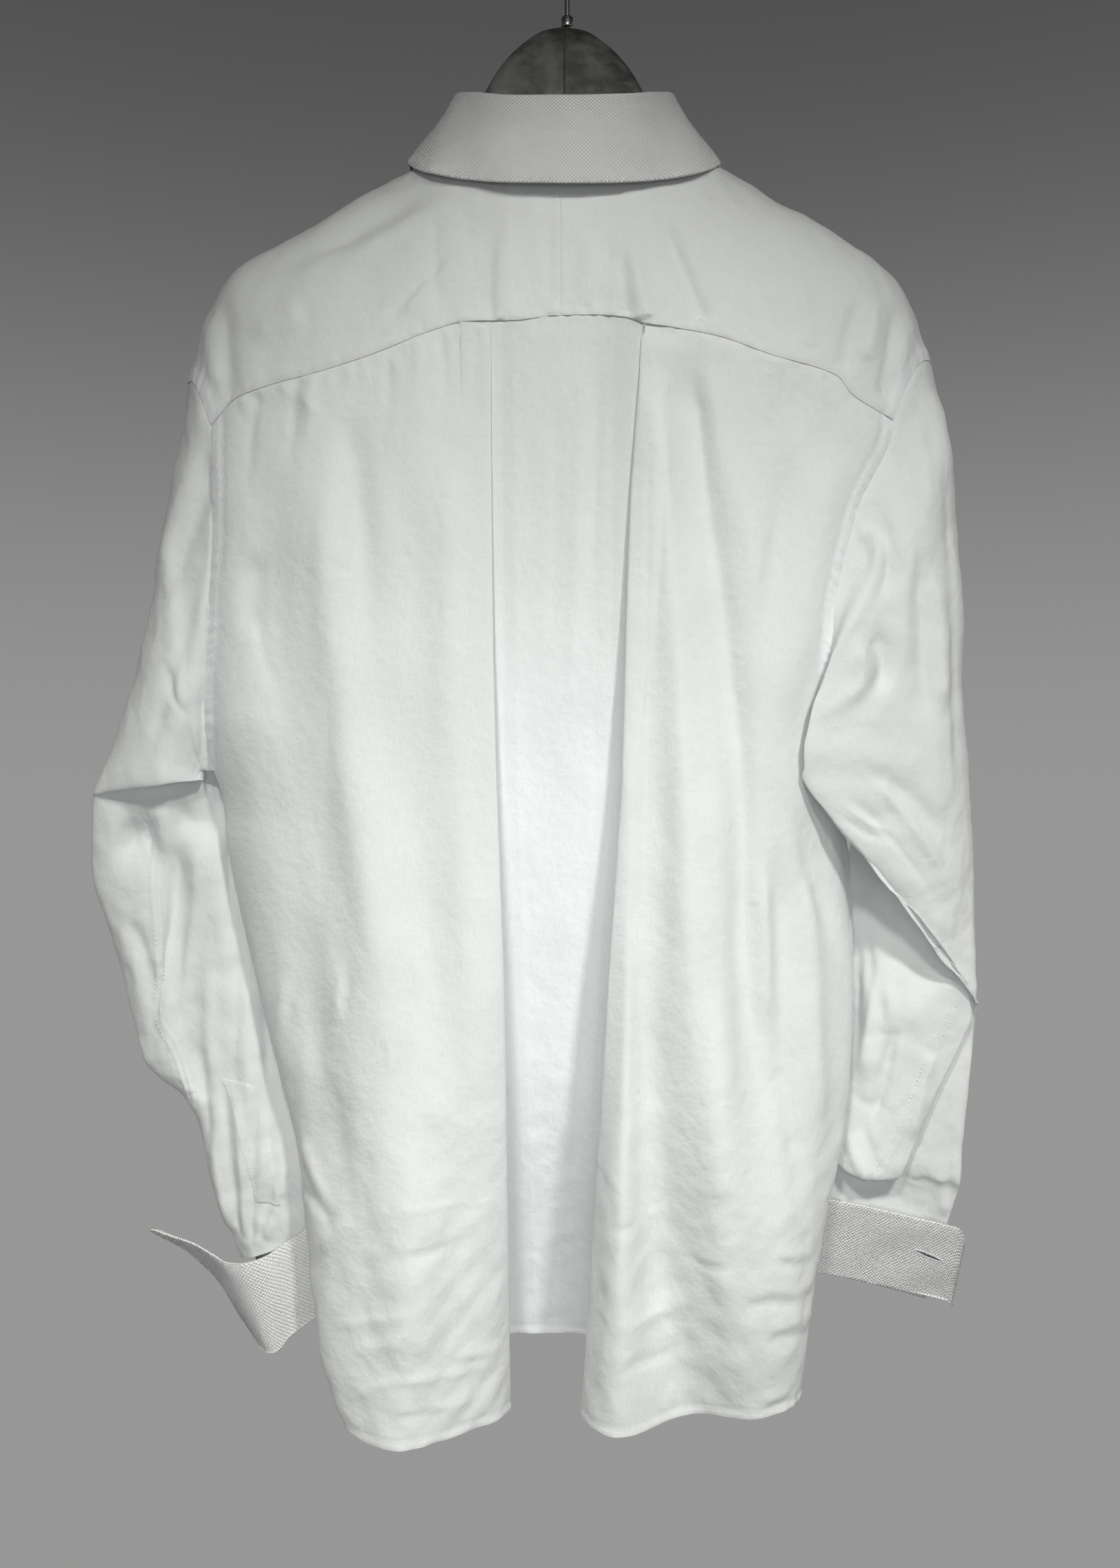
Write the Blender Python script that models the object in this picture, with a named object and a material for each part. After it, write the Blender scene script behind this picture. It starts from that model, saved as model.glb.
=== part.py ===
"""Long sleeve dress shirt hung on a broad hanger.

Millimetres inside the tables, metres in the meshes. +Z is up, +X is the
wearer's right, the shirt's back looks along -Y. The origin is the inside top
of the hanger's hook. Each piece of cloth is a grid of points on its outer
face, worked out from a few cross-sections, and given its wall inwards.
"""

import math

import bpy
import numpy as np

# ---------------------------------------------------------------- sizes (mm)
WALL = 1.2  # one ply of shirting as built
SEAM_GAP = 0.5  # between two pieces sewn edge to edge
FOLD = 4.0  # outer face to outer face round a pleat's front fold
TUCK = 0.6  # outer face to outer face round a pleat's back fold
STAND_WALL = 2.0
LEAF_WALL = 2.2
CUFF_WALL = 3.2
CUFF_DEEP = 64.0
PLACKET_WIDE = 34.0
LAID_ON = 0.4  # clearance under a strip laid on a panel
OVERLAP = 3.6  # how far the right front lies behind the left one
BUTTON_R = 5.6
BUTTON_THICK = 2.2
WIRE_R = 1.6
HOOK_R = 21.0  # centre line of the hook's arc
ARMPIT = -565.0  # level at which the armholes end
CENTRE_X = -3.0  # line of the yoke's centre seam

ARM_ROWS = 6  # grid rows from the shoulder seams to the armpit level
BODY_ROWS = 8  # grid rows from the armpit level to the hem


def columns(names, *rows):
    """A short table: one named column for each name, one row for each section."""
    data = np.array(rows, float)
    return {name: data[:, i] for i, name in enumerate(names.split())}


# Shoulders, from the centre out to the armhole. A section runs from the back
# yoke seam over the ridge to the front yoke seam.
SHOULDER_LEFT = columns(
    "station ridge_x ridge_y ridge_z back_x front_x front_y front_z",
    (0, -3, -4, -140, -3, -3, 30, -190),
    (50, -50, -3, -147, -48, -44, 38, -186),
    (75, -75, 0, -152, -72, -62, 43, -181),
    (105, -105, 0, -166, -100, -94, 43, -199),
    (150, -150, 0, -194, -141, -141, 40, -231),
    (190, -190, 0, -218, -176, -182, 37, -262),
    (219, -219, 0, -235, -200, -210, 34, -286),
    (237, -237, 2, -261, -216, -228, 31, -311),
    (253, -252, 4, -306, -229.5, -238, 27, -338),
)
SHOULDER_RIGHT = columns(
    "station ridge_x ridge_y ridge_z back_x front_x front_y front_z",
    (0, -3, -4, -140, -3, -3, 30, -190),
    (50, 50, -3, -147, 47, 44, 38, -186),
    (75, 75, 0, -152, 70, 62, 43, -181),
    (105, 105, 0, -164, 97, 94, 43, -199),
    (150, 150, 0, -193, 135, 141, 40, -231),
    (190, 190, 0, -216, 166, 180, 37, -262),
    (219, 219, 0, -237, 188, 204, 34, -288),
    (235, 235, 2, -262, 202, 220, 31, -310),
    (246, 246, 4, -292, 213, 231, 27, -334),
)

# Back yoke seam, left to right.
YOKE_SEAM = columns(
    "x y z",
    (-229.5, -24, -341),
    (-211, -34, -326),
    (-191, -41, -320.5),
    (-154, -49, -313),
    (-118, -54.5, -303),
    (-82, -58, -290),
    (-64, -59, -285.5),
    (-30, -60, -284.5),
    (-4, -60, -281.6),
    (18, -60, -281.2),
    (38, -60, -282.5),
    (50, -59.5, -286.5),
    (69, -59, -289),
    (94, -57.5, -293),
    (134, -53, -305),
    (160, -48, -310.5),
    (174, -44, -315),
    (183, -41, -325),
    (202, -33, -334),
    (213, -26, -338),
)

# Neck seam, from the centre back (0) to the centre front (180 degrees).
NECK = columns(
    "angle x y z",
    (0, 0, -45, -181),
    (25, 34, -41, -178),
    (50, 60, -26, -167),
    (75, 74, -4, -154),
    (90, 75, 10, -155),
    (120, 64, 43, -180),
    (150, 38, 66, -212),
    (170, 14, 74, -229),
    (180, 0, 75, -232),
)
FRONT_YOKE_AT = 120.0  # the yokes end here on the neck seam

COLLAR_FOLD = columns(
    "angle x y z",
    (0, 0, -51, -142),
    (25, 36, -43, -138),
    (50, 58, -26, -128),
    (75, 71, -4, -120),
    (90, 72, 10, -121),
    (120, 64, 42, -144),
    (150, 40, 67, -176),
    (170, 16, 77, -194),
    (178, 9, 79, -198),
)
COLLAR_EDGE = columns(
    "angle x y z",
    (0, 0, -64, -200),
    (25, 34, -60.5, -198),
    (50, 63, -50, -191.5),
    (68, 84, -42, -184.5),
    (82, 98, -25, -173.5),
    (96, 104.5, -5, -162.8),
    (120, 103, 27, -166),
    (150, 89, 58, -200),
    (170, 69, 77, -246),
    (178, 61, 82, -264),
)

# Back, left panel by level: side seam, turn of the side, crest, run to the pleat.
BACK_LEFT = columns(
    "level side_x side_y turn_x turn_y crest_x crest_y near_x near_y",
    (-282, -229, -22, -215, -32, -150, -49, -62, -59),
    (-341, -229.5, -24, -213, -34, -150, -50, -62, -58.5),
    (-400, -228, -25, -212, -36, -150, -50.5, -62, -57.5),
    (-475, -232, -23, -214, -36, -148, -50.5, -60, -56),
    (-530, -235, -17, -219, -33, -146, -50.5, -59, -54.5),
    (-565, -232, -4, -226, -18, -144, -51, -58, -53),
    (-600, -218, 10, -225, -6, -140, -51, -56, -52),
    (-660, -205, 10, -214.6, -6, -134, -52, -55, -50),
    (-708, -193, 8, -202.7, -7, -128, -52.5, -54, -47.5),
    (-752, -183, 6, -192.7, -8, -122, -53, -53, -44),
    (-804, -170, 4, -178.5, -9, -116, -53, -52, -39),
    (-849, -164, 2, -173.4, -11, -112, -53, -52, -34),
    (-884, -158, 0, -168, -13, -108, -53, -52, -29),
    (-924, -152, -2, -163, -17, -106, -52, -52, -24),
    (-957, -144, -4, -155, -21, -105, -51.5, -52, -19),
    (-995, -128, -6, -138, -28, -104, -51, -52, -13),
)
# The two pleats and the recessed centre.
BACK_PLEATS = columns(
    "level fold_left_x fold_left_y lap_left centre_y fold_right_x fold_right_y lap_right",
    (-282, -46, -60, 19, -55.0, 49.5, -59.6, 19),
    (-341, -46, -58.5, 19, -53, 45.5, -58.5, 19),
    (-400, -45.6, -57, 19, -50, 41.5, -57, 19),
    (-475, -45, -55.5, 20, -44, 39, -55.5, 20),
    (-550, -43.5, -53.5, 21, -34, 37, -53, 21),
    (-625, -41, -50, 22, -22, 33, -49.5, 22),
    (-700, -38.7, -44, 23, -6, 28, -44, 23),
    (-780, -37.5, -33, 24, 14, 24, -34, 24),
    (-850, -37, -21, 25, 35, 20, -23, 25),
    (-920, -36.5, -7, 25, 56, 16, -12.5, 26),
    (-995, -36.3, 9, 25, 76, 11, -4, 26),
)
# Back, right panel by level.
BACK_RIGHT = columns(
    "level crest_x crest_y trough_x trough_y bulge_x bulge_y hollow_x hollow_y turn_x turn_y side_x side_y",
    (-282, 60, -59.5, 70, -59, 96, -57, 140, -51.5, 200, -33, 213, -26),
    (-341, 58, -58, 68, -57, 92, -57.5, 122, -51, 196, -38, 212, -28),
    (-400, 55, -57.5, 64, -55.5, 90, -57, 120, -50.5, 176, -41, 187, -34),
    (-475, 52, -56.5, 58, -54.5, 88, -56.5, 124, -51, 160, -42, 172, -35),
    (-530, 47, -55, 53, -52.5, 88, -56, 126, -51, 158, -37, 171, -26),
    (-565, 44, -54, 52, -51, 89, -56, 127, -51, 168, -26, 178, -8),
    (-600, 42, -53, 51.5, -49, 89, -56, 126, -50, 176, -16, 186, 2),
    (-630, 41, -52.2, 51.2, -47.5, 89.5, -56, 124, -49, 180, -12, 191, 8),
    (-660, 40, -51.5, 51, -46, 90, -56, 122, -48, 184, -9, 194, 12),
    (-722, 39, -50, 51, -43, 92, -55, 121, -46, 188, -7, 196, 14),
    (-760, 38, -49, 51.5, -40.5, 94, -54, 122, -44, 188, -7, 190, 12),
    (-804, 37, -47.5, 52, -37, 97, -52, 127, -42, 184, -8, 184, 10),
    (-850, 36, -45.5, 56, -32, 101, -48, 136, -40, 175, -9, 174, 8),
    (-920, 36, -41, 66, -21, 108, -39, 146, -30, 164, -8, 163, 8),
    (-992, 33, -33.5, 84, -8, 124, -23, 142, -18, 155, -5, 156, 8),
)
HEM_BACK = columns(
    "key level",
    (0, -986),
    (1, -992),
    (2, -995),
    (3, -995),
    (4, -995),
    (5, -994),
    (6, -985),
    (7, -976),
    (8, -967),
    (9, -967.5),
    (10, -976),
    (11, -985),
    (12, -993),
    (13, -993.5),
    (14, -994),
    (15, -990),
    (16, -986),
    (17, -983),
    (18, -980),
    (19, -978),
)
TUCKED_UP = 3.0  # how far the pleats' under layers run up behind the yoke

# Fronts by level, from the side seam to the centre front.
FRONT_LEFT = columns(
    "level side_x side_y flank_x flank_y chest_x chest_y centre_y",
    (-180, -150, 36, -120, 44, -90, 45, 60),
    (-260, -200, 34, -160, 46, -100, 52, 68),
    (-341, -238, 27, -200, 44, -120, 58, 70),
    (-400, -238, 26, -206, 45, -125, 61, 71),
    (-475, -238, 24, -208, 45, -125, 64, 72),
    (-530, -237, 18, -206, 42, -124, 66, 74),
    (-565, -232, -4, -203, 34, -122, 67, 75),
    (-600, -218, 10, -196, 20, -120, 68, 76),
    (-660, -205, 10, -184, 14, -112, 69, 78),
    (-708, -193, 8, -172, 12, -104, 70, 79),
    (-752, -183, 6, -162, 11, -98, 72, 80),
    (-804, -170, 4, -150, 9, -92, 74, 82),
    (-849, -164, 2, -143, 8, -88, 76, 84),
    (-884, -158, 0, -138, 6, -86, 77, 85),
    (-924, -152, -2, -133, 6, -84, 78, 86),
    (-957, -144, -4, -128, 8, -82, 79, 87),
    (-995, -128, -6, -118, 14, -80, 80, 87),
)
FRONT_RIGHT = columns(
    "level side_x side_y flank_x flank_y chest_x chest_y centre_y",
    (-180, 150, 36, 120, 44, 90, 45, 57),
    (-260, 196, 34, 156, 46, 100, 52, 65),
    (-341, 231, 27, 194, 44, 118, 58, 67),
    (-400, 222, 24, 192, 44, 120, 61, 68),
    (-475, 210, 18, 186, 42, 120, 64, 69),
    (-530, 196, 8, 178, 36, 118, 66, 71),
    (-565, 178, -8, 172, 26, 117, 67, 72),
    (-600, 186, 2, 186, 14, 116, 68, 73),
    (-630, 191, 8, 193, 16, 115, 68, 74),
    (-660, 194, 12, 191, 18, 112, 68, 75),
    (-722, 196, 14, 180, 20, 108, 70, 77),
    (-760, 190, 12, 170, 16, 104, 72, 78),
    (-804, 184, 10, 162, 13, 100, 73, 79),
    (-850, 174, 8, 152, 10, 96, 75, 81),
    (-920, 163, 8, 142, 10, 90, 77, 83),
    (-992, 156, 8, 136, 14, 86, 79, 84),
)

# Sleeves: one ring of cloth for each row, from the head to the cuff. A ring
# runs from its outer edge over the face seen from the back (a, b, cam) to its
# inner edge and home along the side against the wall.
SLEEVE_LEFT = columns(
    "outer_x outer_y outer_z a_x a_y b_x b_y cam_y lap lap_y lap_z inner_x inner_y inner_z wall_y wall_z sag",
    (-255.5, 5, -345, -252, -14, -247, -21, -26, 0, -20, -566, -239.5, -7, -565.3, 30, -567, 0),
    (-267, 5, -400, -262, -15, -255, -24, -28, 0, -18, -567, -240, -8, -565.6, 33, -569, 0),
    (-280.5, 5, -470, -273, -14, -263, -24, -27, 0, -18, -568, -240, -8.5, -566, 35, -571, 0),
    (-298, 4, -533, -289, -12, -276, -20, -26, 0, -19, -568, -240, -9, -567, 36, -573, 0),
    (-313, 1, -580, -300, -9, -284, -17, -24, 0, -19, -568, -239, -10, -572, 36, -576, 0),
    (-314.5, 3, -584, -300, -3, -284, -8, -10, 0, -4, -552, -243, 4, -556, 38, -582, 0),
    (-317, 8, -602, -292, -3, -270, -3, -2, 0, 8, -592, -221, 23, -597, 42, -604, 0),
    (-318.5, 12, -635, -278, 1, -262, 6, 2, 0, 14, -630, -209, 28, -632, 45, -634, 0),
    (-306, 15, -681, -272, 1, -257, 9, 2, 0, 14, -682, -197, 26, -682, 48, -684, 0),
    (-291.5, 16, -735, -268, 3, -254, 8, 2, 0, 13, -740, -181, 26, -740, 50, -741, 0),
    (-283, 17, -764, -262, 6, -250, 8, 3, 0, 13, -778, -171, 26, -778, 50, -778, 0),
    (-254, 21, -792, -248, 11, -238, 6, 4, 0, 13, -806, -164, 26, -806, 50, -806, 0),
    (-244, 22, -825, -239, 12, -230, 8, 5, 0, 14, -842, -158, 26, -842, 50, -842, 0),
    (-238, 24, -858, -233, 14, -224, 11, 10, 0, 17, -862, -156, 28, -862, 48, -862, 0),
    (-222, 28, -899, -216, 19, -209, 14.5, 14, 0, 21, -874, -160, 33, -876, 45, -876, 0),
)
SLEEVE_RIGHT = columns(
    "outer_x outer_y outer_z a_x a_y b_x b_y cam_y lap lap_y lap_z inner_x inner_y inner_z wall_y wall_z sag",
    (253.5, 5, -330, 250, -14, 238, -27, -41, 16, -48, -498, 184, -4, -567, 30, -567, 0),
    (262, 5, -400, 256, -15, 240, -30, -44, 30, -50, -526, 187, -2, -570, 33, -570, 0),
    (267.5, 5, -500, 260, -14, 242, -29, -42, 38, -50, -549, 190, -1, -573, 35, -573, 0),
    (272, 4, -610, 262, -12, 244, -25, -37, 42, -48, -564, 193, 0, -576, 36, -578, 0),
    (276, 1, -720, 262, -8, 240, -18, -32, 46, -44, -569, 197, 2, -580, 36, -590, 0),
    (276.5, 4, -724, 272, 2, 266, -1, -8, 0, -1, -585, 200, 13, -590, 38, -606, 0),
    (276.8, 8, -732, 273, 6.5, 273.5, 3, 1, 0, 12, -636, 192, 27, -636, 42, -642, 0),
    (276.5, 12, -752, 260, 12.5, 267, 4, 3, 0, 16, -700, 191, 29, -700, 45, -700, 0),
    (272.5, 14, -792, 229, 17, 250, 5, 4, 0, 17, -752, 186, 29, -752, 46, -752, 0),
    (270, 15, -822, 218, 18, 237, 6, 4, 0, 18, -796, 179, 29, -796, 47, -796, 0),
    (269, 16, -845, 212, 19, 225, 8, 5, 0, 19, -822, 170, 29, -822, 47, -822, 1),
    (268.5, 20, -852, 214, 22, 222, 19.5, 18.5, 0, 22.5, -826, 166, 30, -826, 44, -830, 0),
    (263, 26, -876, 240, 23.5, 215, 22.5, 22.5, 0, 25, -860, 161, 31, -860, 39, -860, 0),
)
SAG_DEEP = 9.0  # how far the right sleeve's fold hangs over its own cloth

# Cuffs: top rim from the free end, round the front, to the other end, with
# the direction in which the cuff's depth runs.
CUFF_LEFT = columns(
    "x y z lean_x lean_y lean_z",
    (-294, 47, -885, 0.13, 0.87, -0.475),
    (-276, 38, -888, 0.18, 0.80, -0.57),
    (-256, 29, -891, 0.24, 0.60, -0.76),
    (-241, 20, -895, 0.30, 0.34, -0.89),
    (-230, 13, -898, 0.34, 0.12, -0.93),
    (-218, 8, -897, 0.28, 0.02, -0.96),
    (-202, 6, -892, 0.16, 0.0, -0.985),
    (-186, 8, -882, 0.04, 0.02, -0.998),
    (-168, 13, -872, 0.04, 0.08, -0.995),
    (-154, 22, -866, 0.10, 0.12, -0.985),
    (-147, 35, -865, 0.12, 0.06, -0.99),
    (-154, 48, -870, 0.12, 0.0, -0.99),
    (-172, 55, -880, 0.14, -0.03, -0.99),
    (-196, 57, -890, 0.17, -0.05, -0.985),
    (-220, 56, -898, 0.20, -0.06, -0.978),
)
CUFF_RIGHT = columns(
    "x y z lean_x lean_y lean_z",
    (274, 18, -882, -0.05, 0.40, -0.91),
    (271, 17, -878, -0.04, 0.40, -0.91),
    (256, 15, -873, -0.03, 0.40, -0.91),
    (238, 14, -869, -0.03, 0.40, -0.91),
    (218, 14, -864, -0.04, 0.40, -0.91),
    (199, 14, -860, -0.04, 0.40, -0.91),
    (182, 15, -857, -0.04, 0.40, -0.91),
    (164, 18, -854, -0.04, 0.40, -0.91),
    (150, 26, -851, -0.04, 0.34, -0.93),
    (147, 36, -850, -0.04, 0.26, -0.96),
    (154, 45, -852, -0.04, 0.20, -0.98),
    (180, 47, -857, -0.04, 0.20, -0.98),
    (220, 46, -865, -0.04, 0.20, -0.98),
    (258, 44, -875, -0.03, 0.20, -0.98),
)

HANGER = columns(
    "x top bottom half_deep",
    (0, -70, -160, 13),
    (13, -72.5, -161, 13),
    (27, -81, -163, 13),
    (42, -96.5, -166, 13),
    (53, -115, -170, 12.5),
    (62, -137, -176, 12),
    (70, -157, -184, 12),
    (84, -166, -194, 15),
    (105, -172, -205, 19),
    (150, -200, -229, 22),
    (190, -225, -251, 20),
    (206, -237, -258, 16),
    (212, -243, -253, 9),
)


# ---------------------------------------------------------------- geometry
def smooth(xs, ys, at):
    """Shape-keeping cubic through (xs, ys), held at its ends."""
    xs, ys, at = np.asarray(xs, float), np.asarray(ys, float), np.asarray(at, float)
    if xs[0] > xs[-1]:
        xs, ys = xs[::-1], ys[::-1]
    step = np.diff(xs)
    slope = np.diff(ys) / step
    tangent = np.zeros_like(ys)
    tangent[0], tangent[-1] = slope[0], slope[-1]
    for k in range(1, len(xs) - 1):
        if slope[k - 1] * slope[k] > 0:
            w1, w2 = 2 * step[k] + step[k - 1], step[k] + 2 * step[k - 1]
            tangent[k] = (w1 + w2) / (w1 / slope[k - 1] + w2 / slope[k])
    at = np.clip(at, xs[0], xs[-1])
    k = np.clip(np.searchsorted(xs, at, side="right") - 1, 0, len(step) - 1)
    t = (at - xs[k]) / step[k]
    return (
        (2 * t**3 - 3 * t**2 + 1) * ys[k]
        + (t**3 - 2 * t**2 + t) * step[k] * tangent[k]
        + (-2 * t**3 + 3 * t**2) * ys[k + 1]
        + (t**3 - t**2) * step[k] * tangent[k + 1]
    )


def between(p0, p1, p2, p3, f):
    """Centripetal Catmull-Rom point a fraction f of the way from p1 to p2."""

    def knot(a, b):
        return np.maximum(np.linalg.norm(b - a, axis=-1, keepdims=True), 1e-6) ** 0.5

    t1 = knot(p0, p1)
    t2 = t1 + knot(p1, p2)
    t3 = t2 + knot(p2, p3)
    t = t1 + f * (t2 - t1)
    a1 = (t1 - t) / t1 * p0 + t / t1 * p1
    a2 = (t2 - t) / (t2 - t1) * p1 + (t - t1) / (t2 - t1) * p2
    a3 = (t3 - t) / (t3 - t2) * p2 + (t - t2) / (t3 - t2) * p3
    b1 = (t2 - t) / t2 * a1 + t / t2 * a2
    b2 = (t3 - t) / (t3 - t1) * a2 + (t - t1) / (t3 - t1) * a3
    return (t2 - t) / (t2 - t1) * b1 + (t - t1) / (t2 - t1) * b2


def thread(keys, counts, closed=False):
    """Points along a curve through keys (first axis), counts[k] steps after key k."""
    keys = [np.asarray(k, float) for k in keys]
    n = len(keys)
    if closed:
        ring = [keys[-1], *keys, keys[0], keys[1]]
    else:
        ring = [2 * keys[0] - keys[1], *keys, 2 * keys[-1] - keys[-2]]
    out = []
    for k in range(n if closed else n - 1):
        for i in range(counts[k]):
            out.append(between(ring[k], ring[k + 1], ring[k + 2], ring[k + 3], i / counts[k]))
    if not closed:
        out.append(keys[-1])
    return np.array(out)


def mix(a, b, t):
    return a + (b - a) * t


def unit(v):
    return v / np.maximum(np.linalg.norm(v, axis=-1, keepdims=True), 1e-9)


def normals(grid, round_columns=False):
    """Unit normals of a grid[rows, columns, 3]: across columns x down rows."""
    if round_columns:
        across = np.roll(grid, -1, 1) - np.roll(grid, 1, 1)
    else:
        across = np.gradient(grid, axis=1)
    down = unit(np.diff(grid, axis=0))
    down = np.concatenate([down[:1], down[:-1] + down[1:], down[-1:]])
    return unit(np.cross(across, down))


def mesh_object(name, points, faces, material):
    mesh = bpy.data.meshes.new(name)
    mesh.from_pydata([tuple(p * 0.001) for p in points], [], faces)
    mesh.validate()
    mesh.update()
    volume = 0.0
    for poly in mesh.polygons:
        ring = [mesh.vertices[i].co for i in poly.vertices]
        for i in range(1, len(ring) - 1):
            volume += ring[0].dot(ring[i].cross(ring[i + 1]))
    if volume < 0:
        mesh.flip_normals()
    mesh.shade_smooth()
    mesh.set_sharp_from_angle(angle=math.radians(50))
    obj = bpy.data.objects.new(name, mesh)
    obj.data.materials.append(material)
    bpy.context.scene.collection.objects.link(obj)
    return obj


def shell_faces(rows, cols, wrap):
    """Outer face, inner face and rims of a grid with a wall."""
    inner = rows * cols
    faces = []
    last = cols if wrap else cols - 1
    for r in range(rows - 1):
        for c in range(last):
            d = (c + 1) % cols
            a, b = r * cols + c, r * cols + d
            faces.append((a, b, b + cols, a + cols))
            faces.append((inner + a, inner + a + cols, inner + b + cols, inner + b))
    for c in range(last):
        d = (c + 1) % cols
        faces.append((c, inner + c, inner + d, d))
        a, b = (rows - 1) * cols + c, (rows - 1) * cols + d
        faces.append((a, b, inner + b, inner + a))
    if not wrap:
        for r in range(rows - 1):
            a, b = r * cols, (r + 1) * cols
            faces.append((a, b, inner + b, inner + a))
            a, b = a + cols - 1, b + cols - 1
            faces.append((a, inner + a, inner + b, b))
    return faces


def pull_edges(grid, top=0.0, bottom=0.0, first=0.0, last=0.0):
    """Draws a grid's edges back into its own surface by these lengths."""
    grid = grid.copy()
    grid[0] += unit(grid[1] - grid[0]) * top
    grid[-1] += unit(grid[-2] - grid[-1]) * bottom
    grid[:, 0] += unit(grid[:, 1] - grid[:, 0]) * first
    grid[:, -1] += unit(grid[:, -2] - grid[:, -1]) * last
    return grid


# ---------------------------------------------------------------- yokes
def yoke_seam(x):
    """Back yoke seam at these x, as points."""
    return np.stack([x, smooth(YOKE_SEAM["x"], YOKE_SEAM["y"], x), smooth(YOKE_SEAM["x"], YOKE_SEAM["z"], x)], -1)


def ride_over(shoulder, station, turn):
    """Point of the shoulder at a station, turn -90 (back seam) over 0 (ridge) to 90."""
    station, turn = np.broadcast_arrays(np.asarray(station, float), np.asarray(turn, float))

    def read(name):
        return smooth(shoulder["station"], shoulder[name], station)

    ridge = np.stack([read("ridge_x"), read("ridge_y"), read("ridge_z")], -1)
    back = yoke_seam(read("back_x"))
    front = np.stack([read("front_x"), read("front_y"), read("front_z")], -1)
    far = np.where((turn < 0)[..., None], back, front)
    angle = np.radians(np.minimum(np.abs(turn), 90.0))
    power = 2 / smooth([0, 60, 110, 160, 260], [2.0, 1.95, 1.9, 2.5, 2.6], station)
    out = (np.sin(angle) ** power)[..., None]
    down = (1 - np.maximum(np.cos(angle), 0) ** power)[..., None]
    lean = (0.5 * (out + down)) * np.array([1.0, 0, 0])
    weight = lean + out * np.array([0, 1.0, 0]) + down * np.array([0, 0, 1.0])
    return ridge + (far - ridge) * weight


def neck_point(angle, side, table=NECK):
    """Point of a collar curve; side is -1 left, +1 right."""
    angle = np.asarray(angle, float)
    x = smooth(table["angle"], table["x"], angle) * side
    x = x + CENTRE_X * np.exp(-((angle / 40.0) ** 2)) * (1 if table is NECK else 0.4)
    return np.stack([x, smooth(table["angle"], table["y"], angle), smooth(table["angle"], table["z"], angle)], -1)


def yoke_grid(shoulder, side, seam_x, arm_steps, rows):
    """Rows from the neck to the outer edge, columns from the centre back round to
    the front yoke seam. seam_x are the columns along the back seam."""
    end = shoulder["station"][-1]
    at_x = np.abs(shoulder["back_x"])
    seam_station = np.interp(np.abs(seam_x), at_x, shoulder["station"])
    turns = np.linspace(-90, 90, 2 * arm_steps + 1)[1:]
    station = np.concatenate([seam_station, np.full(len(turns), end)])
    turn = np.concatenate([np.full(len(seam_x), -90.0), turns])
    outer = np.concatenate([yoke_seam(np.asarray(seam_x, float)), ride_over(shoulder, end, turns)])
    share = np.linspace(0, 1, len(station)) ** 0.9
    angle = share * FRONT_YOKE_AT
    inner = neck_point(angle, side)
    in_station = smooth([0, 50, 75, 90, 120], [8, 62, 75, 76, 75], angle)
    in_turn = smooth([0, 25, 50, 75, 90, 120], [-42, -38, -24, -5, 12, 88], angle)
    grid = []
    for k in range(rows + 1):
        r = k / rows
        p = ride_over(shoulder, mix(in_station, station, r), mix(in_turn, turn, r))
        p = p + (inner - ride_over(shoulder, in_station, in_turn)) * (1 - r) ** 2
        p = p + (outer - ride_over(shoulder, station, turn)) * r**2
        if k == 0:
            p = inner
        if k == rows:
            p = outer
        grid.append(p)
    return np.array(grid)


def meet_at_centre(left, right):
    """Brings the yokes' first columns onto one seam line down the centre back."""
    seam = (left[:, 0] + right[:, 0]) / 2
    seam[:, 0] = CENTRE_X
    for grid in (left, right):
        shift = seam - grid[:, 0]
        for c in range(grid.shape[1]):
            grid[:, c] += shift * math.exp(-c / 1.5)


# ---------------------------------------------------------------- back
BACK_KEYS = 20


def back_keys(level):
    """Key points (x, y) across the back at these levels, left side to right side."""
    level = np.asarray(level, float)

    def read(table, name):
        return smooth(table["level"], table[name], level)

    def at(table, name):
        return np.stack([read(table, name + "_x"), read(table, name + "_y")], -1)

    centre = read(BACK_PLEATS, "centre_y")
    keys = [at(BACK_LEFT, name) for name in ("side", "turn", "crest", "near")]
    for side, sign in (("left", 1.0), ("right", -1.0)):
        fx, fy = read(BACK_PLEATS, f"fold_{side}_x"), read(BACK_PLEATS, f"fold_{side}_y")
        lap = read(BACK_PLEATS, f"lap_{side}") * sign
        room = np.maximum(centre - fy - FOLD - TUCK, 0.0)
        pleat = [
            np.stack([fx, fy], -1),
            np.stack([fx, fy + FOLD], -1),
            np.stack([fx - lap, fy + FOLD + 0.55 * room], -1),
            np.stack([fx - lap, fy + FOLD + TUCK + 0.85 * room], -1),
            np.stack([fx + sign * 4.0, np.maximum(centre, fy + FOLD + TUCK)], -1),
        ]
        keys += pleat if side == "left" else pleat[::-1]
    keys += [at(BACK_RIGHT, name) for name in ("crest", "trough", "bulge", "hollow", "turn", "side")]
    return keys


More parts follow.
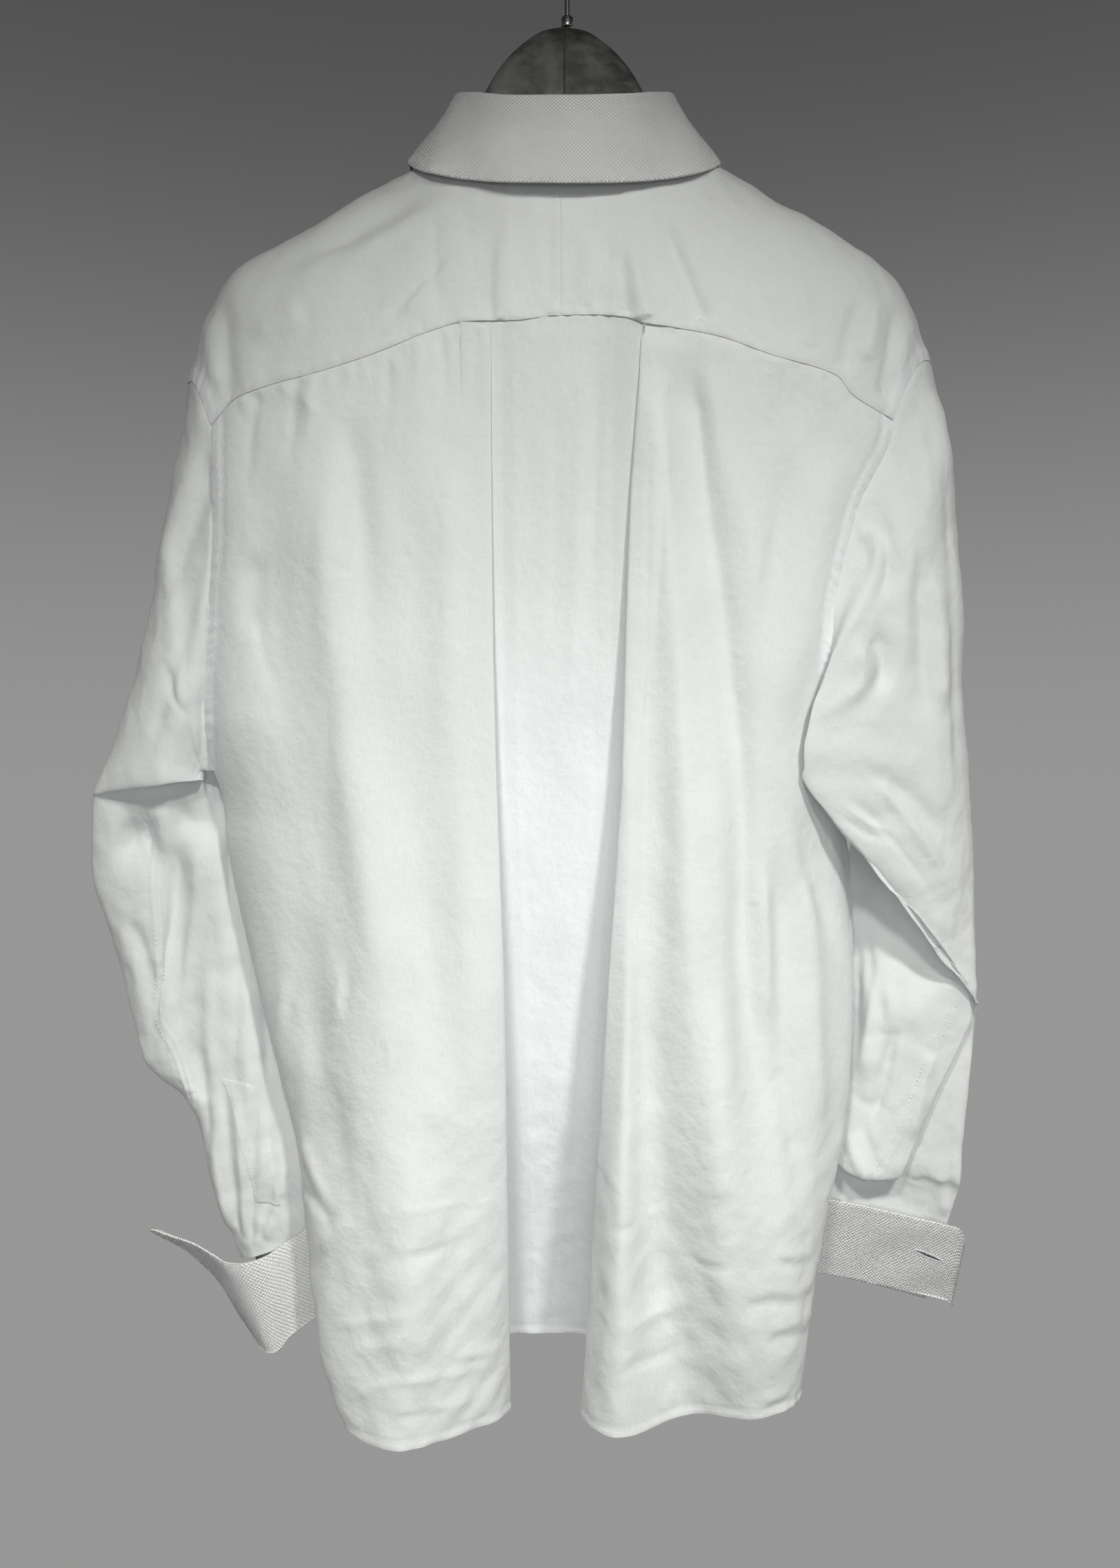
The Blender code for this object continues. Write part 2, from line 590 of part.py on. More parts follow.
def back_grid(counts, arm_rows, body_rows, tuck=TUCKED_UP):
    """Rows from the yoke seam to the hem, columns from the left side to the right."""
    n = BACK_KEYS
    top_keys = back_keys(-295.0)
    top_x = [float(k[0]) for k in top_keys]
    columns_at = [(k, i / counts[k]) for k in range(n - 1) for i in range(counts[k])] + [(n - 2, 1.0)]
    grid = []
    for k, f in columns_at:
        at = k + f
        x = mix(top_x[k], top_x[k + 1], f)
        seam = yoke_seam(np.array([x]))[0]
        hidden = np.interp(at, [4, 5, 12, 13], [0, 1, 1, 0])
        top = seam[2] + tuck * hidden
        hem = smooth(HEM_BACK["key"], HEM_BACK["level"], at)
        share = np.concatenate([np.linspace(0, 1, arm_rows + 1), 1 + np.linspace(0, 1, body_rows + 1)[1:]])
        level = np.where(share <= 1, mix(top, ARMPIT, share), mix(ARMPIT, hem, share - 1))
        keys = back_keys(level)
        pad = [2 * keys[0] - keys[1], *keys, 2 * keys[-1] - keys[-2]]
        flat = between(pad[k], pad[k + 1], pad[k + 2], pad[k + 3], f)
        # at the top the outer panels meet the yoke seam exactly
        fade = np.clip(1 - (top - level) / 60.0, 0, 1) ** 2
        offset = seam[:2] - flat[0]
        if hidden > 0:
            offset = offset * 0.0
        flat = flat + fade[:, None] * offset
        grid.append(np.concatenate([flat, level[:, None]], -1))
    return np.array(grid).transpose(1, 0, 2)


# ---------------------------------------------------------------- fronts
def front_grid(table, shoulder, side, counts, arm_rows, body_rows, edge_x):
    """Rows from the front yoke seam and neck to the hem, columns from the side seam
    to the centre edge. counts: side-flank, flank-chest, chest-placket, placket-edge."""
    end = shoulder["station"][-1]
    total = sum(counts)
    share = np.linspace(0, 1, total + 1)
    # the top edge: along the yoke seam to the neck, then down the neck seam
    seam_share = (counts[0] + counts[1]) / total
    stations = mix(end, 75.0, np.clip(share / seam_share, 0, 1))
    ahead = np.clip(share / seam_share, 0, 1)
    on_seam = ride_over(shoulder, stations, mix(90.0, 88.0, ahead))
    neck_to = 176.0
    reach = np.clip((share - seam_share) / (1 - seam_share), 0, 1)
    on_neck = neck_point(mix(FRONT_YOKE_AT, neck_to, reach**0.8), side)
    behind = OVERLAP * (side > 0) * np.minimum(1, 1.4 * reach)
    on_neck = on_neck - np.stack([0 * reach, behind, 1.6 * reach + 4.0 * reach**3], -1)
    join = neck_point(np.array([FRONT_YOKE_AT]), side)[0]
    on_seam = on_seam + (ahead**2)[:, None] * (join - ride_over(shoulder, 75.0, 88.0))
    top = np.where((share <= seam_share)[:, None], on_seam, on_neck)
    top[-1, 0] = edge_x
    slots = [(k, i / counts[k]) for k in range(4) for i in range(counts[k])] + [(3, 1.0)]
    inner_x = -edge_x
    grid = []
    for j, (k, f) in enumerate(slots):
        at = j / total
        hem = smooth([0, 0.12, 0.45, 0.8, 1], [-986 if side < 0 else -978, -985, -980, -968, -965], at)
        rows = np.concatenate([np.linspace(0, 1, arm_rows + 1), 1 + np.linspace(0, 1, body_rows + 1)[1:]])
        level = np.where(rows <= 1, mix(top[j, 2], ARMPIT, rows), mix(ARMPIT, hem, rows - 1))

        def read(name):
            return smooth(table["level"], table[name], level)

        keys = [
            np.stack([read("side_x"), read("side_y")], -1),
            np.stack([read("flank_x"), read("flank_y")], -1),
            np.stack([read("chest_x"), read("chest_y")], -1),
            np.stack([np.full_like(level, inner_x), read("centre_y") - 0.3], -1),
            np.stack([np.full_like(level, edge_x), read("centre_y")], -1),
        ]
        pad = [2 * keys[0] - keys[1], *keys, 2 * keys[-1] - keys[-2]]
        flat = between(pad[k], pad[k + 1], pad[k + 2], pad[k + 3], f)
        fade = np.clip(1 - (top[j, 2] - level) / 110.0, 0, 1) ** 2
        flat = flat + fade[:, None] * (top[j, :2] - flat[0])
        grid.append(np.concatenate([flat, level[:, None]], -1))
    return np.array(grid).transpose(1, 0, 2)


# ---------------------------------------------------------------- sleeves
def sleeve_keys(table, row):
    """Ten key points round one ring: outer edge, a, b, middle, lap, under lap,
    inner edge, three on the wall side."""
    get = {name: values[row] for name, values in table.items()}
    sign = 1.0 if get["outer_x"] > 0 else -1.0
    outer = np.array([get["outer_x"], get["outer_y"], get["outer_z"]])
    inner = np.array([get["inner_x"], get["inner_y"], get["inner_z"]])
    reach_x = inner[0] - sign * get["lap"]  # far point of the lap over the body
    drop = get["sag"] * SAG_DEEP

    def on_line(x, y, sag=0.0):
        end_z = get["lap_z"] if get["lap"] > 0 else inner[2]
        t = (x - outer[0]) / (reach_x - outer[0])
        t = min(max(t, 0.0), 1.0)
        return np.array([x, y, mix(outer[2], end_z, t) - sag])

    mid_x = mix(get["b_x"], reach_x, 0.5)
    keys = [
        outer,
        on_line(get["a_x"], get["a_y"]),
        on_line(get["b_x"], get["b_y"], drop * 0.6),
        on_line(mid_x, get["cam_y"], drop),
    ]
    if get["lap"] > 0:
        keys += [
            np.array([reach_x, get["lap_y"] + 2.0, get["lap_z"]]),
            np.array([inner[0] - sign * get["lap"] * 0.4, get["lap_y"] + 18.0, mix(get["lap_z"], inner[2], 0.45)]),
        ]
    else:
        keys += [
            on_line(mix(mid_x, inner[0], 0.5), mix(get["cam_y"], get["lap_y"], 0.6), drop * 0.6),
            on_line(mix(mid_x, inner[0], 0.85), mix(get["lap_y"], inner[1], 0.4), 0.0),
        ]
    keys.append(inner)
    for t in (0.18, 0.5, 0.84):
        p = mix(inner, outer, t)
        p[2] = mix(get["wall_z"], outer[2], t)
        p[0] += sign * 12.0 * (1 - t)
        p[1] = mix(mix(inner[1], outer[1], t), get["wall_y"], {0.18: 0.8, 0.5: 1.0, 0.84: 0.72}[t])
        keys.append(p)
    return keys


def sleeve_grid(table, armhole, counts, steps):
    """Rows from the armhole to the cuff, columns round the ring. armhole is the
    ring of points that the body's armhole gives, in the same order."""
    rings = [thread(sleeve_keys(table, row), counts, closed=True) for row in range(len(table["outer_x"]))]
    rings = [armhole, *rings]
    if steps == 1:
        return np.array(rings)
    return thread(rings, [steps] * (len(rings) - 1))


def armhole_ring(shoulder, back_side, front_side, side_steps, yoke_steps):
    """The armhole as a closed ring: shoulder point, down the back to the armpit, up
    the front. back_side and front_side are the panels' own edges, top to armpit."""
    end = shoulder["station"][-1]
    over_back = ride_over(shoulder, end, np.linspace(0, -90, yoke_steps + 1))
    over_front = ride_over(shoulder, end, np.linspace(90, 0, yoke_steps + 1))
    return np.concatenate([over_back[:-1], back_side[:-1], front_side[::-1][:-1], over_front[:-1]])


# ---------------------------------------------------------------- build
def clear_scene():
    for obj in list(bpy.data.objects):
        bpy.data.objects.remove(obj, do_unlink=True)


def material(name, colour, roughness, metallic=0.0):
    made = bpy.data.materials.new(name)
    made.use_nodes = True
    shader = made.node_tree.nodes["Principled BSDF"]
    shader.inputs["Base Color"].default_value = (*colour, 1.0)
    shader.inputs["Roughness"].default_value = roughness
    shader.inputs["Metallic"].default_value = metallic
    return made


def shell(name, grid, wall, mat, wrap=False, outward=1.0, edge_normals=None):
    """Solid of a grid's outer face and a wall behind it."""
    n = normals(grid, wrap) * outward
    if edge_normals is not None:
        n = edge_normals(grid, n)
    inner = grid - n * wall
    rows, cols = grid.shape[:2]
    points = np.concatenate([grid.reshape(-1, 3), inner.reshape(-1, 3)])
    return mesh_object(name, points, shell_faces(rows, cols, wrap), mat)


def marry_edges(grids, outward, wraps, within=6.0):
    """Gives the rims of neighbouring grids one shared direction, so that two walls
    that meet at an angle stay clear of each other."""
    fields = {name: normals(g, wraps.get(name, False)) * outward[name] for name, g in grids.items()}
    rims = {}
    for name, g in grids.items():
        mask = np.zeros(g.shape[:2], bool)
        mask[0] = mask[-1] = True
        if not wraps.get(name, False):
            mask[:, 0] = mask[:, -1] = True
        rims[name] = mask
    merged = {name: f.copy() for name, f in fields.items()}
    for name, g in grids.items():
        spots = np.argwhere(rims[name])
        here = g[rims[name]]
        total = fields[name][rims[name]].copy()
        for other, h in grids.items():
            if other == name:
                continue
            there, facing = h[rims[other]], fields[other][rims[other]]
            gap = np.linalg.norm(here[:, None] - there[None], axis=-1)
            nearest = gap.argmin(1)
            close = gap[np.arange(len(here)), nearest] < within
            agree = np.einsum("ij,ij->i", fields[name][rims[name]], facing[nearest]) > -0.7
            use = close & agree
            total[use] += facing[nearest[use]]
        for (r, c), n in zip(spots, unit(total)):
            merged[name][r, c] = n
    return merged


def tube(path, radius, sides):
    """Points and faces of a round bar with flat ends along a path in the XZ plane."""
    path = np.asarray(path, float)
    along = unit(np.gradient(path, axis=0))
    side = np.array([0.0, 1.0, 0.0])
    points, faces = [], []
    for p, t in zip(path, along):
        up = np.cross(t, side)
        for i in range(sides):
            a = 2 * math.pi * i / sides
            points.append(p + radius * (math.cos(a) * side + math.sin(a) * up))
    for r in range(len(path) - 1):
        for i in range(sides):
            j = (i + 1) % sides
            faces.append((r * sides + i, r * sides + j, (r + 1) * sides + j, (r + 1) * sides + i))
    faces.append(tuple(range(sides))[::-1])
    faces.append(tuple((len(path) - 1) * sides + i for i in range(sides)))
    return points, faces


def lathe(profile, centre, axis, sides):
    """A turned solid: profile of (radius, height) from one end of the axis to the other."""
    axis = unit(np.asarray(axis, float))
    first = unit(np.cross(axis, [0.0, 0.0, 1.0] if abs(axis[2]) < 0.9 else [1.0, 0.0, 0.0]))
    second = np.cross(axis, first)
    points, faces = [], []
    for radius, height in profile:
        for i in range(sides):
            a = 2 * math.pi * i / sides
            points.append(centre + axis * height + radius * (math.cos(a) * first + math.sin(a) * second))
    for r in range(len(profile) - 1):
        for i in range(sides):
            j = (i + 1) % sides
            faces.append((r * sides + i, r * sides + j, (r + 1) * sides + j, (r + 1) * sides + i))
    faces.append(tuple(range(sides))[::-1])
    faces.append(tuple((len(profile) - 1) * sides + i for i in range(sides)))
    return points, faces


def hanger_body(mat):
    """Loft of rounded sections from one shoulder to the other."""
    xs = np.concatenate([-HANGER["x"][:0:-1], HANGER["x"]])
    points, faces, sides = [], [], 14
    for x in xs:
        top, bottom, deep = (smooth(HANGER["x"], HANGER[n], abs(x)) for n in ("top", "bottom", "half_deep"))
        mid, half = (top + bottom) / 2, (top - bottom) / 2
        for i in range(sides):
            a = 2 * math.pi * i / sides
            c, s = math.cos(a), math.sin(a)
            points.append(np.array([
                x,
                deep * math.copysign(abs(c) ** 0.8, c),
                mid + half * math.copysign(abs(s) ** 0.8, s),
            ]))
    for r in range(len(xs) - 1):
        for i in range(sides):
            j = (i + 1) % sides
            faces.append((r * sides + i, r * sides + j, (r + 1) * sides + j, (r + 1) * sides + i))
    faces.append(tuple(range(sides))[::-1])
    faces.append(tuple((len(xs) - 1) * sides + i for i in range(sides)))
    return mesh_object("hanger_body", points, faces, mat)


def hook_path():
    """Centre line of the hook: up out of the ferrule, round over the top."""
    x0 = 2.0
    path = [(x0, 0, -62.2), (x0, 0, -52.0)]
    top = WIRE_R
    centre = (0.0, top - HOOK_R)
    # a quarter bend from the stem out to the arc, then round the arc
    path += [(x0 + 0.5, 0, -46.0), (x0 + 4.0, 0, -39.5), (x0 + 10.0, 0, -34.5)]
    for a in range(-40, 206, 15):
        path.append((centre[0] + HOOK_R * math.cos(math.radians(a)), 0, centre[1] + HOOK_R * math.sin(math.radians(a))))
    return path


def stand_rings(rows, cols):
    """Collar stand: rows from the neck seam to the fold, columns from the right
    front end round the back to the left front end, which lies outside."""
    sweep = np.linspace(-186, 186, cols)
    grid = []
    for k in range(rows + 1):
        r = k / rows
        ring = []
        for a in sweep:
            side = 1.0 if a < 0 else -1.0
            angle = min(abs(a), 180.0)
            low, high = neck_point(angle, side), neck_point(min(angle, 178.0), side, COLLAR_FOLD)
            p = mix(low + [0, 0, 0.6], high + [0, 0, -6.0], r)
            past = abs(a) - 180.0
            p[1] += 1.4 * np.clip((abs(a) - 150) / 20, 0, 1) * (-side)
            if past > -10:
                p[0] = -side * (-1) * mix(p[0] * side, -9.0, np.clip((past + 10) / 16, 0, 1))
            ring.append(p)
        grid.append(ring)
    return np.array(grid)


def leaf_grid(rows, cols):
    """Collar leaf: rows from just over the fold to the free edge, columns from the
    right point round the back to the left point."""
    sweep = np.linspace(-178, 178, cols)
    grid = []
    for k in range(rows + 1):
        r = k / rows
        ring = []
        for a in sweep:
            side = 1.0 if a < 0 else -1.0
            high, low = neck_point(abs(a), side, COLLAR_FOLD), neck_point(abs(a), side, COLLAR_EDGE)
            out = unit(np.array([low[0] - high[0], low[1] - high[1], 0.0]))
            clear = 4.6 + (2.0 if side > 0 else 3.4) * np.clip((abs(a) - 130) / 25, 0, 1)
            p = mix(high + out * clear, low, r)
            if k == 0:
                p = high + out * (clear - 4.0) + np.array([0, 0, 1.2])
            else:
                p = p + np.array([0, 0, 1.2]) * (1 - r) ** 4 + out * 2.0 * math.sin(math.pi * r)
            p = p + np.array([0, 2.6 if side < 0 else 1.0, 0]) * np.clip((abs(a) - 140) / 20, 0, 1)
            ring.append(p)
        grid.append(ring)
    return np.array(grid)


def cuff_grid(table, along, down):
    """Cuff: rows from the rim down, columns from the free end to the other end."""
    rim = np.stack([table["x"], table["y"], table["z"]], -1)
    lean = unit(np.stack([table["lean_x"], table["lean_y"], table["lean_z"]], -1))
    counts = [along] * (len(rim) - 1)
    edge, way = thread(rim, counts), unit(thread(lean, counts))
    return np.array([edge + way * CUFF_DEEP * k / down for k in range(down + 1)])


def main():
    clear_scene()
    poplin = material("white_poplin", (0.82, 0.83, 0.83), 0.8)
    pique = material("white_pique", (0.74, 0.74, 0.74), 0.85)
    pearl = material("pearl_button", (0.86, 0.86, 0.84), 0.3)
    black = material("black_hanger", (0.02, 0.02, 0.02), 0.5)
    steel = material("hook_steel", (0.6, 0.6, 0.6), 0.25, 1.0)

    half = SEAM_GAP / 2
    back_counts = [2, 3, 2, 1, 2, 1, 1, 1, 3, 1, 1, 1, 2, 2, 3, 2, 2, 2, 2]
    back = back_grid(back_counts, ARM_ROWS, BODY_ROWS)
    key_column = np.concatenate([[0], np.cumsum(back_counts)])
    seam_left = back[0, : key_column[4] + 1, 0]
    seam_right = back[0, key_column[13]:, 0]
    middle = np.linspace(seam_left[-1], seam_right[0], 7)
    left_x = np.concatenate([[CENTRE_X], middle[(middle < CENTRE_X - 6)][::-1], seam_left[:-1][::-1]])
    right_x = np.concatenate([[CENTRE_X], middle[(middle > CENTRE_X + 6)], seam_right[1:]])
    yoke_left = yoke_grid(SHOULDER_LEFT, -1.0, left_x, 3, 7)
    yoke_right = yoke_grid(SHOULDER_RIGHT, 1.0, right_x, 3, 7)
    meet_at_centre(yoke_left, yoke_right)
    front_left = front_grid(FRONT_LEFT, SHOULDER_LEFT, -1.0, (3, 4, 3, 1), ARM_ROWS, BODY_ROWS, PLACKET_WIDE / 2)
    front_right = front_grid(FRONT_RIGHT, SHOULDER_RIGHT, 1.0, (3, 4, 3, 1), ARM_ROWS, BODY_ROWS, -PLACKET_WIDE / 2)

    ring_counts = (2, 2, 2, 1, 1, 1, 3, 2, 2, 2)
    ring_left = armhole_ring(SHOULDER_LEFT, back[: ARM_ROWS + 1, 0], front_left[: ARM_ROWS + 1, 0], ARM_ROWS, 3)
    ring_right = armhole_ring(SHOULDER_RIGHT, back[: ARM_ROWS + 1, -1], front_right[: ARM_ROWS + 1, 0], ARM_ROWS, 3)
    sleeve_left = sleeve_grid(SLEEVE_LEFT, ring_left, ring_counts, 1)
    sleeve_right = sleeve_grid(SLEEVE_RIGHT, ring_right, ring_counts, 1)

    body = {
        "back_panel": pull_edges(back, half * 2, 0, half, half),
        "yoke_left": pull_edges(yoke_left, 0, half, half, half),
        "yoke_right": pull_edges(yoke_right, 0, half, half, half),
        "front_left": pull_edges(front_left, half * 1.6, 0, half * 1.4, 0),
        "front_right": pull_edges(front_right, half * 1.6, 0, half * 1.4, 0),
        "sleeve_left": pull_edges(sleeve_left, half * 2, 0),
        "sleeve_right": pull_edges(sleeve_right, half * 2, 0),
    }
    outward = {
        "back_panel": -1.0,
        "yoke_left": 1.0,
        "yoke_right": -1.0,
        "front_left": 1.0,
        "front_right": -1.0,
        "sleeve_left": -1.0,
        "sleeve_right": 1.0,
    }
    wraps = {"sleeve_left": True, "sleeve_right": True}
    facing = marry_edges(body, outward, wraps)
    for name, grid in body.items():
        rows, cols = grid.shape[:2]
        inner = grid - facing[name] * WALL
        points = np.concatenate([grid.reshape(-1, 3), inner.reshape(-1, 3)])
        mesh_object(name, points, shell_faces(rows, cols, wraps.get(name, False)), poplin)

    placket = body["front_left"][:, -2:] + facing["front_left"][:, -2:] * (LAID_ON + 1.0)
    shell("placket", placket, 1.0, poplin, outward=1.0)
    for side, first, last in (("left", 5, 6), ("right", 15, 16)):
        grid = body[f"sleeve_{side}"][-5:-1, first:last + 1]
        out = facing[f"sleeve_{side}"][-5:-1, first:last + 1]
        shell(f"sleeve_placket_{side}", grid + out * (LAID_ON + 0.8), 0.8, poplin, outward=outward[f"sleeve_{side}"])

    stand = stand_rings(2, 31)
    shell("collar_stand", stand, STAND_WALL, pique, outward=-1.0)
    shell("collar_leaf", leaf_grid(4, 35), LEAF_WALL, pique, outward=1.0)
    shell("cuff_left", cuff_grid(CUFF_LEFT, 2, 2), CUFF_WALL, pique, outward=-1.0)
    shell("cuff_right", cuff_grid(CUFF_RIGHT, 2, 2), CUFF_WALL, pique, outward=1.0)

    hanger_body(black)
    points, faces = lathe([(3.6, 0), (3.9, 0.6), (3.9, 6.4), (3.2, 7)], np.array([2.0, 0, -69.6]), (0, 0, 1), 14)
    mesh_object("hanger_ferrule", points, faces, steel)
    points, faces = tube(hook_path(), WIRE_R, 8)
    mesh_object("hanger_hook", points, faces, steel)

    button = [(BUTTON_R - 0.5, 0), (BUTTON_R, 0.5), (BUTTON_R, BUTTON_THICK - 0.4), (BUTTON_R - 0.8, BUTTON_THICK)]
    outer = placket
    for k in range(6):
        level = -300.0 - 100.0 * k
        row = int(np.argmin(np.abs(outer[:, 0, 2] - level)))
        row = min(max(row, 0), len(outer) - 2)
        a, b = outer[:, 0], outer[:, 1]
        zs = (a[:, 2] + b[:, 2]) / 2
        order = np.argsort(zs)
        y = np.interp(level, zs[order], ((a[:, 1] + b[:, 1]) / 2)[order])
        slope = (np.interp(level + 6, zs[order], ((a[:, 1] + b[:, 1]) / 2)[order])
                 - np.interp(level - 6, zs[order], ((a[:, 1] + b[:, 1]) / 2)[order])) / 12
        axis = unit(np.array([0.0, 1.0, -slope]))
        points, faces = lathe(button, np.array([0.0, y, level]) + axis * 0.6, axis, 12)
        mesh_object(f"button_{k + 1}", points, faces, pearl)
    front = stand[1, -4:]
    y = np.interp(0.0, front[:, 0], front[:, 1])
    z = np.interp(0.0, front[:, 0], front[:, 2])
    rise = (stand[2, -2, 1] - stand[0, -2, 1]) / (stand[2, -2, 2] - stand[0, -2, 2])
    axis = unit(np.array([0.0, 1.0, -rise]))
    points, faces = lathe(button, np.array([0.0, y, z]) + axis * 1.0, axis, 12)
    mesh_object("button_collar", points, faces, pearl)


main()
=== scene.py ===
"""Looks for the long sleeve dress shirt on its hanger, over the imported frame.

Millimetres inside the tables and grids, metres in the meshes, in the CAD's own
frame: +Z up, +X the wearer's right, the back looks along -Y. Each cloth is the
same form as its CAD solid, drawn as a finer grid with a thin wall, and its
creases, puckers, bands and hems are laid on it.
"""

import math

import bpy
import numpy as np
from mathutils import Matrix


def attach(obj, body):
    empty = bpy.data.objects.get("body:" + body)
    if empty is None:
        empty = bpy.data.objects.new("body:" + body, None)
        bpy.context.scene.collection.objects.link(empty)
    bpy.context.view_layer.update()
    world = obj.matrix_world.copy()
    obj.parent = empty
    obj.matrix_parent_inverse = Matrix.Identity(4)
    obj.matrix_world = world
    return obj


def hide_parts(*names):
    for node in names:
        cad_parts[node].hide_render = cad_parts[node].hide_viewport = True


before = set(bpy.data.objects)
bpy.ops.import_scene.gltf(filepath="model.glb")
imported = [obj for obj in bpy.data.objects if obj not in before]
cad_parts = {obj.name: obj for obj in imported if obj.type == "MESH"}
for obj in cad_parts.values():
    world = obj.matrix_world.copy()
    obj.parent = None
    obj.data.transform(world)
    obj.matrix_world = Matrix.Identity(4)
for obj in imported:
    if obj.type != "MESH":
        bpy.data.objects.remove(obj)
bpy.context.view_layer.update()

# ---------------------------------------------------------------- sizes (mm)
WALL = 1.2  # one ply of shirting as built
SEAM_GAP = 0.5  # between two pieces sewn edge to edge
FOLD = 1.3  # outer face to outer face round a pleat's front fold
TUCK = 0.3  # outer face to outer face round a pleat's back fold
STAND_WALL = 2.0
LEAF_WALL = 2.2
CUFF_WALL = 3.2
CUFF_DEEP = 64.0
PLACKET_WIDE = 34.0
LAID_ON = 0.4  # clearance under a strip laid on a panel
OVERLAP = 3.6  # how far the right front lies behind the left one
BUTTON_R = 5.6
BUTTON_THICK = 2.2
WIRE_R = 1.6
HOOK_R = 21.0  # centre line of the hook's arc
ARMPIT = -565.0  # level at which the armholes end
CENTRE_X = -3.0  # line of the yoke's centre seam

ARM_ROWS = 6  # grid rows from the shoulder seams to the armpit level
BODY_ROWS = 8  # grid rows from the armpit level to the hem


def columns(names, *rows):
    """A short table: one named column for each name, one row for each section."""
    data = np.array(rows, float)
    return {name: data[:, i] for i, name in enumerate(names.split())}


# Shoulders, from the centre out to the armhole. A section runs from the back
# yoke seam over the ridge to the front yoke seam.
SHOULDER_LEFT = columns(
    "station ridge_x ridge_y ridge_z back_x front_x front_y front_z",
    (0, -3, -4, -140, -3, -3, 30, -190),
    (50, -50, -3, -147, -48, -44, 38, -186),
    (75, -75, 0, -152, -72, -62, 43, -181),
    (105, -105, 0, -166, -100, -94, 43, -199),
    (150, -150, 0, -194, -141, -141, 40, -231),
    (190, -190, 0, -218, -176, -182, 37, -262),
    (219, -219, 0, -235, -200, -210, 34, -286),
    (237, -237, 2, -261, -216, -228, 31, -311),
    (253, -252, 4, -306, -229.5, -238, 27, -338),
)
SHOULDER_RIGHT = columns(
    "station ridge_x ridge_y ridge_z back_x front_x front_y front_z",
    (0, -3, -4, -140, -3, -3, 30, -190),
    (50, 50, -3, -147, 47, 44, 38, -186),
    (75, 75, 0, -152, 70, 62, 43, -181),
    (105, 105, 0, -164, 97, 94, 43, -199),
    (150, 150, 0, -193, 135, 141, 40, -231),
    (190, 190, 0, -216, 166, 180, 37, -262),
    (219, 219, 0, -237, 188, 204, 34, -288),
    (235, 235, 2, -262, 202, 220, 31, -310),
    (246, 246, 4, -292, 213, 231, 27, -334),
)

# Back yoke seam, left to right.
YOKE_SEAM = columns(
    "x y z",
    (-229.5, -24, -341),
    (-211, -34, -326),
    (-191, -41, -320.5),
    (-154, -49, -313),
    (-118, -54.5, -303),
    (-82, -58, -290),
    (-64, -59, -285.5),
    (-30, -60, -284.5),
    (-4, -60, -281.6),
    (18, -60, -281.2),
    (38, -60, -282.5),
    (50, -59.5, -286.5),
    (69, -59, -289),
    (94, -57.5, -293),
    (134, -53, -305),
    (160, -48, -310.5),
    (174, -44, -315),
    (183, -41, -325),
    (202, -33, -334),
    (213, -26, -338),
)

# Neck seam, from the centre back (0) to the centre front (180 degrees).
NECK = columns(
    "angle x y z",
    (0, 0, -45, -181),
    (25, 34, -41, -178),
    (50, 60, -26, -167),
    (75, 74, -4, -154),
    (90, 75, 10, -155),
    (120, 64, 43, -180),
    (150, 38, 66, -212),
    (170, 14, 74, -229),
    (180, 0, 75, -232),
)
FRONT_YOKE_AT = 120.0  # the yokes end here on the neck seam

COLLAR_FOLD = columns(
    "angle x y z",
    (0, 0, -51, -142),
    (25, 36, -43, -138),
    (50, 58, -26, -128),
    (75, 71, -4, -120),
    (90, 72, 10, -121),
    (120, 64, 42, -144),
    (150, 40, 67, -176),
    (170, 16, 77, -194),
    (178, 9, 79, -198),
)
COLLAR_EDGE = columns(
    "angle x y z",
    (0, 0, -64, -200),
    (25, 34, -60.5, -198),
    (50, 63, -50, -191.5),
    (68, 84, -42, -184.5),
    (82, 98, -25, -173.5),
    (96, 104.5, -5, -162.8),
    (120, 103, 27, -166),
    (150, 89, 58, -200),
    (170, 69, 77, -246),
    (178, 61, 82, -264),
)

# Back, left panel by level: side seam, turn of the side, crest, run to the pleat.
BACK_LEFT = columns(
    "level side_x side_y turn_x turn_y crest_x crest_y near_x near_y",
    (-282, -229, -22, -215, -32, -150, -49, -62, -59),
    (-341, -229.5, -24, -213, -34, -150, -50, -62, -58.5),
    (-400, -228, -25, -212, -36, -150, -50.5, -62, -57.5),
    (-475, -232, -23, -214, -36, -148, -50.5, -60, -56),
    (-530, -235, -17, -219, -33, -146, -50.5, -59, -54.5),
    (-565, -232, -4, -226, -18, -144, -51, -58, -53),
    (-600, -218, 10, -225, -6, -140, -51, -56, -52),
    (-660, -205, 10, -214.6, -6, -134, -52, -55, -50),
    (-708, -193, 8, -202.7, -7, -128, -52.5, -54, -47.5),
    (-752, -183, 6, -192.7, -8, -122, -53, -53, -44),
    (-804, -170, 4, -178.5, -9, -116, -53, -52, -39),
    (-849, -164, 2, -173.4, -11, -112, -53, -52, -34),
    (-884, -158, 0, -168, -13, -108, -53, -52, -29),
    (-924, -152, -2, -163, -17, -106, -52, -52, -24),
    (-957, -144, -4, -155, -21, -105, -51.5, -52, -19),
    (-995, -128, -6, -138, -28, -104, -51, -52, -13),
)
